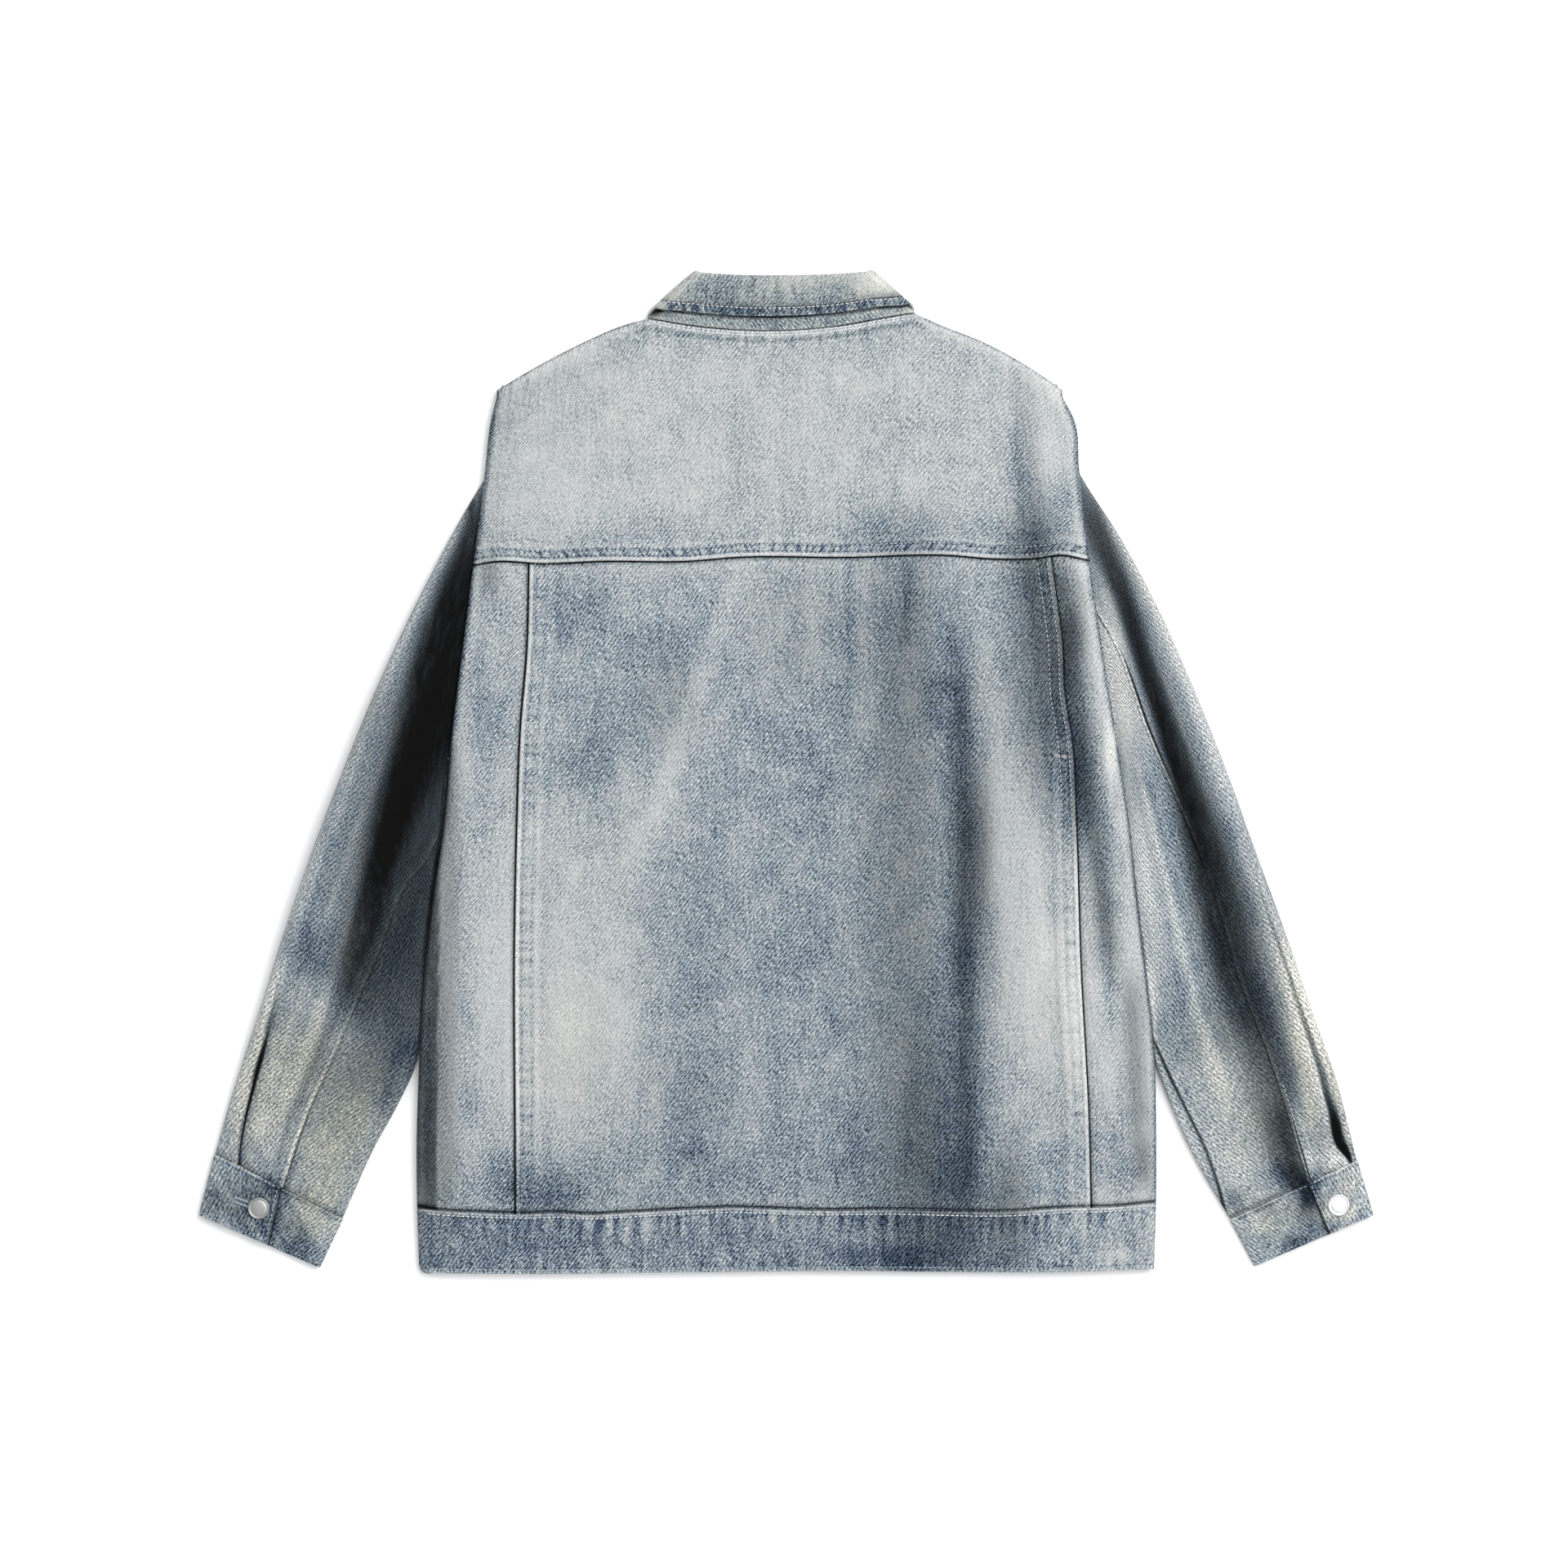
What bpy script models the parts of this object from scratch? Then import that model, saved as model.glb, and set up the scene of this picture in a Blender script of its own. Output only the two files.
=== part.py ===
"""Denim jacket, laid out flat with its back up.

Run with blender --background --python part.py, or from Blender's text editor.
X runs across the jacket, Y from the hem to the collar, and Z up from the surface it lies on.
Sizes are in millimetres and become metres in cloth_piece. Heights are those of the middle of the cloth.
"""

import math

import bmesh
import bpy
import numpy as np

MM = 0.001

# x and y of the middle of the finished outline, which becomes the origin
MIDDLE = (1.44, 0.155)

# Thickness of the cloth, one layer or sewn double
CLOTH = 1.4
BAND_CLOTH = 2.6
COLLAR_CLOTH = 1.8
CUFF_CLOTH = 2.4
SEAM_GAP = 0.4
TURNED_SEAM_GAP = 0.8
LAYER_GAP = 0.35

# Heights
GROUND = CLOTH / 2
BACK_HEIGHT = 9.6
BACK_HEM_HEIGHT = 7.6
ARMHOLE_DROP = 2.4
SIDE_SEAM_HEIGHT = 6.3
SHOULDER_SEAM_HEIGHT = 5.0

# Horizontal radius of the folds at the sides and shoulders
SIDE_TURN = 6.0
SHOULDER_TURN = 4.0

# Body outline. Columns: y, x of the left edge, x of the right edge
BODY_OUTLINE = [
    (-374, -272.5, 276.0),
    (-326, -274.2, 277.5),
    (-277, -274.6, 277.6),
    (-216, -272.7, 276.2),
    (-155, -269.3, 270.2),
    (-94, -262.4, 262.8),
    (-33, -253.8, 256.4),
    (28, -248.6, 247.4),
    (89, -241.3, 237.8),
    (156, -232.7, 227.9),
    (229, -223.6, 220.2),
    (266, -219.3, 216.6),
    (284, -215.0, 207.7),
]

# Shoulder and neck line of the back. Columns: x, y
SHOULDER_LINE = [
    (-215, 284),
    (-195, 296.2),
    (-149, 320.6),
    (-122, 332.4),
    (-102, 338.2),
]
BACK_NECK = [
    (-102, 338.2),
    (-68, 332.6),
    (-12, 329.0),
    (44, 333.1),
    (78, 339.2),
    (97, 342.2),
]
SHOULDER_LINE_RIGHT = [
    (97, 342.2),
    (116, 333.4),
    (148, 320.6),
    (190, 296.8),
    (208, 284),
]

# Seams of the back. Columns: x, y across it, or y, x up it
YOKE_SEAM = [
    (-232, 156.6),
    (-200, 159.4),
    (-89, 159.7),
    (-42, 162.3),
    (46, 162.4),
    (124, 162.6),
    (202, 163.0),
    (226, 161.0),
]
HEM_SEAM = [
    (-274, -327.6),
    (-195, -330.6),
    (-79, -327.0),
    (73, -327.0),
    (155, -327.4),
    (277, -322.4),
]
HEM_EDGE = [
    (-274, -372.6),
    (-256, -373.6),
    (-196, -374.4),
    (-98, -373.4),
    (24, -372.2),
    (237, -372.2),
    (277, -370.6),
]
LEFT_PANEL_SEAM = [
    (-332, -197.6),
    (-265, -198.6),
    (-143, -198.9),
    (-58, -198.4),
    (70, -193.6),
    (160, -188.8),
]
RIGHT_PANEL_SEAM = [
    (-332, 227.4),
    (-265, 226.4),
    (-186, 220.9),
    (-79, 217.8),
    (2, 214.1),
    (93, 205.4),
    (162, 198.0),
]

# Front neckline, from the neck corners down to the middle. Columns: x, y
FRONT_NECK = [
    (-102, 338.2),
    (-84, 306.0),
    (-48, 274.0),
    (0, 262.0),
    (46, 275.0),
    (80, 309.0),
    (97, 342.2),
]
FRONT_LAP = 15.0
FRONT_LAYER = CLOTH + LAYER_GAP

# Large soft folds of the back.
# Columns: x, y of one end, x, y of the other, rise, width on the left and on the right of the fold
BODY_FOLDS = [
    (-251, 40, -258, -312, 8.5, 12, 34),
    (-206, 280, -214, 170, 1.6, 9, 24),
    (221, 190, 262, -70, 6.0, 27, 16),
    (252, -60, 262, -300, 4.5, 30, 20),
    (180, 318, 184, 176, 2.6, 13, 26),
    (160, 70, 176, -350, 2.8, 17, 40),
    (128, 96, 134, -350, -2.2, 26, 14),
    (46, 160, 60, 20, 1.4, 10, 24),
    (-60, 150, -110, -70, 1.5, 30, 24),
    (-190, 60, -176, -300, 1.4, 22, 40),
]

# Sleeves, from the armhole to the cuff. Columns: x, y of the outer fold, x, y of the inner fold,
# height of the roll along the outer fold, of the valley beside it, and of the inner part,
# where the valley lies and where the back seam lies, both as a share of the width from the inner fold
LEFT_SLEEVE = [
    (-207.0, 248.0, -233.5, 40.0, 4.4, 4.4, 4.2, 0.50, -0.30),
    (-229.7, 211.0, -246.5, 20.0, 5.0, 4.6, 4.2, 0.50, -0.30),
    (-251.0, 174.0, -253.6, -9.0, 9.0, 5.2, 4.8, 0.50, -0.24),
    (-277.8, 122.0, -257.6, -52.0, 15.0, 5.8, 6.0, 0.50, 0.02),
    (-304.7, 64.4, -263.6, -91.0, 20.0, 6.4, 7.0, 0.48, 0.15),
    (-330.9, 0.3, -268.6, -131.0, 23.0, 6.8, 7.4, 0.46, 0.32),
    (-354.1, -60.7, -272.6, -174.0, 24.0, 7.0, 7.4, 0.46, 0.40),
    (-374.2, -118.6, -274.8, -214.0, 21.0, 7.2, 7.6, 0.46, 0.48),
    (-393.1, -179.6, -289.5, -248.6, 16.0, 7.4, 8.0, 0.50, 0.50),
    (-409.0, -231.5, -308.4, -283.4, 11.0, 7.2, 8.0, 0.50, 0.50),
    (-424.3, -285.2, -330.3, -332.6, 7.0, 7.0, 7.0, 0.50, 0.48),
]
RIGHT_SLEEVE = [
    (206.0, 248.0, 231.5, 40.0, 4.4, 4.4, 4.2, 0.50, 0.50),
    (227.8, 211.0, 245.6, 20.0, 5.0, 4.6, 4.2, 0.50, 0.50),
    (251.6, 174.0, 253.8, -9.0, 10.0, 5.2, 4.8, 0.62, 0.52),
    (279.1, 122.0, 259.6, -52.0, 17.0, 5.6, 6.0, 0.64, 0.53),
    (304.7, 64.4, 264.8, -91.0, 21.0, 5.8, 7.0, 0.64, 0.59),
    (330.3, 0.3, 268.8, -131.0, 24.0, 6.0, 8.0, 0.62, 0.66),
    (352.3, -60.7, 272.6, -174.0, 25.0, 6.2, 8.4, 0.60, 0.70),
    (373.6, -118.6, 276.2, -212.0, 23.0, 6.4, 8.6, 0.60, 0.69),
    (394.4, -179.6, 292.0, -256.0, 18.0, 6.6, 8.6, 0.64, 0.70),
    (412.0, -231.5, 309.2, -292.4, 12.0, 6.8, 8.0, 0.66, 0.67),
    (426.8, -290.0, 333.4, -333.4, 7.0, 7.0, 7.0, 0.60, 0.64),
]
SLEEVE_ROWS = len(LEFT_SLEEVE) - 1
OUTER_TURN = [(0, 3.5), (2, 5), (4, 9), (7, 9), (9, 5), (10, 4)]
INNER_TURN = 3.2
# How far a sleeve's inner fold lies from the body's side
SLEEVE_BESIDE = CLOTH + LAYER_GAP
FRONT_SEAM_SHARE = 0.30

# Pleats above the cuffs. Columns: row of the sleeve, share of the width from the inner fold, depth
LEFT_PLEAT = [(7.4, 0.91, 0.0), (8.2, 0.90, 1.2), (9.2, 0.87, 2.2), (10, 0.81, 2.4)]
RIGHT_PLEAT = [(6.8, 0.91, 0.0), (8.0, 0.90, 1.8), (9.0, 0.88, 3.0), (10, 0.88, 3.4)]
PLEAT_WIDTH = 7.0

# Cuffs. Columns: x, y of the outer and of the inner corner of the edge, and where the lapped end lies
# at the sleeve and at the edge, as a share of the width from the inner fold
LEFT_CUFF_EDGE = (-436.0, -331.0, -347.9, -369.4, 0.49, 0.43)
RIGHT_CUFF_EDGE = (438.8, -331.0, 352.0, -368.2, 0.62, 0.64)
CUFF_UNDERLAP = 0.30
CUFF_TURN = 3.4

# Buttons. Columns of FRONT_BUTTONS: y
BUTTON_RADIUS = 8.2
BUTTON_HEIGHT = 2.4
LEFT_CUFF_BUTTON = (-392.2, -325.4)
RIGHT_CUFF_BUTTON = (413.6, -323.0)
FRONT_BUTTONS = [-262, -152, -42, 68, 178]
BUTTON_LIFT = BUTTON_HEIGHT + LAYER_GAP
PLACKET_WIDTH = 21.0

# Collar. Columns of COLLAR_FOLD: x, y of its top fold. Heights of the stand at the back and at the front
COLLAR_FOLD = [(-64, 372.8), (-40, 371.3), (2, 370.8), (44, 372.0), (63, 373.3)]
COLLAR_FOLD_FRONT_DROP = 66.0
STAND_BACK_HEIGHT = 9.4
STAND_TURN = 3.2
FALL_OFFSET = COLLAR_CLOTH + 0.6
COLLAR_INSET = 3.4
STAND_FRONT_HEIGHT = FALL_OFFSET + COLLAR_CLOTH / 2
STAND_TOP = 0.93
COLLAR_END_GAP = 3.0
# Where the collar turns over at the neck corners, as shares of the way round
COLLAR_TURN_START = 0.22
COLLAR_TURN_SPAN = 0.08
# Where the fall's free edge lies, as a share of the stand's height above the neck seam.
# Columns: share of the way round from one end at the front to the other, height share
FALL_EDGE = [
    (0.00, -0.62),
    (0.073, -0.95),
    (0.22, -0.10),
    (0.27, 0.16),
    (0.34, 0.24),
    (0.50, 0.26),
    (0.66, 0.24),
    (0.73, 0.16),
    (0.78, -0.10),
    (0.927, -0.95),
    (1.00, -0.62),
]
COLLAR_POINT_SPREAD = 0.055

# Colours, roughness and metallic value of the finishes
DENIM = ((0.30, 0.38, 0.45, 1), 0.92, 0.0)
PALE_DENIM = ((0.47, 0.52, 0.53, 1), 0.92, 0.0)
SHADED_DENIM = ((0.20, 0.26, 0.33, 1), 0.92, 0.0)
METAL = ((0.72, 0.74, 0.75, 1), 0.35, 1.0)


def smooth_step(value):
    """0 below 0, 1 above 1 and an eased ramp between."""
    value = np.clip(value, 0, 1)
    return value * value * (3 - 2 * value)


def through(table, at, column=1):
    """A column of a table as a smooth curve over its first column."""
    rows = np.array(table, float)
    places, values = rows[:, 0], rows[:, column]
    slopes = np.gradient(values, places)
    at = np.clip(at, places[0], places[-1])
    k = np.clip(np.searchsorted(places, at) - 1, 0, len(places) - 2)
    width = places[k + 1] - places[k]
    f = (at - places[k]) / width
    start = (1 + 2 * f) * (1 - f) ** 2 * values[k] + f * (1 - f) ** 2 * width * slopes[k]
    end = f * f * (3 - 2 * f) * values[k + 1] + f * f * (f - 1) * width * slopes[k + 1]
    return start + end


def mix(a, b, share):
    return a + (b - a) * share


def stations(*stretches):
    """Joins stretches (first, last, steps) into one list of places, without doubled ends."""
    places = [stretches[0][0]]
    for first, last, steps in stretches:
        places.extend(first + (last - first) * (k + 1) / steps for k in range(steps))
    return np.array(places, float)


def cloth_piece(name, columns, rows, surface, thickness, finish):
    """A sheet of cloth: a grid moved onto surface(column, row), in mm, and made thick both ways."""
    mesh = bpy.data.meshes.new(name)
    grid = bmesh.new()
    bmesh.ops.create_grid(grid, x_segments=len(columns) - 1, y_segments=len(rows) - 1, size=0.5)
    grid.to_mesh(mesh)
    grid.free()
    flat = np.empty(len(mesh.vertices) * 3)
    mesh.vertices.foreach_get("co", flat)
    place = flat.reshape(-1, 3) + 0.5
    column = np.interp(place[:, 0] * (len(columns) - 1), range(len(columns)), columns)
    row = np.interp(place[:, 1] * (len(rows) - 1), range(len(rows)), rows)
    points = np.stack(np.broadcast_arrays(*surface(column, row)), axis=1) - (*MIDDLE, 0)
    mesh.vertices.foreach_set("co", points.ravel() * MM)
    for polygon in mesh.polygons:
        polygon.use_smooth = True
    piece = bpy.data.objects.new(name, mesh)
    solidify = piece.modifiers.new("thickness", "SOLIDIFY")
    solidify.thickness = thickness * MM
    solidify.offset = 0
    finished(piece, finish)
    return piece


def finished(piece, finish):
    """Gives a piece its material and puts it in the jacket's collection."""
    colour, roughness, metallic = finish
    material = bpy.data.materials.new(piece.name)
    material.use_nodes = True
    shader = material.node_tree.nodes["Principled BSDF"]
    shader.inputs["Base Color"].default_value = colour
    shader.inputs["Roughness"].default_value = roughness
    shader.inputs["Metallic"].default_value = metallic
    piece.data.materials.append(material)
    bpy.data.collections["denim_jacket"].objects.link(piece)


def fold_rise(x, y, folds):
    """How far the soft folds of a table lift the cloth. Each fades over its ends."""
    rise = np.zeros(np.broadcast(x, y).shape)
    for x0, y0, x1, y1, height, left, right in folds:
        share = (y - y0) / (y1 - y0)
        aside = x - mix(x0, x1, share)
        width = np.where(aside < 0, left, right)
        ends = smooth_step(share / 0.25 + 0.5) * smooth_step((1 - share) / 0.25 + 0.5)
        rise += height * ends * np.exp(-((aside / width) ** 2))
    return rise


def outline(y, side):
    """The body's left edge (side -1) or right edge (side 1), at the middle of its turned cloth."""
    return through(BODY_OUTLINE, y, 1 if side < 0 else 2) - side * CLOTH / 2


def back_height(x, y):
    """Height of the back's cloth, with its folds, a little lower at the hem."""
    level = mix(BACK_HEM_HEIGHT, BACK_HEIGHT, smooth_step((y + 372) / 110))
    return level + fold_rise(x, y, BODY_FOLDS)


def side_turned(y):
    """1 where the back turns over at the side seam, 0 where it ends at the armhole."""
    return smooth_step((26 - y) / 22)


def turn_side(x, y, bend, side):
    """Carries a point of the back over its side.

    bend runs from 0, where the turn starts, to 1 at the edge.
    """
    height = back_height(x, y)
    turned = side_turned(y)
    angle = bend * math.pi / 2
    outward = SIDE_TURN * mix(bend, np.sin(angle), turned)
    drop = mix(ARMHOLE_DROP * bend**2, (height - SIDE_SEAM_HEIGHT) * (1 - np.cos(angle)), turned)
    return x + side * outward, height - drop


def shoulder_y(x):
    """The back's top edge: left shoulder, neck and right shoulder."""
    left = through(SHOULDER_LINE, x)
    neck = through(BACK_NECK, x)
    right = through(SHOULDER_LINE_RIGHT, x)
    return np.where(x < BACK_NECK[0][0], left, np.where(x > BACK_NECK[-1][0], right, neck))


def shoulder_turned(x):
    """1 over the shoulders and 0 along the neck."""
    return smooth_step((BACK_NECK[0][0] - 4 - x) / 12) + smooth_step((x - BACK_NECK[-1][0] - 4) / 12)


def yoke_surface(column, row):
    """The yoke, with its edges turned over at the armholes and shoulders.

    column: -1..1 across, with a turn from -1 to -2 and from 1 to 2. row: 0..1 up, 1..2 the turn.
    """
    up = np.clip(row, 0, 1)
    across = np.clip(column, -1, 1) / 2 + 0.5
    level = mix(160, 284, up)
    first = outline(level, -1) + SIDE_TURN
    last = outline(level, 1) - SIDE_TURN
    x = mix(first, last, across)
    for side in (-1, 1):
        bend = np.clip(side * column - 1, 0, 1)
        x = x + side * SIDE_TURN * bend
    start = through(YOKE_SEAM, x) + SEAM_GAP * 0.8
    turned = shoulder_turned(x)
    bend = np.clip(row - 1, 0, 1)
    angle = bend * math.pi / 2
    top = shoulder_y(x) - SHOULDER_TURN - SEAM_GAP / 2
    y = mix(start, top, up) + SHOULDER_TURN * mix(bend, np.sin(angle), turned)
    height = back_height(x, y)
    drop = turned * (height - SHOULDER_SEAM_HEIGHT - TURNED_SEAM_GAP / 2) * (1 - np.cos(angle))
    arm = ARMHOLE_DROP * np.clip(np.abs(column) - 1, 0, 1) ** 2
    return x, y, height - np.maximum(drop, arm)


def yoke_share(x):
    """The yoke's column at the x of an upright seam, so that both have their points there."""
    first = outline(160, -1) + SIDE_TURN
    last = outline(160, 1) - SIDE_TURN
    return 2 * float((x - first) / (last - first)) - 1


def between_seams(x, row):
    """y of a row of the panels: 0 at the hem seam, 1 at the yoke seam."""
    return mix(through(HEM_SEAM, x) + SEAM_GAP / 2, through(YOKE_SEAM, x) - SEAM_GAP / 2, row)


def panel_surface(column, row):
    """The middle panel: column 0 at the left upright seam, 1 at the right one."""
    level = mix(-327, 160, row)
    left = through(LEFT_PANEL_SEAM, level) + SEAM_GAP / 2
    right = through(RIGHT_PANEL_SEAM, level) - SEAM_GAP / 2
    x = mix(left, right, column)
    y = between_seams(x, row)
    return x, y, back_height(x, y)


def side_surface(side):
    """Of a side strip: column 0 at the upright seam, 1 where the turn starts and 2 at the side seam."""
    seam = LEFT_PANEL_SEAM if side < 0 else RIGHT_PANEL_SEAM

    def surface(column, row):
        level = mix(-327, 160, row)
        start = through(seam, level) + side * SEAM_GAP / 2
        x = mix(start, outline(level, side) - side * SIDE_TURN, np.clip(column, 0, 1))
        y = between_seams(x, row)
        x, z = turn_side(x, y, np.clip(column - 1, 0, 1), side)
        return x, y, z + TURNED_SEAM_GAP / 2 * side_turned(y) * np.clip(column - 1, 0, 1)

    return surface


def sleeve_table(side):
    return [(k, *row) for k, row in enumerate(LEFT_SLEEVE if side < 0 else RIGHT_SLEEVE)]


def front_edge(y, side):
    """Outer edge of a front: the side seam, then along the sleeve's armhole row, then the shoulder corner."""
    table = sleeve_table(side)
    tip_x, tip_y, under_x, under_y = table[0][1:5]
    armhole = mix(under_x, tip_x, np.clip((y - under_y) / (tip_y - under_y), 0, 1)) - side * 2.9
    corner = outline(y, side) - side * 3
    below = smooth_step((34 - y) / 26)
    above = smooth_step((y - tip_y - 4) / 12)
    return mix(mix(armhole, outline(y, side), below), corner, above)


def front_height(x, y, lapped_over):
    """Height of a front above the ground: over the collar's points, the buttons and the other front."""
    collar = smooth_step((y - 196) / 26) * smooth_step((160 - np.abs(x)) / 40)
    placket = smooth_step((PLACKET_WIDTH + 16 - np.abs(x)) / 16) * smooth_step((y + 318) / 34)
    lift = np.maximum((STAND_FRONT_HEIGHT - GROUND) * collar, BUTTON_LIFT * placket)
    if lapped_over:
        lift = lift + FRONT_LAYER * smooth_step((FRONT_LAP + 10 - x) / 9)
    return GROUND + lift


def front_surface(side):
    """Of a front: column 0 at its middle edge, 1 where the turn starts, 2 at the side seam.

    row: 0..1 up to where the shoulder's turn starts, 1..2 the turn.
    """

    def surface(column, row):
        up = np.clip(row, 0, 1)
        across = np.clip(column, 0, 1)
        level = mix(-327, 284, up)
        turn = np.where(level < 30, SIDE_TURN, 3.0)
        outer = front_edge(level, side) - side * turn
        x = mix(-side * FRONT_LAP, outer, across)
        neck = through(FRONT_NECK, x) - SEAM_GAP
        top = np.where(np.abs(x - 2) < 98, neck, shoulder_y(x)) - SHOULDER_TURN
        y = mix(through(HEM_SEAM, x) + SEAM_GAP / 2, top, up)
        height = front_height(x, y, side > 0)
        bend = np.clip(column - 1, 0, 1)
        angle = bend * math.pi / 2
        turned = side_turned(y)
        x = x + side * turn * mix(bend, np.sin(angle), turned)
        rise = turned * (SIDE_SEAM_HEIGHT - TURNED_SEAM_GAP / 2 - height) * (1 - np.cos(angle))
        over = np.clip(row - 1, 0, 1)
        angle = over * math.pi / 2
        turned = shoulder_turned(x)
        y = y + SHOULDER_TURN * mix(over, np.sin(angle), turned)
        lift = turned * (SHOULDER_SEAM_HEIGHT - TURNED_SEAM_GAP / 2 - height) * (1 - np.cos(angle))
        return x, y, height + np.maximum(rise, lift)

    return surface


def band_surface(column, row):
    """The hem band, right round. row: 0 at the edge, 1 at the seam.

    column: 0..1 left front, 1..2 left fold, 2..3 back, 3..4 right fold, 4..5 right front.
    """
    half = BAND_CLOTH / 2
    level = mix(-372, -327, row)
    left = outline(level, -1) + (BAND_CLOTH - CLOTH) / 2
    right = outline(level, 1) - (BAND_CLOTH - CLOTH) / 2
    first, last = left + SIDE_TURN, right - SIDE_TURN
    front_left = mix(FRONT_LAP, first, np.clip(column, 0, 1))
    front_right = mix(last, -FRONT_LAP, np.clip(column - 4, 0, 1))
    back = mix(first, last, np.clip(column - 2, 0, 1))
    x = np.where(column <= 1, front_left, np.where(column >= 4, front_right, back))
    y = mix(through(HEM_EDGE, x), through(HEM_SEAM, x) - SEAM_GAP / 2, row)
    top = back_height(x, y) + half - GROUND
    under = half + (BAND_CLOTH + LAYER_GAP) * smooth_step((FRONT_LAP + 12 - x) / 10) * (column > 4)
    z = np.where((column >= 2) & (column <= 3), top, under)
    for side, start, corner in ((-1, 1, first), (1, 3, last)):
        share = np.clip(column - start, 0, 1)
        angle = (share if side < 0 else 1 - share) * math.pi
        at_fold = (column > start) & (column < start + 1)
        edge_top = back_height(corner, y) + half - GROUND
        middle, reach = (edge_top + half) / 2, (edge_top - half) / 2
        x = np.where(at_fold, corner + side * SIDE_TURN * np.sin(angle), x)
        z = np.where(at_fold, middle - reach * np.cos(angle), z)
    return x, y, z


def sleeve_row(side, row):
    """Outer point, inner point and heights of a sleeve at a row."""
    table = sleeve_table(side)
    values = [through(table, row, column) for column in range(1, 10)]
    beside = side * (outline(values[3], side) + side * SLEEVE_BESIDE)
    against = side * np.maximum(side * values[2], beside)
    values[2] = np.where(values[3] < 14, against, values[2])
    return values


def loop_point(loop, ends, heights, turns, valley):
    """A point round a flattened tube.

    loop: 0..1 over the top from the inner to the outer end, 1..1.5 round the outer end,
    1.5..2.1 back under, 2.1..2.5 round the inner end, and on from 0 again.
    """
    outer_x, outer_y, inner_x, inner_y = ends
    roll, dip, rise, ground = heights
    outer_turn, inner_turn = turns
    loop = np.mod(loop, 2.5)
    width = np.hypot(outer_x - inner_x, outer_y - inner_y)
    start, end = inner_turn, width - outer_turn
    share = np.clip(loop, 0, 1)
    inside = mix(rise, dip, smooth_step(share / valley))
    outside = mix(dip, roll, smooth_step((share - valley) / (1 - valley)))
    over = np.where(share < valley, inside, outside)
    outer_angle = np.clip((loop - 1) / 0.5, 0, 1) * math.pi
    inner_angle = np.clip((loop - 2.1) / 0.4, 0, 1) * math.pi
    under_share = np.clip((loop - 1.5) / 0.6, 0, 1)
    along = np.where(
        loop <= 1,
        mix(start, end, share),
        np.where(
            loop < 1.5,
            end + outer_turn * np.sin(outer_angle),
            mix(end, start, under_share) - inner_turn * np.sin(inner_angle),
        ),
    )
    outer_z = mix(ground, roll, (1 + np.cos(outer_angle)) / 2)
    inner_z = mix(ground, rise, (1 - np.cos(inner_angle)) / 2)
    z = np.where(loop <= 1, over, np.where(loop < 1.5, outer_z, inner_z))
    share_along = along / width
    return mix(inner_x, outer_x, share_along), mix(inner_y, outer_y, share_along), z


def sleeve_surface(side, upper):
    """The upper or the under half of a two-piece sleeve. column: 0..1 from seam to seam."""

    def surface(column, row):
        ox, oy, ix, iy, roll, dip, rise, valley, seam = sleeve_row(side, row)
        turns = through(OUTER_TURN, row), INNER_TURN
        back_seam = np.where(seam < 0, seam * 0.8, seam)
        front_seam = 2.1 - 0.6 * FRONT_SEAM_SHARE
        gap = SEAM_GAP * 0.6 / np.hypot(ox - ix, oy - iy)
        back_gap = mix(0.023, gap, smooth_step(back_seam / 0.06))
        if upper:
            loop = mix(back_seam + back_gap, front_seam - gap * 0.6, column)
        else:
            loop = mix(front_seam + gap * 0.6, 2.5 + back_seam - back_gap, column)
        x, y, z = loop_point(loop, (ox, oy, ix, iy), (roll, dip, rise, GROUND), turns, valley)
        pleat = LEFT_PLEAT if side < 0 else RIGHT_PLEAT
        aside = (loop - through(pleat, row)) * np.hypot(ox - ix, oy - iy) / PLEAT_WIDTH
        return x, y, z - through(pleat, row, 2) * np.exp(-(aside**2))

    return surface


def cuff_surface(side):
    """A cuff, from its lapped end round to the end under the lap. row: 0 at the sleeve, 1 at the edge."""
    edge_ox, edge_oy, edge_ix, edge_iy, lap_top, lap_edge = LEFT_CUFF_EDGE if side < 0 else RIGHT_CUFF_EDGE
    ox, oy, ix, iy = (float(value) for value in sleeve_row(side, SLEEVE_ROWS)[:4])
    half = CUFF_CLOTH / 2
    lower = half + CUFF_CLOTH + LAYER_GAP * 2
    upper = lower + CUFF_CLOTH + LAYER_GAP

    def surface(column, row):
        down = math.hypot(edge_ox - ox, edge_oy - oy)
        row = row + SEAM_GAP / down
        ends = [mix(a, b, row) for a, b in ((ox, edge_ox), (oy, edge_oy), (ix, edge_ix), (iy, edge_iy))]
        lap = mix(lap_top, lap_edge, row)
        loop = mix(lap, 2.5 + lap + CUFF_UNDERLAP, column)
        turns = CUFF_TURN, INNER_TURN
        x, y, z = loop_point(loop, ends, (upper, upper, lower + 0.9, half), turns, 0.5)
        second_time = loop >= 2.5
        ease = smooth_step((loop - 2.5) / np.maximum(lap - 0.04, 0.1))
        z = np.where(second_time, mix(lower + 0.9, lower, ease), z)
        z = np.where(loop <= 1, upper, z)
        return x, y, z

    return surface


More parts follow.
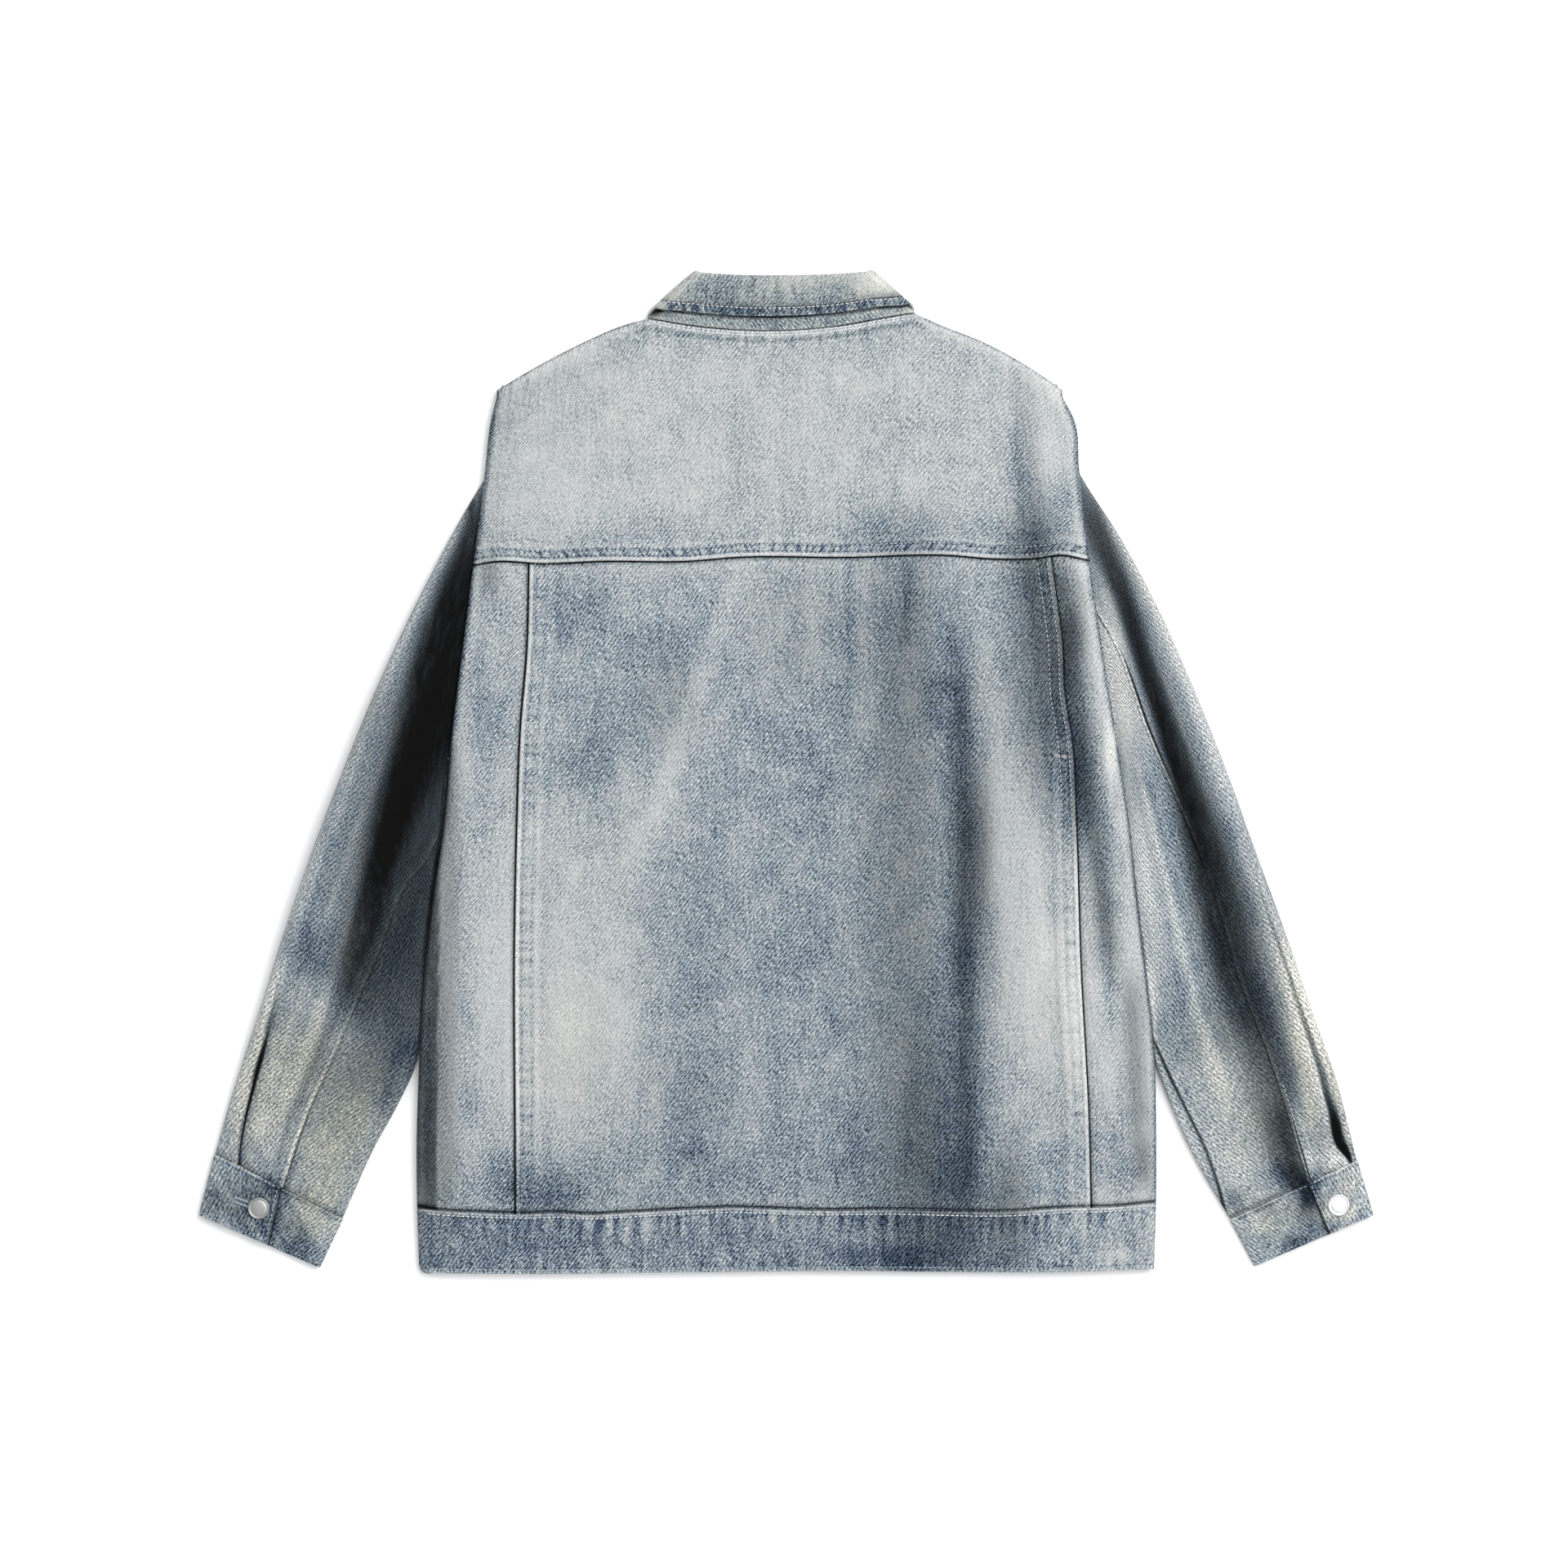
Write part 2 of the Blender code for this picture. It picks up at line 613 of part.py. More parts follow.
def collar_ring(round_share, left, right):
    """x, share across and share turned to the back of a point round the flattened neck.

    round_share: 0..1 from the collar's right end at the front, over the back, to its left end.
    """
    middle, half_width = (left + right) / 2, (right - left) / 2 - COLLAR_INSET
    from_end = np.minimum(round_share, 1 - round_share)
    hand = np.where(round_share < 0.5, 1, -1)
    turned = np.clip((from_end - COLLAR_TURN_START) / COLLAR_TURN_SPAN, 0, 1) * math.pi
    front_across = mix(COLLAR_END_GAP / 2 / half_width, 1, np.clip(from_end / COLLAR_TURN_START, 0, 1))
    back_start = COLLAR_TURN_START + COLLAR_TURN_SPAN
    back_across = 1 - np.clip((from_end - back_start) / (0.5 - back_start), 0, 1)
    across = np.where(from_end < back_start, front_across, back_across) * hand
    x = middle + half_width * across + STAND_TURN * np.sin(turned) * hand
    return x, across, (1 - np.cos(turned)) / 2


def collar_point(round_share, up):
    """A point of the collar's stand. up: 0 at the neck seam, 1 at the top fold."""
    round_share = np.clip(round_share, 0, 1)
    low_x, _, to_back = collar_ring(round_share, BACK_NECK[0][0], BACK_NECK[-1][0])
    high_x, across, _ = collar_ring(round_share, COLLAR_FOLD[0][0], COLLAR_FOLD[-1][0])
    front_seam = through(FRONT_NECK, low_x) + SEAM_GAP * 3
    low_y = mix(front_seam, through(BACK_NECK, low_x) + SEAM_GAP * 2, to_back)
    front_drop = COLLAR_FOLD_FRONT_DROP * (1 - np.abs(across) ** 2.2)
    high_y = through(COLLAR_FOLD, high_x) - front_drop * (1 - to_back)
    z = mix(STAND_FRONT_HEIGHT, STAND_BACK_HEIGHT, to_back)
    return np.array(np.broadcast_arrays(mix(low_x, high_x, up), mix(low_y, high_y, up), z))


def stand_surface(column, row):
    return collar_point(column, row * STAND_TOP)


def fall_surface(column, row):
    """The fall lies outside the stand. row: 0..1 round the top fold, 1..2 down to the free edge."""
    spread = 2 * column - 1
    down = np.clip(row - 1, 0, 1)
    round_share = column - COLLAR_POINT_SPREAD * spread**5 * down
    angle = np.clip(row, 0, 1) * math.pi
    edge = np.interp(column, *zip(*FALL_EDGE))
    up = mix(STAND_TOP + 0.015, edge, down) + 0.032 * np.sin(angle)
    step = 1e-4
    around = collar_point(round_share - step, up) - collar_point(round_share + step, up)
    upward = collar_point(round_share, up + step) - collar_point(round_share, up - step)
    outward = np.cross(around, upward, axis=0)
    outward = outward / np.linalg.norm(outward, axis=0)
    return collar_point(round_share, up) + outward * FALL_OFFSET * (1 - np.cos(angle)) / 2


def button(name, place, bottom, facing_down=False):
    """A bare metal cap with a rounded rim."""
    bpy.ops.mesh.primitive_cylinder_add(
        vertices=20,
        radius=BUTTON_RADIUS * MM,
        depth=BUTTON_HEIGHT * MM,
        location=np.subtract((*place, bottom + BUTTON_HEIGHT / 2), (*MIDDLE, 0)) * MM,
    )
    cap = bpy.context.object
    cap.name = cap.data.name = name
    for collection in cap.users_collection:
        collection.objects.unlink(cap)
    rim = cap.modifiers.new("rim", "BEVEL")
    rim.width = 0.7 * MM
    rim.segments = 2
    rim.limit_method = "ANGLE"
    finished(cap, METAL)
    return cap


def build_body():
    turn = (1, 2, 3)
    sides = stations((0, 1, 3), turn)
    rows = stations((0, 1, 20))
    left, right = (yoke_share(seam[-1][1]) for seam in (LEFT_PANEL_SEAM, RIGHT_PANEL_SEAM))
    yoke_columns = stations((-2, -1, 3), (-1, left, 3), (left, right, 18), (right, 1, 3), (1, 2, 3))
    cloth_piece("back_yoke", yoke_columns, stations((0, 1, 7), turn), yoke_surface, CLOTH, PALE_DENIM)
    cloth_piece("back_panel", stations((0, 1, 18)), rows, panel_surface, CLOTH, DENIM)
    for side, word in ((-1, "left"), (1, "right")):
        surface = side_surface(side)
        columns = sides if side > 0 else sides[::-1]
        cloth_piece(f"back_side_{word}", columns, rows, surface, CLOTH, DENIM)
        front_columns = stations((0, 0.11, 2), (0.11, 0.15, 2), (0.15, 0.42, 5), (0.42, 1, 3), turn)
        upper_rows = ((0.62, 0.84, 3), (0.84, 0.92, 3), (0.92, 1, 1))
        front_rows = stations((0, 0.53, 5), (0.53, 0.62, 5), *upper_rows, turn)
        columns = front_columns if side > 0 else front_columns[::-1]
        cloth_piece(f"front_{word}", columns, front_rows, front_surface(side), CLOTH, DENIM)
    left_band = ((0, 0.85, 5), (0.85, 1, 1), (1, 2, 6))
    right_band = ((3, 4, 6), (4, 4.85, 5), (4.85, 4.95, 2), (4.95, 5, 1))
    band = stations(*left_band, (2, 3, 22), *right_band)
    cloth_piece("hem_band", band, stations((0, 1, 2)), band_surface, BAND_CLOTH, DENIM)


def build_sleeves():
    rows = stations((0, 3, 6), (3, 10, 9))
    for side, word in ((-1, "left"), (1, "right")):
        upper = sleeve_surface(side, True)
        under = sleeve_surface(side, False)
        columns = stations((0, 0.18, 3), (0.18, 0.36, 6), (0.36, 1, 9))
        cloth_piece(f"sleeve_upper_{word}", columns, rows, upper, CLOTH, SHADED_DENIM)
        cloth_piece(f"sleeve_under_{word}", stations((0, 1, 11)), rows, under, CLOTH, SHADED_DENIM)
        columns = stations((0, 1, 26))
        cloth_piece(f"cuff_{word}", columns, stations((0, 1, 2)), cuff_surface(side), CUFF_CLOTH, DENIM)
    cuff_top = CUFF_CLOTH * 3 + LAYER_GAP * 3
    button("button_cuff_left", LEFT_CUFF_BUTTON, cuff_top + LAYER_GAP)
    button("button_cuff_right", RIGHT_CUFF_BUTTON, cuff_top + LAYER_GAP)


def build_collar():
    columns = stations((0, 0.22, 6), (0.22, 0.30, 6), (0.30, 0.70, 10), (0.70, 0.78, 6), (0.78, 1, 6))
    cloth_piece("collar_stand", columns, stations((0, 1, 3)), stand_surface, COLLAR_CLOTH, DENIM)
    rows = stations((0, 1, 4), (1, 2, 3))
    cloth_piece("collar_fall", columns, rows, fall_surface, COLLAR_CLOTH, PALE_DENIM)


def main():
    for old in list(bpy.data.objects):
        bpy.data.objects.remove(old)
    jacket = bpy.data.collections.new("denim_jacket")
    bpy.context.scene.collection.children.link(jacket)
    build_body()
    build_sleeves()
    build_collar()
    for number, y in enumerate(FRONT_BUTTONS, start=1):
        button(f"button_front_{number}", (0, y), 0)


main()
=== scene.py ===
"""Washed denim jacket, laid flat with its back up: cloth, sewing, metal and studio.

X runs across the jacket, Y from the hem to the collar and Z up from the surface it lies on.
The garment's own sizes are in millimetres; ClothPiece and solid_mesh turn them into metres.
"""

from __future__ import annotations

import sys

import logging
import math
from collections.abc import Callable, Sequence
from dataclasses import dataclass, field
from enum import Enum
from functools import partial

import bpy
import numpy as np
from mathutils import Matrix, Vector


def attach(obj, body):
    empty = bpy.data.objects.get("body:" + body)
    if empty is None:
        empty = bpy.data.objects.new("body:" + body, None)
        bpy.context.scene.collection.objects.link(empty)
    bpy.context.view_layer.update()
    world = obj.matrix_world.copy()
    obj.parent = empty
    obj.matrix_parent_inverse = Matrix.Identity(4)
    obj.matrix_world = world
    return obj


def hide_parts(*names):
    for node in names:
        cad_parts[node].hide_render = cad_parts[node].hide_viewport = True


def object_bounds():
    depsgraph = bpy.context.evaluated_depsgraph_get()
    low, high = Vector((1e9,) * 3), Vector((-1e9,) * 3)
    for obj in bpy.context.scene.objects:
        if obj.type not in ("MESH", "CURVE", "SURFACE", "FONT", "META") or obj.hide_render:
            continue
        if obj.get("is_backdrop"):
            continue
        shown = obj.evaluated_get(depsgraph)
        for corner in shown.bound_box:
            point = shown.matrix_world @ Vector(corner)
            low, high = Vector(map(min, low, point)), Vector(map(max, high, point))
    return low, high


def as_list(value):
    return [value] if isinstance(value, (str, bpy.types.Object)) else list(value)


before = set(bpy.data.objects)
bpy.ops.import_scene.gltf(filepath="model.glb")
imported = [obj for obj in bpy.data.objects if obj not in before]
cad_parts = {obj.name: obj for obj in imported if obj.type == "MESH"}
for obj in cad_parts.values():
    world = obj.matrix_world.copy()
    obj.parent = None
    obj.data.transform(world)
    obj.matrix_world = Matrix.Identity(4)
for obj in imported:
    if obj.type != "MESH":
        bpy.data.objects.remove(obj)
cad_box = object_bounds()

log = logging.getLogger("jacket")

Array = np.ndarray
Rows = Sequence[Sequence[float]]
Socket = bpy.types.NodeSocket
Adder = Callable[..., Socket]
Pair = tuple[Array, Array]
# x, y and z
Point = tuple[Array, Array, Array]
Surface = Callable[[Array, Array], Point]

MM = 0.001
# x and y, in the garment's own millimetres, of the frame's origin
MIDDLE = (1.44, 0.155)

# Thickness of the cloth, one layer or sewn double
CLOTH = 1.2
CUT_CLOTH = 1.4
BAND_CLOTH = 2.6
COLLAR_CLOTH = 1.8
CUFF_CLOTH = 2.4
LAYER_GAP = 0.35
GROUND = CUT_CLOTH / 2
# How far a rolled edge runs back beneath its piece
TUCK = 5.0
# How often a surface is smoothed to find what stands proud of it, and the height in millimetres
# past which washing rubs it no more
SMOOTHINGS = 36
MOST_PROUD = 0.8
# Least share of its length by its width that a cut fills
LEAST_FILL = 0.31


class Side(Enum):
    """The wearer's back as it lies: left or right of the middle."""

    LEFT = -1
    RIGHT = 1

    @property
    def word(self) -> str:
        """The side's name in piece names."""
        return self.name.lower()


class Edge(Enum):
    """An edge of a piece's grid of points."""

    FIRST_ROW = (0, False)
    FIRST_COLUMN = (1, False)
    LAST_COLUMN = (1, True)


# ---------------- curves and numbers


def clamp(value: Array | float) -> Array:
    """The value, but no less than 0 and no more than 1."""
    return np.clip(value, 0, 1)


def ease(value: Array | float) -> Array:
    """0 below 0, 1 above 1 and an eased ramp between."""
    value = clamp(value)
    return value * value * (3 - 2 * value)


def bump(distance: Array, width: float | Array) -> Array:
    """A soft bell over a distance: 1 in the middle, about a third at one width."""
    return np.exp(-((distance / width) ** 2))


def mix(a: Array | float, b: Array | float, share: Array | float) -> Array:
    """a at share 0, b at share 1."""
    return a + (b - a) * share


def through(table: Rows, at: Array | float, column: int = 1) -> Array:
    """A column of a table as a smooth curve over the table's first column.

    Args:
        table: rows whose first value rises.
        at: places on the first column.
        column: the column to read.

    Returns:
        Cubic arcs that pass through each row with the slope of its neighbours.
    """
    rows = np.array(table, float)
    places, values = rows[:, 0], rows[:, column]
    slopes = np.gradient(values, places)
    at = np.clip(at, places[0], places[-1])
    k = np.clip(np.searchsorted(places, at) - 1, 0, len(places) - 2)
    width = places[k + 1] - places[k]
    f = (at - places[k]) / width
    start = (1 + 2 * f) * (1 - f) ** 2 * values[k] + f * (1 - f) ** 2 * width * slopes[k]
    end = f * f * (3 - 2 * f) * values[k + 1] + f * f * (f - 1) * width * slopes[k + 1]
    return start + end


def columns_at(table: Rows, at: Array) -> tuple[Array, ...]:
    """All the columns of a table, each as a smooth curve over its first."""
    return tuple(through(table, at, column) for column in range(1, len(table[0])))


def stations(*stretches: tuple[float, float, int]) -> Array:
    """Joins stretches into one list of places, without doubled ends.

    Args:
        stretches: first place, last place and number of steps of each.

    Returns:
        The places.
    """
    places = [np.array([stretches[0][0]], float)]
    for first, last, steps in stretches:
        places.append(np.linspace(first, last, steps + 1)[1:])
    return np.concatenate(places)


def uneven(along: Array, spacing: float, seed: float) -> Array:
    """Uneven waves between about -1 and 1: four sines whose lengths don't divide each other.

    Args:
        along: distance in millimetres.
        spacing: usual distance from crest to crest.
        seed: shifts the waves, so that two seams differ.

    Returns:
        The height of the waves.
    """
    turn = 2 * math.pi * along / spacing
    slow = 0.7 + 0.5 * np.sin(turn * 0.137 + seed * 2.3) + 0.3 * np.sin(turn * 0.061 + seed)
    waves = np.sin(turn + seed) + 0.7 * np.sin(turn * 1.618 + seed * 3.1)
    return (waves + 0.5 * np.sin(turn * 0.573 + seed * 5.7)) * slow / 2


def off_line(x: Array, y: Array, start: Sequence[float], end: Sequence[float]) -> Array:
    """Signed distance from the straight line through two points, positive on its right."""
    along_x, along_y = end[0] - start[0], end[1] - start[1]
    return ((x - start[0]) * along_y - (y - start[1]) * along_x) / math.hypot(along_x, along_y)


def pucker_marks(along: Array, spacing: float, seed: float) -> Array:
    """Narrow grooves at uneven distances, 0 between them and up to 1 in them.

    Args:
        along: distance in millimetres.
        spacing: usual distance from groove to groove.
        seed: shifts the grooves and changes which are deep.

    Returns:
        How deep each place lies in a groove.
    """
    phase = along / spacing + 0.3 * np.sin(along / spacing * 1.9 + seed) + seed * 7.3
    number = np.floor(phase)
    depth = 0.75 + 0.25 * np.sin(number * 12.9898 + seed * 78.2)
    return depth * bump(phase - number - 0.5, 0.2)


def quarter_turn(share: Array, turned: Array) -> Pair:
    """How far out and down a quarter turn carries a point, as shares of its radius.

    Args:
        share: 0 where the turn starts and 1 at its end.
        turned: 1 where the cloth turns, 0 where it only ends.

    Returns:
        The share outwards and the share downwards.
    """
    angle = share * math.pi / 2
    return mix(share, np.sin(angle), turned), turned * (1 - np.cos(angle))


def unit(vectors: Array) -> Array:
    """Vectors of length 1 along the last axis."""
    return vectors / np.maximum(np.linalg.norm(vectors, axis=-1, keepdims=True), 1e-9)


def fold_rise(
    x: Array, y: Array, folds: Rows, fade: float = 0.25, stretch: Array | float = 1.0
) -> Array:
    """How far the soft folds of a table lift the cloth.

    A fold is a bell across the line between its two ends, wider on one side than on the other,
    and it fades over its ends.

    Args:
        x: places across.
        y: places up.
        folds: rows of x0, y0, x1, y1, rise, width on the left, width on the right.
        fade: share of its length over which a fold's ends fade.
        stretch: millimetres in one unit of x.

    Returns:
        The rise in millimetres.
    """
    rise = np.zeros(np.broadcast(x, y).shape)
    for x0, y0, x1, y1, height, left, right in folds:
        share = (y - y0) / (y1 - y0)
        aside = (x - mix(x0, x1, share)) * stretch
        ends = ease(share / fade + 0.5) * ease((1 - share) / fade + 0.5)
        rise = rise + height * ends * bump(aside, np.where(aside < 0, left, right))
    return rise


# ---------------- finishes


def linear(hex_colour: str) -> tuple[float, float, float, float]:
    """Turns an sRGB colour into the linear one that a shader takes.

    Args:
        hex_colour: as "#RRGGBB".

    Returns:
        Red, green, blue and 1.
    """
    levels = [int(hex_colour[k : k + 2], 16) / 255 for k in (1, 3, 5)]
    values = [v / 12.92 if v <= 0.04045 else ((v + 0.055) / 1.055) ** 2.4 for v in levels]
    return values[0], values[1], values[2], 1.0


def feed(node: bpy.types.Node, links: dict[str | int, object]) -> None:
    """Gives a node's inputs a number or colour, or joins them to another node's output.

    Args:
        node: the node.
        links: what its inputs take, by name or number.
    """
    for key, value in links.items():
        if isinstance(value, Socket):
            node.id_data.links.new(value, node.inputs[key])
        else:
            node.inputs[key].default_value = value


def add_node(
    tree: bpy.types.NodeTree,
    kind: str,
    *values: object,
    links: dict[str | int, object] | None = None,
    out: str | None = None,
    **settings: object,
) -> Socket:
    """Adds a node to a material.

    Args:
        tree: the material's node tree.
        kind: the node's type, after "ShaderNode".
        values: what its first inputs take, in order.
        links: what its other inputs take, by name or number.
        out: the output to give back.
        settings: properties of the node by name.

    Returns:
        That output, or else the first in use.
    """
    node = tree.nodes.new("ShaderNode" + kind)
    for name, value in settings.items():
        setattr(node, name, value)
    feed(node, dict(enumerate(values)) | (links or {}))
    return node.outputs[out] if out else next(socket for socket in node.outputs if socket.enabled)


@dataclass(frozen=True)
class Finish:
    """What a piece is made of. Its material is made once and shared."""

    name: str

    def material(self) -> bpy.types.Material:
        """The material of this name, made at its first use.

        Returns:
            The material.
        """
        found = bpy.data.materials.get(self.name)
        if found:
            return found
        material = bpy.data.materials.new(self.name)
        material.use_nodes = True
        tree = material.node_tree
        feed(tree.nodes["Principled BSDF"], self.sockets(partial(add_node, tree)))
        return material

    def sockets(self, add: Adder) -> dict[str, object]:
        """What the shader's inputs take, worked out with the nodes that add makes."""
        raise NotImplementedError


@dataclass(frozen=True)
class DenimFinish(Finish):
    """Indigo cotton twill, stone washed and bleached in patches.

    Pale wefts and dark warps make a fine grain of light and dark along the twill. Washing leaves
    the grain faint where the cloth is bleached, and strong where it kept its dye. The nap is matt.
    The cloth's UV map is in metres along its own threads, so the twill turns with each piece.
    A point attribute holds how pale, how dark and how yellowed each point is. Its dark share is
    partly dye that the cloth kept and partly painted shade, which darkens and tints the whole weave.
    Real twill lines are 0.8 mm apart. They are drawn 2.5 mm apart, because finer ones don't show.
    """

    dye: tuple[str, ...] = ("#323E4F", "#55606C", "#7B848A", "#A2A5A5", "#BCBDBB")
    yellowing: str = "#FFF7E2"
    shade_tint: str = "#E6F8FF"
    roughness: float = 0.93
    sheen: float = 0.03
    twill_pitch: float = 2.5
    twill_angle: float = 52.0
    twill_depth: float = 1.1
    grain: float = 6.2
    # The grain's strength where the cloth is dark, what a pale tone takes off it, and its least
    full_grain: float = 0.62
    grain_fade: float = 0.71
    least_grain: float = 0.07
    relief: float = 0.5

    def sockets(self, add: Adder) -> dict[str, object]:
        """Clouds, slubs, grain and twill lines change one tone, and a ramp gives its dye.

        Args:
            add: adds a node to the material.

        Returns:
            What the shader's inputs take.
        """
        cloth = add("UVMap", uv_map="cloth")
        wash = add("Attribute", attribute_name="wash")
        pale, dark, yellow = add("SeparateColor", wash).node.outputs
        turn = {"Rotation": (0, 0, math.radians(self.twill_angle))}
        twilled = add("Mapping", cloth, links=turn, vector_type="TEXTURE")
        noises = []
        # Each is noise round 0: its threads, and how many features a metre it has along and across
        for place, along, across, detail in (
            # Clouds of bleach some 4 cm wide, and mottling some 1 cm wide
            (cloth, 24, 24, 4),
            (cloth, 100, 75, 3),
            # Slubs: thick and thin warps, 2 mm wide and 3 cm long, and finer wefts
            (cloth, 430, 34, 2),
            (cloth, 60, 520, 1),
            # Grain along the twill, 1 mm wide, specks finer still, and flecks
            (twilled, 380, 740, 2),
            (cloth, 1400, 900, 1),
            (cloth, 620, 400, 1),
        ):
            placed = add("Mapping", place, links={"Scale": (along, across, 1)})
            links = {"Vector": placed, "Scale": 1.0, "Detail": detail, "Roughness": 0.6}
            noise = add("TexNoise", links=links, noise_dimensions="2D")
            noises.append(add("Math", noise, 0.5, operation="SUBTRACT"))
        clouds, mottle, slubs, wefts, grain, specks, flecks = noises
        # A wave texture has a crest every pi / 10 units at scale 1
        links = {"Vector": twilled, "Scale": math.pi / 10 / (self.twill_pitch * MM), "Distortion": 1.8}
        links |= {"Detail": 2.0, "Detail Scale": 1.5, "Detail Roughness": 0.65}
        lines = add("TexWave", links=links, out="Fac", bands_direction="Y")
        twill = add("Math", lines, 0.5, operation="SUBTRACT")

        # Bleached cloth is even, and cloth that kept its dye streaky
        spread = add("Math", pale, -0.64, 0.66, operation="MULTIPLY_ADD")
        streaks = add("Math", clouds, mottle, operation="ADD")
        streaks = add("Math", streaks, slubs, operation="ADD")
        streaks = add("Math", wefts, 0.4, streaks, operation="MULTIPLY_ADD")
        tone = add("Math", streaks, spread, pale, operation="MULTIPLY_ADD")
        ramp = add("ValToRGB", tone)
        elements = ramp.node.color_ramp.elements
        while len(elements) < len(self.dye):
            elements.new(0.5)
        for step, (element, colour) in enumerate(zip(elements, self.dye)):
            element.position = step / (len(self.dye) - 1)
            element.color = linear(colour)
        dye_and_shade = ramp
        for share, tint in ((yellow, self.yellowing), (dark, self.shade_tint)):
            links = {0: share, 6: dye_and_shade, 7: linear(tint)}
            dye_and_shade = add("Mix", links=links, data_type="RGBA", blend_type="MULTIPLY", clamp_factor=True)

        # Threads are lighter and darker than their mean by a share that falls where the cloth is pale
        weave = add("Math", grain, self.grain, operation="MULTIPLY")
        weave = add("Math", specks, self.grain * 0.6, weave, operation="MULTIPLY_ADD")
        weave = add("Math", twill, self.twill_depth, weave, operation="MULTIPLY_ADD")
        strength = add("Math", tone, -self.grain_fade, self.full_grain, operation="MULTIPLY_ADD")
        strength = add("Math", yellow, -0.12, strength, operation="MULTIPLY_ADD")
        strength = add("Math", strength, self.least_grain, operation="MAXIMUM")
        weave = add("Math", weave, strength, 1.0, operation="MULTIPLY_ADD")
        # Dark flecks of dye that washing missed
        links = {"Value": flecks, "From Min": 0.18, "From Max": 0.3, "To Max": -0.22}
        weave = add("Math", weave, add("MapRange", links=links), operation="ADD")
        weave = add("Clamp", weave, 0.2, 1.6)
        # Where the dark share lies, dye kept and painted shade, the whole weave is darker
        patches = add("Math", mottle, 0.6, 1.0, operation="MULTIPLY_ADD")
        shade = add("Math", dark, patches, operation="MULTIPLY")
        shade = add("Math", 1.0, shade, operation="SUBTRACT", use_clamp=True)
        weave = add("Math", weave, shade, operation="MULTIPLY")
        # 2.2 turns a share of what the eye sees into a share of light
        light = add("Math", weave, 2.2, operation="POWER")
        relief = add("Math", grain, 3.0, lines, operation="MULTIPLY_ADD")
        relief = add("Math", slubs, 2.0, relief, operation="MULTIPLY_ADD")
        raised = {"Height": relief, "Strength": 0.6, "Distance": self.relief * MM}
        return {
            "Base Color": add("VectorMath", dye_and_shade, links={"Scale": light}, operation="SCALE"),
            "Normal": add("Bump", links=raised),
            "Roughness": self.roughness,
            "IOR": 1.5,
            "Specular IOR Level": 0.1,
            "Sheen Weight": self.sheen,
            "Sheen Roughness": 0.6,
        }


@dataclass(frozen=True)
class ThreadFinish(Finish):
    """Twisted cotton-wrapped polyester sewing thread, washed with the cloth: pale, a little hairy."""

    colour: str
    worn: str

    def sockets(self, add: Adder) -> dict[str, object]:
        """The colour changes every few stitches, and fine plies raise it.

        Args:
            add: adds a node to the material.

        Returns:
            What the shader's inputs take.
        """
        place = add("TexCoord", out="Object")
        wear = add("TexNoise", links={"Vector": place, "Scale": 160.0})
        plies = add("TexNoise", links={"Vector": place, "Scale": 2600.0})
        colours = {0: wear, 6: linear(self.colour), 7: linear(self.worn)}
        return {
            "Base Color": add("Mix", links=colours, data_type="RGBA"),
            "Normal": add("Bump", links={"Height": plies, "Strength": 0.4, "Distance": 0.1 * MM}),
            "Roughness": 0.7,
            "IOR": 1.5,
        }


@dataclass(frozen=True)
class MetalFinish(Finish):
    """Pressed brass with a matt nickel plate: pale grey, soft highlights, fine scuffs from wear."""

    colour: str = "#E9EAEA"
    tarnish: str = "#BFC0C0"

    def sockets(self, add: Adder) -> dict[str, object]:
        """Scuffs change the roughness and a thin tarnish the colour.

        Args:
            add: adds a node to the material.

        Returns:
            What the shader's inputs take.
        """
        place = add("TexCoord", out="Object")
        film = add("TexNoise", links={"Vector": place, "Scale": 420.0, "Detail": 4.0})
        scuffs = add("TexNoise", links={"Vector": place, "Scale": 3000.0})
        colours = {0: film, 6: linear(self.tarnish), 7: linear(self.colour)}
        return {
            "Base Color": add("Mix", links=colours, data_type="RGBA"),
            "Roughness": add("MapRange", links={"Value": film, "To Min": 0.34, "To Max": 0.52}),
            "Normal": add("Bump", links={"Height": scuffs, "Strength": 0.12, "Distance": 0.05 * MM}),
            "Metallic": 1.0,
        }


@dataclass(frozen=True)
class PaperFinish(Finish):
    """Matt white background paper: even, with a very faint tooth."""

    colour: str = "#F7F7F6"
    dip: str = "#F4F4F3"

    def sockets(self, add: Adder) -> dict[str, object]:
        """Fine noise changes the brightness by a hair.

        Args:
            add: adds a node to the material.

        Returns:
            What the shader's inputs take.
        """
        place = add("TexCoord", out="Object")
        tooth = add("TexNoise", links={"Vector": place, "Scale": 900.0})
        colours = {0: tooth, 6: linear(self.dip), 7: linear(self.colour)}
        return {
            "Base Color": add("Mix", links=colours, data_type="RGBA"),
            "Roughness": 0.9,
            "Specular IOR Level": 0.1,
        }


DENIM = DenimFinish("washed indigo denim")
SLEEVE_DENIM = DenimFinish(
    "washed indigo denim of the sleeves",
    twill_angle=62.0,
    grain=5.4,
    twill_depth=1.0,
    least_grain=0.24,
)
THREAD = ThreadFinish("washed sewing thread", "#84909B", "#B6BEC2")
PALE_THREAD = ThreadFinish("pale sewing thread", "#C3C9CA", "#E4E6E3")
RUST_THREAD = ThreadFinish("rust bar tack thread", "#8A8586", "#A39C9B")
NICKEL = MetalFinish("matt nickel plate")
DULL_NICKEL = MetalFinish("dull nickel plate", "#A7A9A8", "#868886")
PAPER = PaperFinish("white background paper")
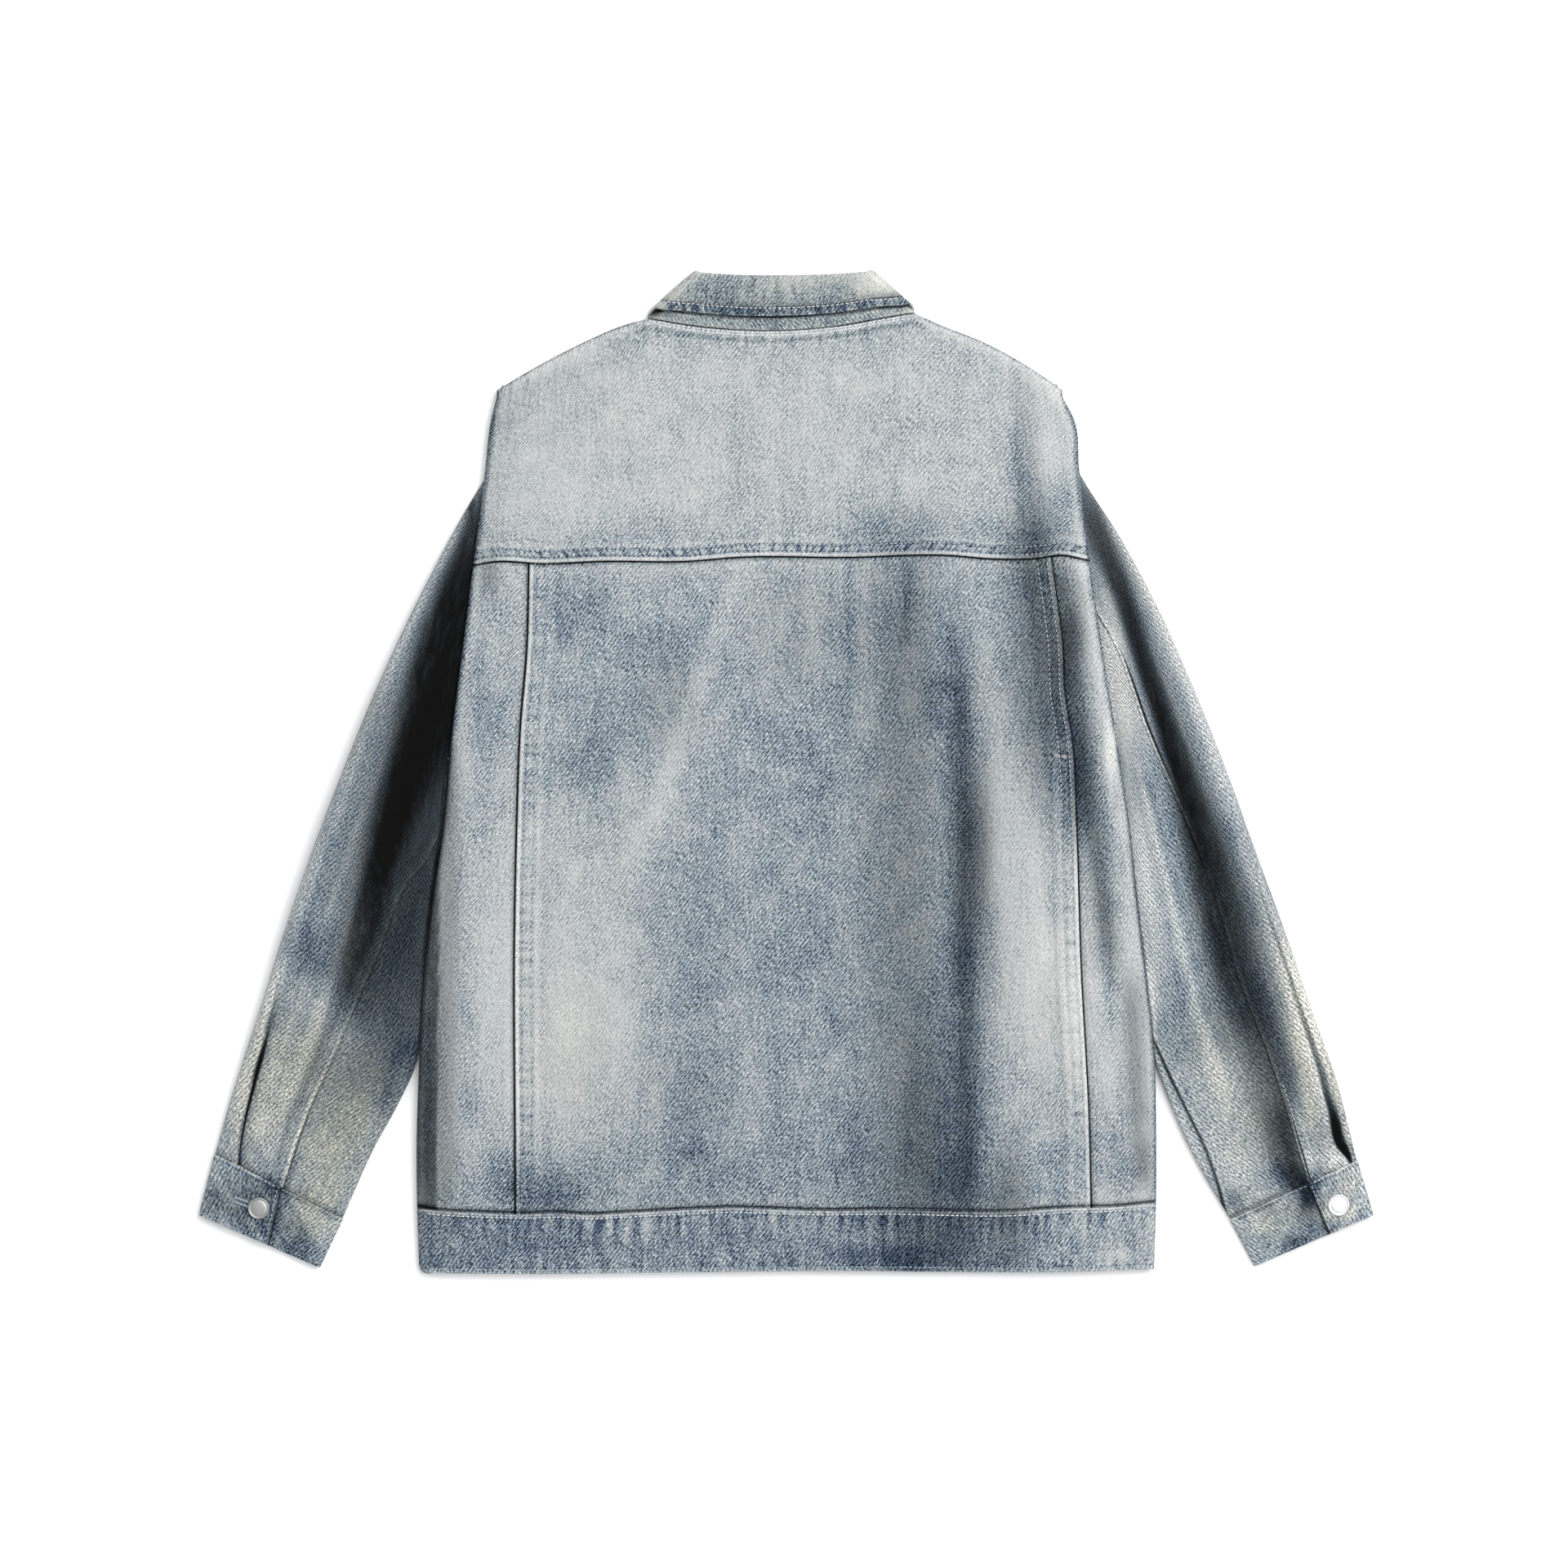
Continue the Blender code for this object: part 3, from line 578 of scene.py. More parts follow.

# ---------------- washing and painted shade

# Patches that washing left, and patches of painted shade and painted light. Columns: x, y, half
# width, half length, how much paler the cloth is there, lean in degrees to the right going up, how much
# darker and how much yellower. Paler is bleach, and in some rows painted light that lightens shadow;
# darker is dye kept, and in many rows painted shade in valleys, along edges and in corners.
# The last three are 0 where a row ends before them.
BODY_WASH_AND_SHADE = (
    (-19, 260, 201, 78, 0.2, 0, 0, 0.1), (-214, 266, 12, 67, -0.11, 4, 0.02),
    (85, 183, 43, 21, -0.14, 0, 0.02), (184, 211, 10, 67, -0.11, -2, 0.1),
    (207, 186, 24, 24, -0.11, 0, 0.02), (-153, 131, 27, 26, -0.19, 0, 0.02),
    (-105, 95, 37, 26, -0.13, 20, 0.01), (-129, 40, 35, 30, -0.15, 10, 0.01),
    (-147, 0, 22, 28, -0.17, 0, 0.02), (-56, 101, 30, 37, -0.06), (-72, 25, 24, 85, 0.1, 20),
    (17, 95, 38, 61, 0.03), (48, 107, 5, 55, -0.08, 0, 0.02), (90, 122, 24, 55, -0.14, 0, 0.02),
    (103, 52, 30, 27, -0.17, 0, 0.02), (18, -9, 92, 67, -0.08, 0, 0.01),
    (-6, -137, 104, 79, -0.1, 0, 0.02), (-74, -235, 37, 37, -0.08, 0, 0.05),
    (-159, -143, 44, 116, 0.2, 0, 0, 0.06), (-156, -216, 35, 55, 0.07, 0, 0, 0.15),
    (-13, -247, 55, 43, -0.02, 0, 0.02), (135, -113, 12, 183, -0.1, -1, 0.15),
    (116, -277, 32, 79, -0.1, -4, 0.15), (140, -338, 24, 37, -0.04, 0, 0.1),
    (184, -94, 34, 116, 0.17, -10), (198, -180, 35, 73, 0.12, -6, 0, 0.12),
    (164, 70, 15, 55, -0.13, -6, 0.01), (200, 107, 16, 67, -0.11, -4, 0.19),
    (214, 22, 11, 61, -0.14, -8, 0.08), (230, 89, 9, 67, 0.12, -8),
    (-221, 52, 20, 40, -0.13, 0, 0.01), (-227, -82, 21, 128, 0.11),
    (-202, -302, 17, 21, -0.17, 0, 0.02), (-170, -315, 21, 18, -0.25, 0, 0.05),
    (-19, -320, 183, 16, -0.08, 0, 0.01), (243, -289, 28, 38, -0.13, 0, 0.01),
    (-98, -350, 134, 15, -0.06, 0, 0.01), (116, -357, 37, 18, -0.04, 0, 0.09),
    (-269, -277, 10, 79, -0.11, 0, 0.2), (-263, -149, 8, 104, -0.11, 0, 0.18),
    (253, -143, 7, 104, 0.07, -8), (145, -55, 10, 60, 0, 0, 0.22), (190, 60, 22, 95, 0, -6, 0.26),
    (-85, -300, 150, 22, -0.1, 0, 0.02), (-183, 210, 35, 45, 0.1), (-210, -135, 16, 120, 0.1),
    (-122, -100, 14, 150, 0.07), (218, -165, 10, 100, 0.1, -2), (-40, 350, 260, 14, -0.05),
    (169, -325, 14, 50, 0, 0, 0.24), (147, -70, 26, 150, 0, 0, 0.1), (182, 165, 18, 36, 0, 0, 0.17),
    (216, 100, 8, 25, 0, 0, 0.18), (218, -20, 9, 40, 0, 0, 0.16), (10, 105, 35, 48, 0, 0, 0.09),
    (-87, 52, 22, 40, 0, 0, 0.1), (-221, 148, 9, 18, 0, 0, 0.2), (0, 270, 90, 60, -0.06),
    (-150, 204, 90, 16, 0.07), (-147, 296, 20, 16, 0.05), (110, 198, 60, 12, 0.06),
    (24, 255, 14, 60, 0.05), (195, 235, 14, 50, 0.12), (170, 285, 14, 20, 0.07),
    (-147, 137, 18, 20, 0.1), (-122, 115, 14, 30, 0.07), (-208, 75, 20, 40, 0.09),
    (-130, 30, 50, 12, 0.08), (24, 125, 10, 45, 0.08), (-25, 137, 12, 22, 0.07),
    (94, 100, 11, 85, 0.11), (119, 65, 10, 60, -0.09), (160, 85, 16, 45, 0.08),
    (194, 28, 12, 25, -0.1), (218, -25, 11, 28, -0.1), (243, -70, 11, 25, -0.12),
    (119, -230, 10, 110, -0.13), (145, -265, 8, 30, -0.08), (170, -200, 12, 80, -0.08),
    (218, -195, 9, 60, 0.08), (244, -215, 8, 40, 0.1), (244, -335, 18, 30, 0.2),
    (216, -338, 10, 18, 0.1), (60, -265, 26, 40, -0.1), (90, -362, 34, 14, -0.18),
    (0, -275, 14, 22, -0.07), (-212, -190, 22, 75, 0.09), (-208, -240, 20, 25, 0.06),
    (-110, -215, 16, 45, 0.08), (-25, -205, 12, 28, 0.09), (24, -168, 10, 14, 0.07),
    (-85, -35, 16, 40, 0.06), (-25, -50, 14, 35, 0.06), (-247, -45, 9, 75, -0.1),
    (-197, -326, 14, 18, -0.12), (-215, -362, 70, 12, -0.08), (-110, -338, 28, 14, 0.12),
    (5, -338, 20, 10, 0.08), (-85, -278, 30, 18, -0.08), (0, -262, 16, 38, -0.07),
    (60, -285, 60, 28, -0.07), (90, -364, 34, 10, -0.12), (172, -276, 28, 20, -0.1),
    (-228, -342, 30, 12, -0.07), (-268, -352, 8, 16, -0.2), (156, -118, 8, 30, -0.1),
    (119, 180, 20, 12, 0.1), (95, 58, 12, 20, 0.1), (168, 150, 12, 25, -0.08),
    (195, 150, 10, 25, -0.08), (130, 35, 24, 12, -0.07), (-25, 28, 14, 24, -0.08),
    (-160, -75, 20, 90, -0.05), (30, 60, 30, 70, -0.06), (46, 125, 9, 16, -0.06),
    (76, 240, 34, 28, -0.07), (-30, 240, 13, 55, -0.06), (176, 225, 9, 38, -0.08),
    (182, 138, 24, 20, -0.06), (212, 20, 12, 85, -0.09), (122, 100, 20, 15, -0.09),
    (134, 15, 16, 18, -0.07), (-72, 51, 12, 20, -0.06), (98, -180, 34, 22, -0.11),
    (20, -205, 30, 22, -0.06), (125, -284, 20, 26, -0.1), (192, -292, 16, 12, -0.11),
    (190, -314, 45, 7, -0.07), (-72, -280, 36, 14, -0.07), (-170, -348, 40, 16, -0.08),
    (-75, -364, 16, 6, -0.09), (47, -365, 16, 8, -0.12), (169, -360, 16, 9, -0.09),
    (255, -364, 14, 8, 0.12), (-230, 205, 6, 18, 0.12), (220, 188, 6, 36, 0.09),
    (-123, 322, 28, 7, -0.1), (-272, -270, 4, 45, 0.14), (-255, -225, 4, 48, -0.12),
    (-238, -50, 14, 45, -0.06), (230, -165, 6, 90, 0.07), (243, -160, 4, 24, -0.14),
    (22, 88, 9, 26, 0.08), (23, -192, 10, 12, 0.1), (168, 50, 9, 16, 0.09),
    (-184, -46, 26, 18, 0.1), (96, -334, 32, 14, -0.13), (228, -15, 20, 62, -0.08, -14),
    (-197, -314, 14, 10, -0.09), (240, -310, 34, 10, 0.09), (246, -362, 18, 8, 0.1),
    (205, 262, 22, 28, 0.07), (-226, 240, 7, 50, 0.09), (-259, -360, 9, 10, -0.16),
    (243, 15, 4, 24, 0.1), (219, 149, 9, 14, 0.08), (243, 15, 6, 24, 0.17),
    (194, 39, 10, 18, -0.07), (222, -339, 8, 12, 0.08), (194, -339, 9, 10, -0.07),
    (97, 51, 9, 14, 0.08), (72, -95, 10, 14, 0.08), (23, -95, 12, 14, -0.07),
    (-185, -241, 18, 12, 0.08), (-112, -314, 18, 12, 0.08), (23, -314, 12, 10, 0.08),
    (-100, 149, 12, 12, 0.07), (-174, 173, 12, 12, 0.07), (47, 295, 14, 12, 0.07),
    (240, -119, 5, 55, -0.07), (-270, -241, 5, 10, 0.09), (-270, -314, 5, 11, 0.1),
    (-270, -217, 5, 8, -0.08), (-270, -290, 5, 9, -0.08), (266, -314, 5, 10, 0.09),
    (243, -241, 6, 14, 0.08), (267, -266, 5, 12, 0.19), (267, -241, 5, 10, 0.08),
    (267, -314, 5, 12, 0.15), (-125, -339, 40, 8, 0.07), (22, -339, 14, 8, 0.07),
    (42, -362, 18, 9, -0.12), (50, -270, 16, 60, -0.05), (207, -338, 10, 8, 0.07),
    (238, -363, 14, 8, 0.07), (146, 28, 12, 16, -0.06), (-270, -316, 6, 10, 0.13),
    (-222, -20, 14, 50, -0.06), (-196, -170, 10, 24, -0.05),
)
LEFT_SLEEVE_WASH_AND_SHADE = (
    (-304, -137, 27, 43, -0.05, 18, 0, 0.1), (-324, 52, 21, 73, 0.03, 26, 0.12),
    (-359, -33, 12, 67, 0.06, 22, 0.06), (-351, -134, 21, 24, -0.27, 20, 0.1),
    (-324, -174, 18, 24, -0.1, 20, 0, 0.2), (-382, -228, 34, 67, 0.16, 18, 0, 0.55),
    (-348, -210, 13, 37, 0.18, 18, 0, 0.15), (-327, -259, 34, 55, 0.13, 22, 0.05, 0.75),
    (-278, -222, 13, 37, -0.05, 20), (-294, -289, 12, 37, 0, 28, 0.2, 0.3),
    (-403, -320, 24, 18, -0.07, 0, 0.05, 0.3), (-363, -344, 11, 13, -0.23, 0, 0.08),
    (-426, -320, 9, 13, -0.18, 0, 0.15), (-348, -320, 21, 16, 0.11, 0, 0, 0.5),
    (-379, -309, 9, 7, -0.14, 0, 0.2), (-330, -218, 48, 30, 0, 18, 0.18),
    (-294, -128, 10, 30, -0.1, 14), (-320, -125, 12, 34, 0.12, 14), (-342, -143, 10, 20, 0.1, 14),
    (-294, -228, 10, 25, -0.12, 14, 0, 0.1), (-355, -241, 20, 20, -0.08, 14),
    (-392, -328, 20, 20, -0.14, 0, 0, 0.3), (-358, -340, 18, 14, 0.3, 0, 0, 0.5),
    (-345, -290, 20, 24, 0.06, 14, 0, 0.1), (-282, -120, 14, 85, -0.1, 8, 0.02),
    (-273, -214, 9, 22, -0.2, 14, 0.05), (-294, -240, 10, 18, -0.12, 14),
    (-394, -330, 20, 20, -0.12), (-366, -364, 16, 12, -0.3, 0, 0.05), (-398, -300, 10, 14, 0.1, 14),
    (-392, -205, 6, 40, 0.15, 14), (-294, 15, 10, 28, -0.08, 20), (-336, -52, 20, 12, -0.08),
    (-356, -104, 8, 16, -0.12, 14), (-318, -118, 8, 46, 0.16, 16), (-344, -222, 9, 24, -0.09, 14),
    (-284, -205, 9, 14, -0.13, 14), (-356, -254, 9, 16, -0.11, 14), (-294, -238, 12, 12, -0.08),
    (-394, -300, 22, 12, -0.13, 20), (-376, -342, 28, 17, -0.16), (-268, 10, 14, 90, 0, 24, 0.14),
    (-330, -8, 7, 60, -0.08, 24), (-346, -75, 6, 30, -0.1, 16), (-317, -120, 7, 40, 0.14, 16),
    (-376, -180, 5, 22, -0.1, 14), (-284, -210, 8, 16, -0.12, 14), (-368, -290, 12, 12, -0.12),
    (-392, -316, 12, 10, -0.09), (-425, -320, 14, 10, 0.1), (-392, -258, 7, 14, 0.1, 14),
    (-396, -212, 6, 24, -0.1, 14), (-414, -260, 6, 22, -0.12, 14), (-390, -264, 7, 10, 0.11, 14),
    (-318, -119, 8, 14, 0.08, 16), (-393, -205, 6, 26, -0.1, 14), (-340, -266, 14, 14, -0.08, 14),
)
RIGHT_SLEEVE_WASH_AND_SHADE = (
    (235, 186, 9, 37, 0.06, -16), (324, -94, 21, 43, -0.05, -17), (346, -164, 21, 43, -0.15, -17),
    (247, 113, 8, 37, 0.15, -14, 0, 0.1), (265, 28, 12, 43, 0.11, -14),
    (261, 0, 13, 30, -0.16, -10), (286, -88, 21, 55, 0.04, -16),
    (292, -186, 18, 43, -0.16, -16, 0.04), (268, 150, 13, 55, 0.12, -28, 0.08, 0.15),
    (306, 70, 16, 61, 0.1, -24, 0.04), (347, -33, 12, 67, -0.02, -20, 0.06),
    (366, -106, 12, 37, -0.14, -18, 0.05), (387, -174, 16, 49, 0.22, -20, 0, 0.4),
    (390, -241, 9, 55, 0.12, -16, 0.08, 0.5), (414, -235, 6, 43, 0.09, -18, 0.12, 0.5),
    (323, -216, 32, 49, 0.19, -16, 0, 0.25), (353, -271, 30, 37, 0.13, -16, 0, 0.42),
    (377, -277, 6, 43, -0.14, -16, 0.16, 0.1), (384, -302, 18, 10, -0.18, 20, 0.12),
    (336, -320, 10, 9, -0.14, 0, 0.16), (366, -332, 27, 18, 0.1, 0, 0, 0.5),
    (384, -353, 11, 7, -0.36, 0, 0.16), (358, -325, 9, 7, -0.14, 0, 0.08),
    (396, -320, 7, 13, -0.23, -16, 0.2), (416, -323, 12, 15, 0.18, 0, 0, 0.3),
    (402, -338, 15, 6, -0.18, 0, 0.04), (325, -195, 30, 30, 0, -16, 0.1),
    (389, -324, 9, 14, 0, -16, 0.22), (412, -262, 5, 22, 0, -20, 0.3),
    (247, 62, 12, 70, 0.24, -12, 0, 0.1), (270, -80, 9, 105, 0.2, -10, 0, 0.05),
    (300, -95, 16, 60, 0.06, -16), (366, -130, 12, 60, 0.12, -18, 0, 0.1),
    (391, -215, 8, 36, 0.36, -18, 0, 0.1), (293, -265, 8, 30, 0.14, -20), (340, -312, 16, 20, 0.12),
    (341, -255, 8, 28, -0.07, -16), (402, -326, 14, 14, 0.3, 0, 0, 0.1),
    (423, -306, 10, 12, 0.16, 0, 0, 0.2), (266, -150, 10, 40, 0.14, -8),
    (248, 60, 12, 70, 0.08, -12), (267, -60, 8, 60, 0.08, -10), (390, -316, 6, 12, -0.3, 0, 0.15),
    (330, -292, 10, 16, 0.12), (352, -330, 10, 12, 0.12), (262, 115, 9, 20, -0.11, -20),
    (267, -166, 5, 16, 0.2), (289, -35, 8, 60, -0.07, -14), (316, -220, 10, 16, 0.1, -14),
    (268, -268, 9, 14, 0.12), (366, -245, 8, 16, 0.1, -14), (379, -228, 5, 20, -0.1, -14),
    (411, -270, 5, 14, 0.14, -20), (414, -290, 7, 8, 0.34), (378, -308, 24, 14, -0.1),
    (388, -342, 12, 12, -0.12), (267, 100, 8, 22, -0.09, -20), (341, -46, 7, 28, -0.1, -20),
    (314, -46, 6, 22, 0.07, -20), (266, -150, 5, 34, 0.16, -6), (316, -288, 10, 14, 0.1),
    (391, -245, 6, 18, 0.11, -14), (411, -286, 9, 14, 0.2), (388, -292, 9, 9, 0.16),
    (364, -314, 10, 8, 0.1), (413, -316, 10, 8, -0.12), (268, -266, 7, 12, 0.1),
    (365, -241, 9, 12, 0.08, -14), (272, -168, 8, 24, 0.37), (417, -266, 6, 9, 0.2, -18),
    (389, -290, 9, 9, 0.16), (364, -292, 9, 14, -0.13, -14), (388, -220, 6, 14, -0.08, -14),
)
COLLAR_WASH_AND_SHADE = (
    (-49, 360, 21, 12, -0.15, 0, 0.03), (45, 357, 27, 11, -0.17, 0, 0.03), (0, 366, 24, 6, 0.13),
    (-89, 343, 9, 5, -0.05, 0, 0.24), (85, 353, 13, 7, -0.15, 0, 0.03), (-80, 350, 10, 5, 0.12),
    (-22, 352, 46, 16, -0.12, 0, 0, 0.1), (62, 364, 16, 8, 0.1), (66, 366, 14, 8, 0.1),
    (0, 334, 90, 4, -0.06), (-20, 370, 30, 8, -0.12), (-28, 346, 26, 6, -0.08),
    (64, 355, 18, 8, 0.1), (60, 336, 24, 3.5, -0.2), (70, 360, 28, 12, 0.07),
    (-98, 346, 8, 8, 0.46), (75, 337, 20, 3.5, -0.08), (94, 344, 8, 8, 0.1),
)


# Long streaks of painted shade along fold valleys and turned sides. Columns: x, y of one end, x, y of
# the other, how dark, width on the left and right
BODY_SHADE_STREAKS = (
    (92, 158, 98, -375, 0.22, 40, 26), (218, 62, 243, -143, 0.3, 8, 9),
    (258, -155, 268, -310, 0.24, 7, 8), (208, 150, 216, 60, 0.22, 9, 12),
    (-248, 30, -252, -340, 0.22, 12, 8),
)
LEFT_SLEEVE_SHADE_STREAKS = ((-294, 62, -343, -104, 0.16, 12, 12),)
# Painted shade in the valley beside each sleeve's roll. Columns: y, x of its bottom, how dark it is
# there, its width towards the roll and towards the body, and how dark the cloth stays on the body's side
LEFT_VALLEY_SHADE = (
    (-250, -300, 0, 23, 20, 0), (-216, -292, 0.15, 23, 20, 0.3),
    (-155, -313.8, 0.56, 23, 12, 0.48), (-94, -304.1, 0.67, 22, 12, 0.56),
    (-33, -293.1, 0.82, 18, 20, 0.56), (28, -277.2, 0.88, 17, 24, 0.7),
    (89, -261.4, 0.9, 17, 24, 0.78), (137, -245.5, 0.88, 15, 20, 0.85),
    (186, -232, 0.6, 9, 20, 0.6), (220, -226, 0.2, 9, 20, 0.2),
)
RIGHT_VALLEY_SHADE = (
    (-340, 396, 0.1, 12, 14, 0), (-308, 385, 0.35, 9, 14, 0),
    (-277, 371.8, 0.48, 12, 15, 0), (-216, 365.7, 0.45, 13, 26, 0),
    (-155, 335.2, 0.6, 27, 17, 0), (-94, 320, 0.7, 26, 16, 0), (-33, 304.7, 0.76, 18, 13, 0),
    (28, 286.4, 0.73, 12, 9, 0), (89, 266.3, 0.7, 9, 8, 0), (137, 250.4, 0.65, 9, 8, 0),
    (186, 232.7, 0.5, 9, 12, 0), (220, 226, 0.2, 9, 12, 0),
)


@dataclass(frozen=True)
class Wash:
    """How pale, dark and yellowed the cloth is from washing and painted shade: a base, patches, streaks
    and a sleeve's valley.
    """

    patches: Rows
    pale: float = 0.56
    rub: float = 0.24
    yellow: float = 0.0
    # Streaks of painted shade, as rows of folds, with how dark they are in place of the rise
    streaks: Rows = ()
    # Painted shade in a sleeve's valley, as rows of its table
    valley: Rows = ()

    def valley_shade(self, x: Array, y: Array) -> Array:
        """How dark the painted shade in the valley beside a sleeve's roll leaves the cloth.

        Args:
            x: places across.
            y: places up.

        Returns:
            The shade.
        """
        if not self.valley:
            return np.zeros(x.shape)
        bottom, depth, outer, inner, inside = columns_at(self.valley, y)
        hand = np.sign(bottom)
        outwards = hand * (x - bottom)
        towards_roll = depth * np.exp(-(np.abs(outwards / outer) ** 3))
        towards_body = inside + (depth - inside) * np.exp(-(np.abs(outwards / inner) ** 3))
        return np.where(outwards > 0, towards_roll, towards_body)

    def at(self, x: Array, y: Array, proud: Array, rub_and_highlight: Array | float, dye_and_shade: Array | float) -> Array:
        """Works out the washing and painted shade at points of a piece.

        Each patch is a flat-topped bell round its middle, measured along its own lean. Streaks and a
        sleeve's valley add painted shade to the dark share. Cloth that stands proud of what is round it
        is worn paler, and cloth that dips keeps its dye.

        Args:
            x: places across.
            y: places up.
            proud: height over the smoothed surface.
            rub_and_highlight: how much paler seams and folds are there, from wear and from painted
                highlights.
            dye_and_shade: how much darker seams and folds are there, from dye kept and from painted
                shade.

        Returns:
            The pale, dark and yellow shares, and 1, which the layer's fourth number has to be.
        """
        levels = np.stack([np.full(x.shape, level) for level in (self.pale, 0.0, self.yellow)])
        for patch in self.patches:
            middle_x, middle_y, half_width, half_length, paler, lean, *others = (*patch, 0, 0, 0)[:8]
            sine, cosine = math.sin(math.radians(lean)), math.cos(math.radians(lean))
            aside = ((x - middle_x) * cosine - (y - middle_y) * sine) / half_width
            along = ((x - middle_x) * sine + (y - middle_y) * cosine) / half_length
            share = np.exp(-((aside**2 + along**2) ** 1.3))
            levels += np.array([paler, *others])[:, None, None] * share
        levels[1] += fold_rise(x, y, self.streaks) + self.valley_shade(x, y)
        worn = np.clip(proud, -MOST_PROUD, MOST_PROUD)
        levels[0] += self.rub * worn + rub_and_highlight
        levels[1] += 0.3 * np.maximum(-worn - 0.15, 0)
        levels[1] = np.maximum(levels[1], dye_and_shade)
        return np.clip(np.stack([*levels, np.ones(x.shape)], axis=-1), 0, 1.2)


PANEL_WASH_AND_SHADE = Wash(BODY_WASH_AND_SHADE, streaks=BODY_SHADE_STREAKS)


# ---------------- making pieces


def smoothed(values: Array, times: int) -> Array:
    """A grid of values averaged with its four neighbours, again and again."""
    for _ in range(times):
        padded = np.pad(values, 1, mode="edge")
        around = padded[:-2, 1:-1] + padded[2:, 1:-1] + padded[1:-1, :-2] + padded[1:-1, 2:]
        values = (values + around) / 5
    return values


def with_rolled_edge(points: Array, edge: Edge, radius: float, tuck: float) -> Array:
    """Turns an edge of a grid under itself, as a folded seam edge is.

    The added rows follow a half circle outwards and down, then run back beneath the piece.

    Args:
        points: grid of points, rows by columns by 3.
        edge: which edge.
        radius: radius of the turn.
        tuck: how far the cloth runs back.

    Returns:
        The longer grid.
    """
    axis, last = edge.value
    grid = points if axis == 0 else points.swapaxes(0, 1)
    grid = grid[::-1] if last else grid
    first = grid[0]
    outward = unit(first - grid[1])
    down = unit(np.cross(np.gradient(first, axis=0), outward))
    down = down * np.where(down[:, 2:] > 0, -1.0, 1.0)
    angles = np.radians([180.0, 180.0, 120.0, 60.0])[:, None, None]
    backs = np.array([tuck, 0.0, 0.0, 0.0])[:, None, None]
    turn = first + outward * (radius * np.sin(angles) - backs) + down * radius * (1 - np.cos(angles))
    grid = np.concatenate([turn, grid])
    grid = grid[::-1] if last else grid
    return grid if axis == 0 else grid.swapaxes(0, 1)


def grid_faces(rows: int, columns: int, closed: bool = False) -> Array:
    """Four-sided faces over a grid of points.

    Args:
        rows: number of rows.
        columns: number of points in a row.
        closed: the last column joins the first.

    Returns:
        The numbers of each face's points, faces by 4.
    """
    index = np.arange(rows * columns).reshape(rows, columns)
    index = np.concatenate([index, index[:, :1]], axis=1) if closed else index
    corners = (index[:-1, :-1], index[:-1, 1:], index[1:, 1:], index[1:, :-1])
    return np.stack(corners, axis=-1).reshape(-1, 4)


def solid_mesh(name: str, points: Array, faces: Array, material: bpy.types.Material) -> bpy.types.Object:
    """A smooth mesh object from points in the garment's millimetres.

    Args:
        name: name of the piece.
        points: n by 3 array.
        faces: m by 4 array of indices.
        material: its finish.

    Returns:
        The object, at the origin, in the frame's metres.
    """
    mesh = bpy.data.meshes.new(name)
    placed = (points - (*MIDDLE, 0)) * MM
    mesh.from_pydata(placed.tolist(), [], faces.tolist())
    mesh.polygons.foreach_set("use_smooth", np.ones(len(faces), bool))
    mesh.materials.append(material)
    mesh.update()
    piece = bpy.data.objects.new(name, mesh)
    bpy.context.scene.collection.objects.link(piece)
    return piece


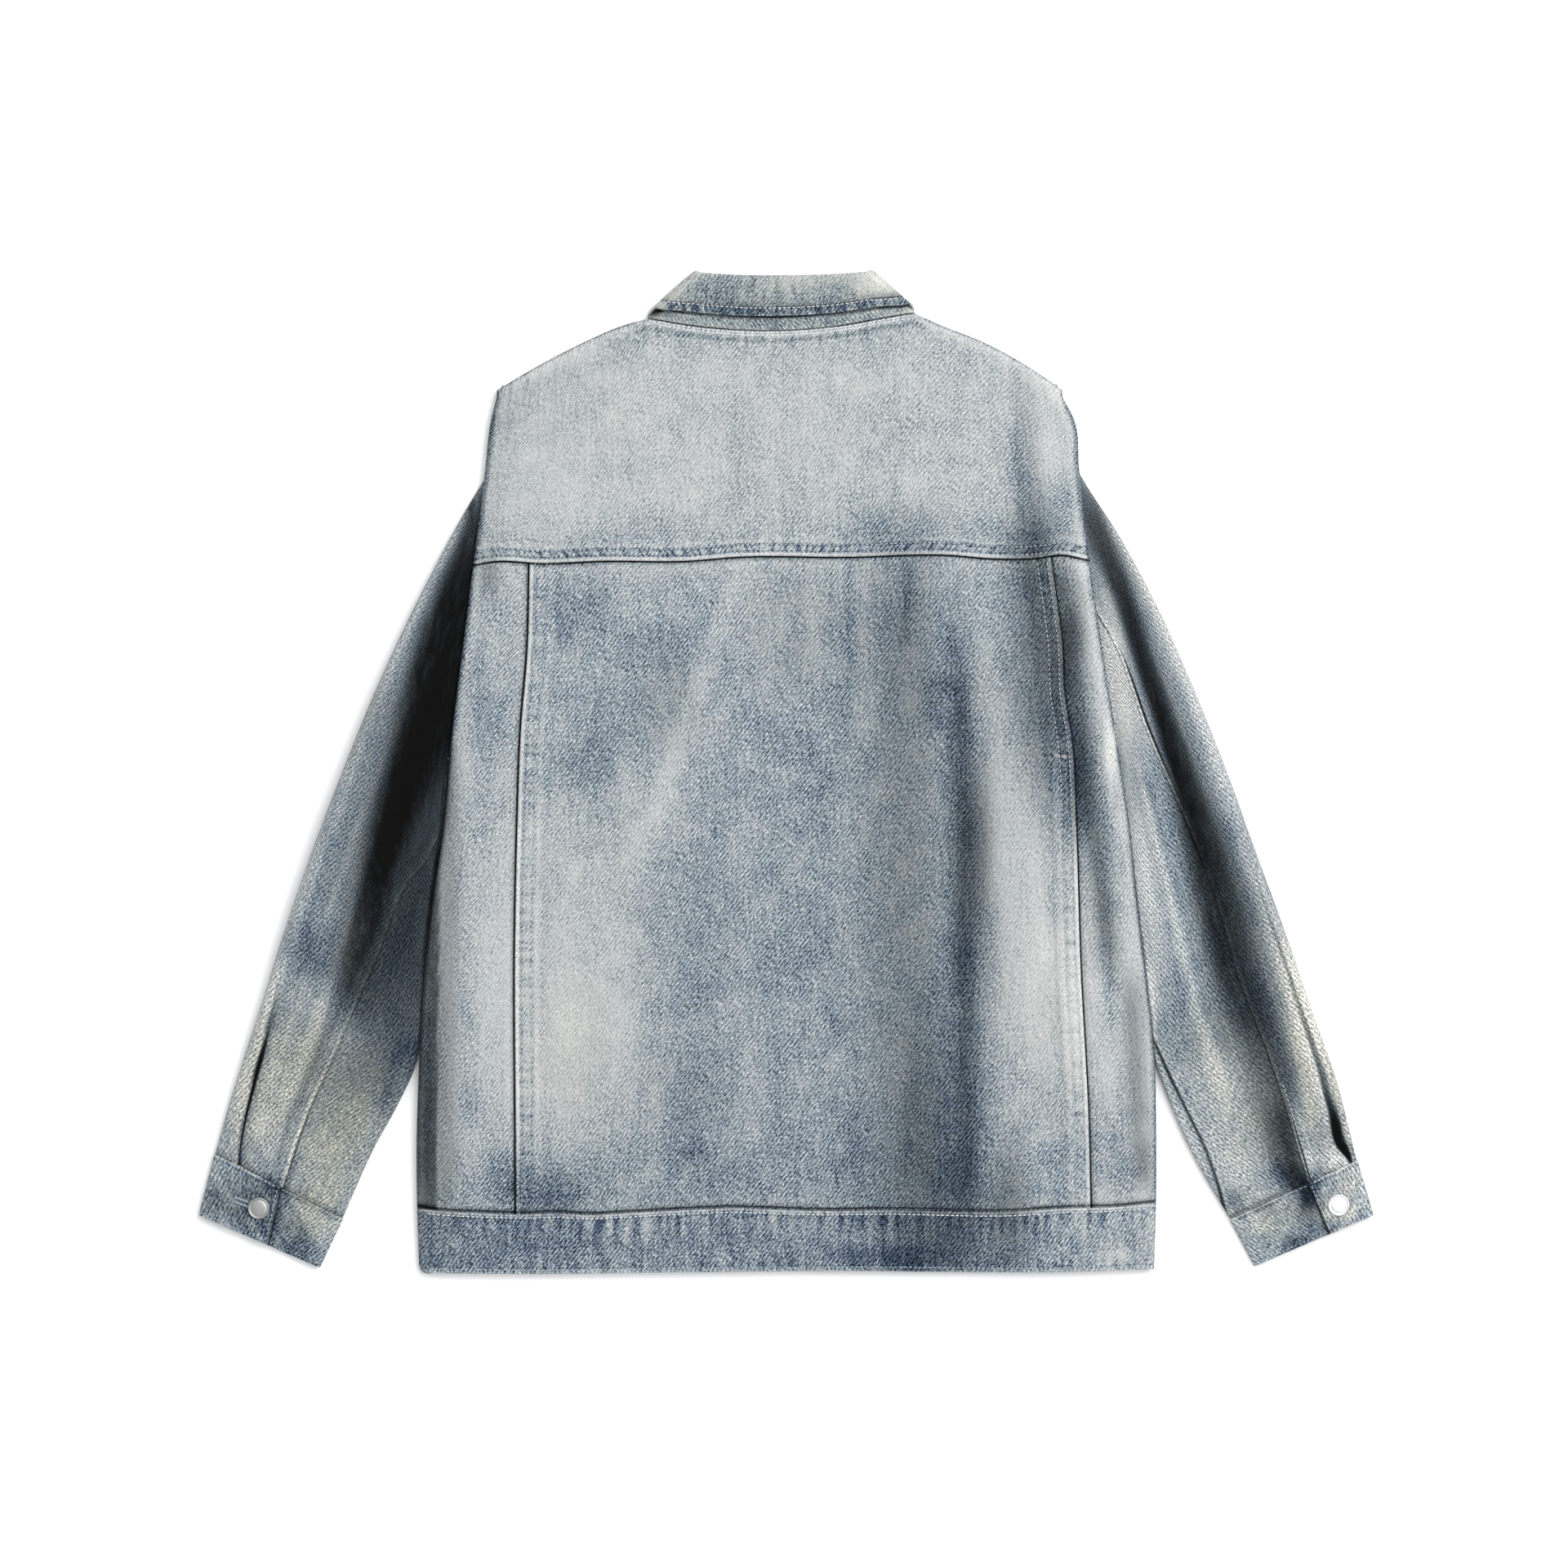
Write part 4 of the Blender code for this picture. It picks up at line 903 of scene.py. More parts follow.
@dataclass
class ClothPiece:
    """A cut piece of cloth: a surface over columns and rows, made thick and finished."""

    name: str
    nodes: tuple[str, ...]
    surface: Surface
    columns: Array
    rows: Array
    wash: Wash
    slot: str
    rests_on: tuple[str, ...]
    finish: DenimFinish = DENIM
    thickness: float = CLOTH
    rolled: tuple[Edge, ...] = ()
    roll_radius: float = 0.6
    bevel: float = 0.0
    shift: tuple[float, float] = (0.0, 0.0)
    sewn_on: list[bpy.types.Object] = field(default_factory=list)
    # Paler and darker shares along seams and folds: wear and dye kept, and on many pieces painted
    # highlights and painted shade
    wear: Callable[[Array, Array], tuple[Array | float, Array | float]] = lambda x, y: (0.0, 0.0)

    def points(self) -> Array:
        """Works out the surface and rolls its edges under.

        Returns:
            The piece's points, rows by columns by 3.
        """
        column, row = np.meshgrid(self.columns, self.rows)
        grid = np.stack(np.broadcast_arrays(*self.surface(column, row)), axis=-1)
        for edge in self.rolled:
            grid = with_rolled_edge(grid, edge, self.roll_radius, TUCK)
        return grid

    def thread_map(self, grid: Array) -> Array:
        """Distances along the threads in metres, measured from the middle column.

        Args:
            grid: the piece's points.

        Returns:
            Distance along the wefts and along the warps, for each point.
        """
        across = np.linalg.norm(np.diff(grid, axis=1), axis=-1)
        along = np.linalg.norm(np.diff(grid, axis=0), axis=-1)
        weft = np.concatenate([np.zeros((grid.shape[0], 1)), np.cumsum(across, axis=1)], axis=1)
        middle = grid.shape[1] // 2
        weft = weft - weft[:, middle : middle + 1]
        warp = np.concatenate([np.zeros(1), np.cumsum(along[:, middle])])
        lean = grid[:, middle, 0] - grid[0, middle, 0] if self.shift == (0.0, 0.0) else 0
        weft = weft + np.broadcast_to(lean, grid.shape[:1])[:, None]
        return np.stack([weft, np.broadcast_to(warp[:, None], weft.shape)], axis=-1) * MM

    def build(self) -> bpy.types.Object:
        """Returns:
            The finished piece.
        """
        grid = self.points()
        height, width = grid.shape[:2]
        faces = grid_faces(height, width)
        piece = solid_mesh(self.name, grid.reshape(-1, 3), faces, self.finish.material())
        mesh = piece.data
        proud = grid[..., 2] - smoothed(grid[..., 2], SMOOTHINGS)
        x, y = grid[..., 0], grid[..., 1]
        wash = self.wash.at(x, y, proud, *self.wear(x, y))
        # A point attribute of washing and painted shade: pale, dark and yellow shares
        layer = mesh.attributes.new("wash", "FLOAT_COLOR", "POINT")
        layer.data.foreach_set("color", wash.reshape(-1).astype(np.float32))
        threads = self.thread_map(grid).reshape(-1, 2) + np.array(self.shift)
        corners = np.empty(len(mesh.loops), np.int32)
        mesh.loops.foreach_get("vertex_index", corners)
        uv = mesh.uv_layers.new(name="cloth")
        uv.data.foreach_set("uv", threads[corners].reshape(-1).astype(np.float32))
        wall = piece.modifiers.new("thickness", "SOLIDIFY")
        wall.thickness = self.thickness * MM
        wall.offset = 0
        if self.bevel:
            rim = piece.modifiers.new("rounded rim", "BEVEL")
            rim.width = self.bevel * MM
            rim.segments = 2
            rim.limit_method = "ANGLE"
            rim.angle_limit = math.radians(60)
        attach(piece, "root")
        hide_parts(*self.nodes)
        self.declare(grid)
        log.info("%s: %d points", self.name, height * width)
        return piece

    def declare(self, grid: Array) -> None:
        """States the cut, measured on its own surface: its widest row, its longest column, its area.

        Args:
            grid: its points.
        """
        across, along = np.diff(grid, axis=1), np.diff(grid, axis=0)
        width = float(np.linalg.norm(across, axis=-1).sum(axis=1).max()) * MM
        length = float(np.linalg.norm(along, axis=-1).sum(axis=0).max()) * MM
        cells = np.cross(across[:-1], along[:, :-1])
        area = float(np.linalg.norm(cells, axis=-1).sum()) * MM * MM
        area = min(max(area, LEAST_FILL * width * length), width * length)
        list(self.rests_on)
        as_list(self.sewn_on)
        log.info("%s: cut %.0f x %.0f mm, %.0f cm2", self.name, width / MM, length / MM, area * 1e4)


@dataclass
class Sewing:
    """Rows of topstitching: each stitch is a short arched thread whose ends dip into the cloth."""

    name: str
    finish: ThreadFinish = THREAD
    pitch: float = 3.6
    length: float = 2.7
    thread: float = 0.36
    runs: list[Array] = field(default_factory=list)

    def add(self, path: Array) -> None:
        """Adds a run along a path of points, n by 3, on the face of the cloth."""
        self.runs.append(path)

    def centres(self, path: Array) -> Pair:
        """Middles and directions of the stitches, evenly spaced along a path.

        Args:
            path: points on the face of the cloth.

        Returns:
            The middles and the directions, n by 3 each.
        """
        travelled = np.concatenate([[0], np.cumsum(np.linalg.norm(np.diff(path, axis=0), axis=1))])
        count = max(int(travelled[-1] / self.pitch), 1)
        middles = (np.arange(count) + 0.5) * travelled[-1] / count
        # Sewn by hand and eye: each stitch sits a little ahead or behind
        middles = middles + 0.22 * np.sin(middles * 1.7) + 0.14 * np.sin(middles * 0.61)

        def on_path(distance: Array) -> Array:
            """The points at distances along the path."""
            return np.stack([np.interp(distance, travelled, path[:, k]) for k in range(3)], axis=1)

        return on_path(middles), unit(on_path(middles + 0.5) - on_path(middles - 0.5))

    def build(self) -> bpy.types.Object:
        """Makes every stitch from one arched hexagonal tube, moved to all the places at once.

        Returns:
            The finished piece.
        """
        sides, rings = 6, np.array([-1.0, -0.72, 0.0, 0.72, 1.0])
        girth = np.array([0.35, 0.95, 1.0, 0.95, 0.35])
        turn = np.arange(sides) / sides * 2 * math.pi
        ahead = np.repeat(rings * self.length / 2, sides)
        aside = (girth[:, None] * np.cos(turn)).ravel() * self.thread
        arch = 0.22 - 0.5 * rings**4
        up = (girth[:, None] * np.sin(turn) * 0.8).ravel() * self.thread + np.repeat(arch, sides)
        tube = grid_faces(len(rings), sides, closed=True)
        ends = np.array([[0, 1, 2, 3], [0, 3, 4, 5]])
        far = ends[:, ::-1] + sides * (len(rings) - 1)
        template = np.concatenate([tube[:, ::-1], ends, far])
        placed = [self.centres(path) for path in self.runs]
        place = np.concatenate([p for p, _ in placed])
        along = np.concatenate([d for _, d in placed])
        right = unit(np.cross(along, np.array([0.0, 0.0, 1.0])))
        above = np.cross(right, along)
        points = (
            place[:, None]
            + along[:, None] * ahead[None, :, None]
            + right[:, None] * aside[None, :, None]
            + above[:, None] * up[None, :, None]
        )
        points = points.reshape(-1, 3)
        faces = (template[None] + np.arange(len(place))[:, None, None] * len(ahead)).reshape(-1, 4)
        piece = solid_mesh(self.name, points, faces, self.finish.material())
        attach(piece, "root")
        log.info("%s: %d stitches", self.name, len(place))
        return piece


# ---------------- the body


@dataclass(frozen=True)
class BodyShape:
    """Sizes of the body as it lies: outline, seams and the back's soft folds."""

    # y, x of the left edge, x of the right edge
    edges: Rows = (
        (-374, -272.5, 276), (-326, -274.2, 277.5), (-277, -274.6, 277.6), (-216, -272.7, 276.2),
        (-155, -269.3, 270.2), (-94, -262.4, 262.8), (-33, -253.8, 256.4), (28, -248.6, 247.4),
        (89, -241.3, 237.8), (156, -232.7, 227.9), (229, -223.6, 220.2), (266, -219.3, 216.6),
        (284, -215, 207.7),
    )
    # x, y along the shoulders and the neck
    left_shoulder: Rows = ((-215, 284), (-195, 296.2), (-149, 320.6), (-122, 332.4), (-102, 338.2))
    back_neck: Rows = ((-102, 338.2), (-68, 332.6), (-12, 329.0), (44, 333.1), (78, 339.2), (97, 342.2))
    right_shoulder: Rows = ((97, 342.2), (116, 333.4), (148, 320.6), (190, 296.8), (208, 284))
    # x, y along the seams across
    yoke_seam: Rows = (
        (-232, 156.6), (-216, 159.2), (-182, 157.7), (-135, 159.5), (-73, 159.5), (-34, 162.5),
        (46, 162.4), (124, 163.8), (155, 161.3), (186, 161.3), (208, 163.8), (226, 160.2),
    )
    hem_seam: Rows = (
        (-274, -325.3), (-261, -327.4), (-244, -328.7), (-223, -329.6), (-195, -330.4),
        (-172, -329.6), (-142, -330.9), (-125, -330), (-103, -328.7), (-61, -326.6),
        (-39, -325.7), (-14, -326.6), (29, -327.9), (73, -327.3), (168, -328.5), (209, -326),
        (250, -324.8), (277, -321.8),
    )
    hem_edge: Rows = (
        (-274, -372.6), (-256, -373.6), (-196, -374.4), (-98, -373.4), (24, -372.2), (237, -372.2),
        (277, -370.6),
    )
    # y, x along the upright seams
    left_seam: Rows = (
        (-336, -198.9), (-265, -199.2), (-143, -199.8), (-39, -197.9), (39, -194.9), (89, -190.6),
        (160, -188.8),
    )
    right_seam: Rows = (
        (-336, 227.2), (-259, 225.4), (-143, 219.3), (-41, 216.2), (20, 213.2), (61, 207.1),
        (93, 205.9), (123, 202.2), (162, 196.7),
    )
    # y, x of the crease beside the left edge, how dark the painted shade on the turned side beyond it is
    left_crease_shade: Rows = (
        (-330, -259.6, 0.46), (-300, -259.6, 0.54), (-200, -258.2, 0.54), (-100, -256.8, 0.46),
        (-75, -256.4, 0.36), (-45, -255.4, 0), (0, -254, 0), (30, -253, 0),
        (330, -253, 0),
    )
    # Large folds, and finer ones that only lie on the cloth:
    # x, y of one end, x, y of the other, rise, width on the left and on the right
    folds: Rows = (
        (-251, 40, -258, -312, 6.5, 12, 34), (-206, 280, -214, 170, 1.6, 9, 24),
        (221, 190, 262, -70, 6, 27, 16), (252, -60, 262, -300, 4.5, 30, 20),
        (180, 318, 184, 176, 2.6, 13, 26), (160, 70, 176, -350, 2.8, 17, 40),
        (128, 96, 134, -350, -2.2, 26, 14), (46, 160, 60, 20, 1.4, 10, 24),
        (-60, 150, -110, -70, 1.5, 30, 24), (-190, 60, -176, -300, 1.4, 22, 40),
    )
    creases: Rows = (
        (172, 316, 176, 180, -1.12, 6, 10), (60, 300, 34, 190, 0.63, 9, 14),
        (96, 250, 84, 176, 0.56, 7, 12), (20, 316, 8, 220, 0.42, 8, 14),
        (-60, 310, -74, 190, 0.49, 10, 16), (-130, 300, -126, 200, 0.42, 8, 12),
        (140, 300, 132, 190, 0.56, 7, 12), (47, 156, 50, 58, -0.7, 4, 8),
        (92, 158, 88, 92, -0.63, 4, 7), (104, 156, 118, 40, 0.63, 6, 9),
        (-36, 150, -110, -60, 0.77, 9, 12), (-6, 120, -30, 0, 0.49, 8, 12),
        (-120, 20, -110, -90, 0.56, 10, 14), (40, -20, 52, -180, 0.63, 12, 16),
        (-40, -120, -30, -260, 0.56, 14, 18), (100, -160, 90, -300, -0.84, 8, 16),
        (-90, -180, -100, -310, 0.7, 10, 14), (186, -40, 196, -160, 0.56, 9, 14),
        (-160, -60, -168, -200, 0.49, 12, 16), (10, -220, 0, -320, 0.56, 10, 12),
        (-220, 110, -214, -20, 0.56, 6, 10), (232, -150, 238, -290, 0.63, 7, 9),
        (-240, -120, -236, -260, -0.63, 6, 10),
    )
    level: float = 9.6
    hem_level: float = 7.6
    armhole_drop: float = 2.4
    side_seam_level: float = 6.3
    shoulder_seam_level: float = 5.0
    side_turn: float = 6.0
    shoulder_turn: float = 4.0
    front_lap: float = 15.0

    def outline(self, y: Array | float, side: Side) -> Array:
        """The body's edge on a side, at the middle of its turned cloth."""
        column = 1 if side is Side.LEFT else 2
        return through(self.edges, y, column) - side.value * CUT_CLOTH / 2

    def back_level(self, x: Array, y: Array) -> Array:
        """Height of the back's cloth: a level that sinks at the hem, its folds and its creases."""
        level = mix(self.hem_level, self.level, ease((y + 372) / 110))
        return level + fold_rise(x, y, self.folds) + fold_rise(x, y, self.creases)

    def side_turned(self, y: Array) -> Array:
        """1 where the back turns over at the side seam, 0 where it ends at the armhole."""
        return ease((26 - y) / 22)

    def turn_side(self, x: Array, y: Array, height: Array, bend: Array, side: Side) -> Pair:
        """Carries a point of the back over its side: a quarter turn, or a drop at the armhole.

        Args:
            x: place across where the turn starts.
            y: place up.
            height: of the cloth there.
            bend: 0 where the turn starts and 1 at its end.
            side: which side.

        Returns:
            x and z.
        """
        turned = self.side_turned(y)
        outward, down = quarter_turn(bend, turned)
        drop = self.armhole_drop * bend**2 * (1 - turned) + (height - self.side_seam_level) * down
        return x + side.value * self.side_turn * outward, height - drop

    def shoulder_y(self, x: Array) -> Array:
        """The back's top edge: left shoulder, neck and right shoulder.

        Args:
            x: places across.

        Returns:
            y of the edge.
        """
        left, right = self.back_neck[0][0], self.back_neck[-1][0]
        beyond = np.where(x < left, through(self.left_shoulder, x), through(self.right_shoulder, x))
        return np.where((x >= left) & (x <= right), through(self.back_neck, x), beyond)

    def shoulder_turned(self, x: Array) -> Array:
        """1 over the shoulders and 0 along the neck."""
        left, right = self.back_neck[0][0], self.back_neck[-1][0]
        return ease((left - 4 - x) / 12) + ease((x - right - 4) / 12)


BODY = BodyShape()


@dataclass(frozen=True)
class LappedSeam:
    """A seam whose upper piece is folded under and stitched down twice."""

    rows: tuple[float, ...]
    seed: float
    shelf: float = 0.75
    rope: float = 0.55
    pucker: float = 0.45
    pucker_spacing: float = 9.0
    under_drop: float = 1.25
    # How far a groove leans over the seam's width, to each side of the middle
    slant: float = 0.0
    # Added to the distance along the seam
    ahead: float = 0.0
    edge_rub_and_highlight: float = 0.14
    row_dye: float = 0.06
    mark_dye: float = 0.1
    # How dark the line of kept dye and painted shade beyond the fold is
    line: float = 0.95

    def over(self, distance: Array, along: Array) -> Array:
        """Rise of the lapping piece.

        A low shelf where its allowance lies under it, a rope along the fold, grooves under the
        stitch rows, and uneven puckers between them.

        Args:
            distance: from the fold into the piece.
            along: along the seam.

        Returns:
            The rise in millimetres.
        """
        last = max(self.rows)
        rise = self.shelf * (1 - ease((distance - last - 2) / 6))
        rise = rise + self.rope * bump(distance, 1.5)
        for row in self.rows:
            rise = rise - 0.6 * bump(distance - row, 1.1)
        span = bump(distance - last * 0.55, last * 0.75 + 2)
        waves = uneven(along + self.ahead, self.pucker_spacing, self.seed)
        rise = rise + 0.5 * self.pucker * span * waves
        return rise - self.pucker * self.marks(distance, along)

    def marks(self, distance: Array, along: Array) -> Array:
        """The slanted grooves between the fold and the last stitch row.

        Args:
            distance: from the fold into the piece.
            along: along the seam.

        Returns:
            How deep each place lies in a groove, from 0 to 1.
        """
        last = max(self.rows)
        span = ease((distance - 0.8) / 1.2) * (1 - ease((distance - last + 0.6) / 1.6))
        slant = self.slant * np.tanh(along / 60)
        place = along + self.ahead - distance * slant
        return span * pucker_marks(place, self.pucker_spacing, self.seed)

    def worn(self, distance: Array, along: Array) -> Array:
        """How much paler the fold is, from wear and a painted highlight, less the dye that its grooves
        and stitch holes kept.

        Args:
            distance: from the fold into the piece.
            along: along the seam.

        Returns:
            How much paler each place is.
        """
        # Paler along the fold: wear and a painted highlight
        paler = self.edge_rub_and_highlight * bump(distance - 0.5, 0.8)
        for row in self.rows:
            paler = paler - self.row_dye * bump(distance - row, 0.7)
        return paler - self.mark_dye * self.marks(distance, along)

    def dye_and_shade_beyond_fold(self, beyond: Array) -> Array:
        """How dark the piece beneath is in the fold's angle, by the distance beyond the fold: dye kept
        and painted shade.
        """
        return self.line * bump(beyond - 1.9, 0.75) + 0.16 * bump(beyond - 2.2, 2.4)

    def under(self, distance: Array) -> Array:
        """Drop of the piece that runs beneath, by the distance from the fold."""
        return -self.under_drop * bump(np.maximum(distance, 0), 4.5)


YOKE_LAP = LappedSeam(
    rows=(1.9, 7.4),
    seed=0.7,
    pucker=0.6,
    pucker_spacing=6.2,
    slant=0.8,
    mark_dye=0.42,
    row_dye=0.4,
)
LEFT_LAP = LappedSeam(rows=(3.1, 11.6), seed=2.1, line=0.9)
RIGHT_LAP = LappedSeam(rows=(1.6, 8.8), seed=4.4, rope=0.25, line=1.05, edge_rub_and_highlight=0.3, ahead=31.0)
HEM_LAP = LappedSeam(
    rows=(2.0,), seed=5.2, shelf=0.5, pucker=0.3, line=0.55, row_dye=0.12, mark_dye=0.2
)
# How far a panel runs on beneath the piece that laps it
UNDERLAP = 4.0
# y at which the hem band starts and ends, at which the panels and the yoke start, and at which
# the yoke meets the shoulders
BAND_FOOT, BAND_TOP, PANEL_FOOT, YOKE_FOOT, YOKE_TOP = -372, -327, -331, 160, 284
PANEL_COLUMNS = stations(
    (0, 0.012, 7), (0.012, 0.04, 8), (0.04, 0.96, 160), (0.96, 0.988, 8), (0.988, 1, 7)
)
PANEL_ROWS = stations((0, 0.03, 14), (0.03, 0.97, 172), (0.97, 0.984, 5), (0.984, 1, 14))


@dataclass
class Back:
    """The back: yoke, middle panel and two side strips, with their lapped seams."""

    shape: BodyShape = BODY

    def into_panel(self, x: Array, y: Array) -> Pair:
        """Distances into the middle panel from its left fold and from its right one."""
        return x - through(self.shape.left_seam, y), through(self.shape.right_seam, y) - x

    def yoke_start(self, x: Array) -> Array:
        """y of the yoke's folded lower edge."""
        return through(self.shape.yoke_seam, x) - 0.4

    def yoke(self, column: Array, row: Array) -> Point:
        """The yoke's surface.

        Args:
            column: -1..1 across, with a turn at the armholes from -1 to -2 and from 1 to 2.
            row: 0..1 up and 1..2 over the shoulders.

        Returns:
            x, y and z.
        """
        shape = self.shape
        up = clamp(row)
        across = np.clip(column, -1, 1) / 2 + 0.5
        level = mix(YOKE_FOOT, YOKE_TOP, up)
        first = shape.outline(level, Side.LEFT) + shape.side_turn
        last = shape.outline(level, Side.RIGHT) - shape.side_turn
        x = mix(first, last, across)
        x = x + shape.side_turn * (clamp(column - 1) - clamp(-column - 1))
        start = self.yoke_start(x)
        turned = shape.shoulder_turned(x)
        outward, down = quarter_turn(clamp(row - 1), turned)
        top = shape.shoulder_y(x) - shape.shoulder_turn - 0.2
        y = mix(start, top, up) + shape.shoulder_turn * outward
        height = shape.back_level(x, y) + YOKE_LAP.over(y - start, x)
        # The collar's seam leaves a low ridge along the neck, and the shoulder seams one each
        from_top = top + shape.shoulder_turn - y
        height = height + (1 - turned) * self.neck_ridge(from_top)
        height = height + 0.35 * bump(from_top - 5, 8) * uneven(x, 11, 1.9)
        drop = (height - shape.shoulder_seam_level - 0.4) * down
        arm = shape.armhole_drop * clamp(np.abs(column) - 1) ** 2
        return x, y, height - np.maximum(drop, arm)

    def neck_ridge(self, from_top: Array | float) -> Array:
        """Rise of the yoke over the collar's seam, and the groove below it."""
        return 0.5 * bump(from_top - 2, 2.5) - 0.4 * bump(from_top - 6.5, 1.3)

    def between(self, x: Array, row: Array) -> Array:
        """Spreads the rows of the panels from beneath the hem band to beneath the yoke.

        Args:
            x: places across.
            row: 0 at the foot and 1 at the top.

        Returns:
            y of the row.
        """
        low = through(self.shape.hem_seam, x) - UNDERLAP
        high = through(self.shape.yoke_seam, x) + UNDERLAP
        return mix(low, high, row)

    def ends_drop(self, x: Array, y: Array) -> Array:
        """Drop of the panels beneath the yoke and the hem band, and the puckers beside them.

        Args:
            x: places across.
            y: places up.

        Returns:
            The rise in millimetres, less than 0 where the cloth drops.
        """
        below_yoke = through(self.shape.yoke_seam, x) - y
        above_hem = y - through(self.shape.hem_seam, x)
        puckers = 0.3 * bump(above_hem - 2, 9) * uneven(x, 8.5, 3.3)
        puckers = puckers + 0.22 * bump(below_yoke - 3, 8) * uneven(x, 10, 0.4)
        return YOKE_LAP.under(below_yoke) + HEM_LAP.under(above_hem) + puckers

    def panel(self, column: Array, row: Array) -> Point:
        """The middle panel's surface.

        Args:
            column: 0 at the left fold and 1 at the right one.
            row: 0 at the foot and 1 at the top.

        Returns:
            x, y and z.
        """
        level = mix(PANEL_FOOT, YOKE_FOOT + UNDERLAP, row)
        x = mix(through(self.shape.left_seam, level), through(self.shape.right_seam, level), column)
        y = self.between(x, row)
        left, right = self.into_panel(x, y)
        folds = LEFT_LAP.over(left, y) + RIGHT_LAP.over(right, y)
        return x, y, self.shape.back_level(x, y) + folds + self.ends_drop(x, y)

    def side(self, side: Side) -> Surface:
        """The surface of a side strip.

        Args:
            side: which strip.

        Returns:
            Its surface, as a function of column and row.
        """
        shape, hand = self.shape, side.value
        seam, lap = (shape.left_seam, LEFT_LAP) if side is Side.LEFT else (shape.right_seam, RIGHT_LAP)

        def surface(column: Array, row: Array) -> Point:
            """A point of the strip.

            Args:
                column: 0 under the panel, 1 where the turn starts and 2 at the side seam.
                row: 0 at the foot and 1 at the top.

            Returns:
                x, y and z.
            """
            level = mix(PANEL_FOOT, YOKE_FOOT + UNDERLAP, row)
            fold = through(seam, level)
            end = shape.outline(level, side) - hand * shape.side_turn
            x = mix(fold - hand * UNDERLAP, end, clamp(column))
            y = self.between(x, row)
            height = shape.back_level(x, y) + self.ends_drop(x, y) + lap.under(hand * (x - fold))
            bend = clamp(column - 1)
            x, z = shape.turn_side(x, y, height, bend, side)
            return x, y, z + 0.4 * shape.side_turned(y) * bend

        return surface

    def yoke_wear(self, x: Array, y: Array) -> Pair:
        """How much paler the yoke's seam is, from wear and a painted highlight, and no dye kept."""
        return YOKE_LAP.worn(y - self.yoke_start(x), x), 0.0 * x

    def dye_and_shade_under_folds(self, x: Array, y: Array) -> Array:
        """Dye kept and painted shade beneath the folds of the yoke and of the hem band."""
        above_hem = y - through(self.shape.hem_seam, x) - HemBand.lap
        return YOKE_LAP.dye_and_shade_beyond_fold(self.yoke_start(x) - y) + HEM_LAP.dye_and_shade_beyond_fold(above_hem)

    def panel_wear_and_shade(self, x: Array, y: Array) -> Pair:
        """How much paler the middle panel's folds are, from wear and painted highlights, and the dye kept
        and painted shade beneath others.
        """
        left, right = self.into_panel(x, y)
        return LEFT_LAP.worn(left, y) + RIGHT_LAP.worn(right, y), self.dye_and_shade_under_folds(x, y)

    def side_wear_and_shade(self, x: Array, y: Array) -> Pair:
        """Dye kept and painted shade beneath the folds of the middle panel, of the yoke and of the hem
        band, and painted shade beyond the left crease with a pale line along it, painted highlight and
        wear.

        Args:
            x: places across.
            y: places up.

        Returns:
            How much paler and how much darker each place is.
        """
        left, right = self.into_panel(x, y)
        upright = LEFT_LAP.dye_and_shade_beyond_fold(-left) + RIGHT_LAP.dye_and_shade_beyond_fold(-right)
        # Painted shade on the turned side beyond the left crease, and a pale line along it: painted
        # highlight and wear
        outside = through(self.shape.left_crease_shade, y) - x
        crease = through(self.shape.left_crease_shade, y, 2) * ease(outside / 2.0 + 0.5)
        crease = crease * (1 - 0.15 * ease((outside - 5) / 8))
        return 0.12 * bump(outside + 1.4, 1.2) * (crease > 0), self.dye_and_shade_under_folds(x, y) + upright + crease

    def face(self, x: Array, y: Array, rise: Array | float = 0.0) -> Array:
        """Points on the face of the back, n by 3."""
        z = self.shape.back_level(x, y) + rise + CLOTH / 2
        return np.stack(np.broadcast_arrays(x, y, z), axis=-1)

    def sew(self) -> list[bpy.types.Object]:
        """Topstitching of the yoke seam, the upright seams and the neck, and a bar tack.

        Returns:
            The rows of stitches.
        """
        shape = self.shape
        yoke = Sewing("topstitch_yoke")
        x = np.linspace(-229, 224, 500)
        for row in YOKE_LAP.rows:
            y = self.yoke_start(x) + row
            yoke.add(self.face(x, y, YOKE_LAP.over(np.full(x.shape, row), x)))
        upright = Sewing("topstitch_panels")
        y = np.linspace(-325, 157, 500)
        for lap, seam, hand in ((LEFT_LAP, shape.left_seam, 1), (RIGHT_LAP, shape.right_seam, -1)):
            for row in lap.rows:
                rise = lap.over(np.full(y.shape, row), y)
                path_x = through(seam, y) + hand * row
                upright.add(self.face(path_x, y, rise + self.ends_drop(path_x, y)))
        neck = Sewing("topstitch_neck", PALE_THREAD, thread=0.34)
        x = np.linspace(-95, 94, 280)
        for row in (0.9, 2.9):
            y = shape.shoulder_y(x) - 0.2 - row
            neck.add(self.face(x, y, self.neck_ridge(row)))
        tack = Sewing("bar_tack", RUST_THREAD, pitch=4.6, length=4.4)
        for step in range(3):
            x = np.linspace(200.0, 211.6, 4)
            y = 12.2 + step * 0.8 - 0.16 * (x - x[0])
            tack.add(self.face(x, y, RIGHT_LAP.over(self.into_panel(x, y)[1], y)))
        return [sewing.build() for sewing in (yoke, upright, neck, tack)]

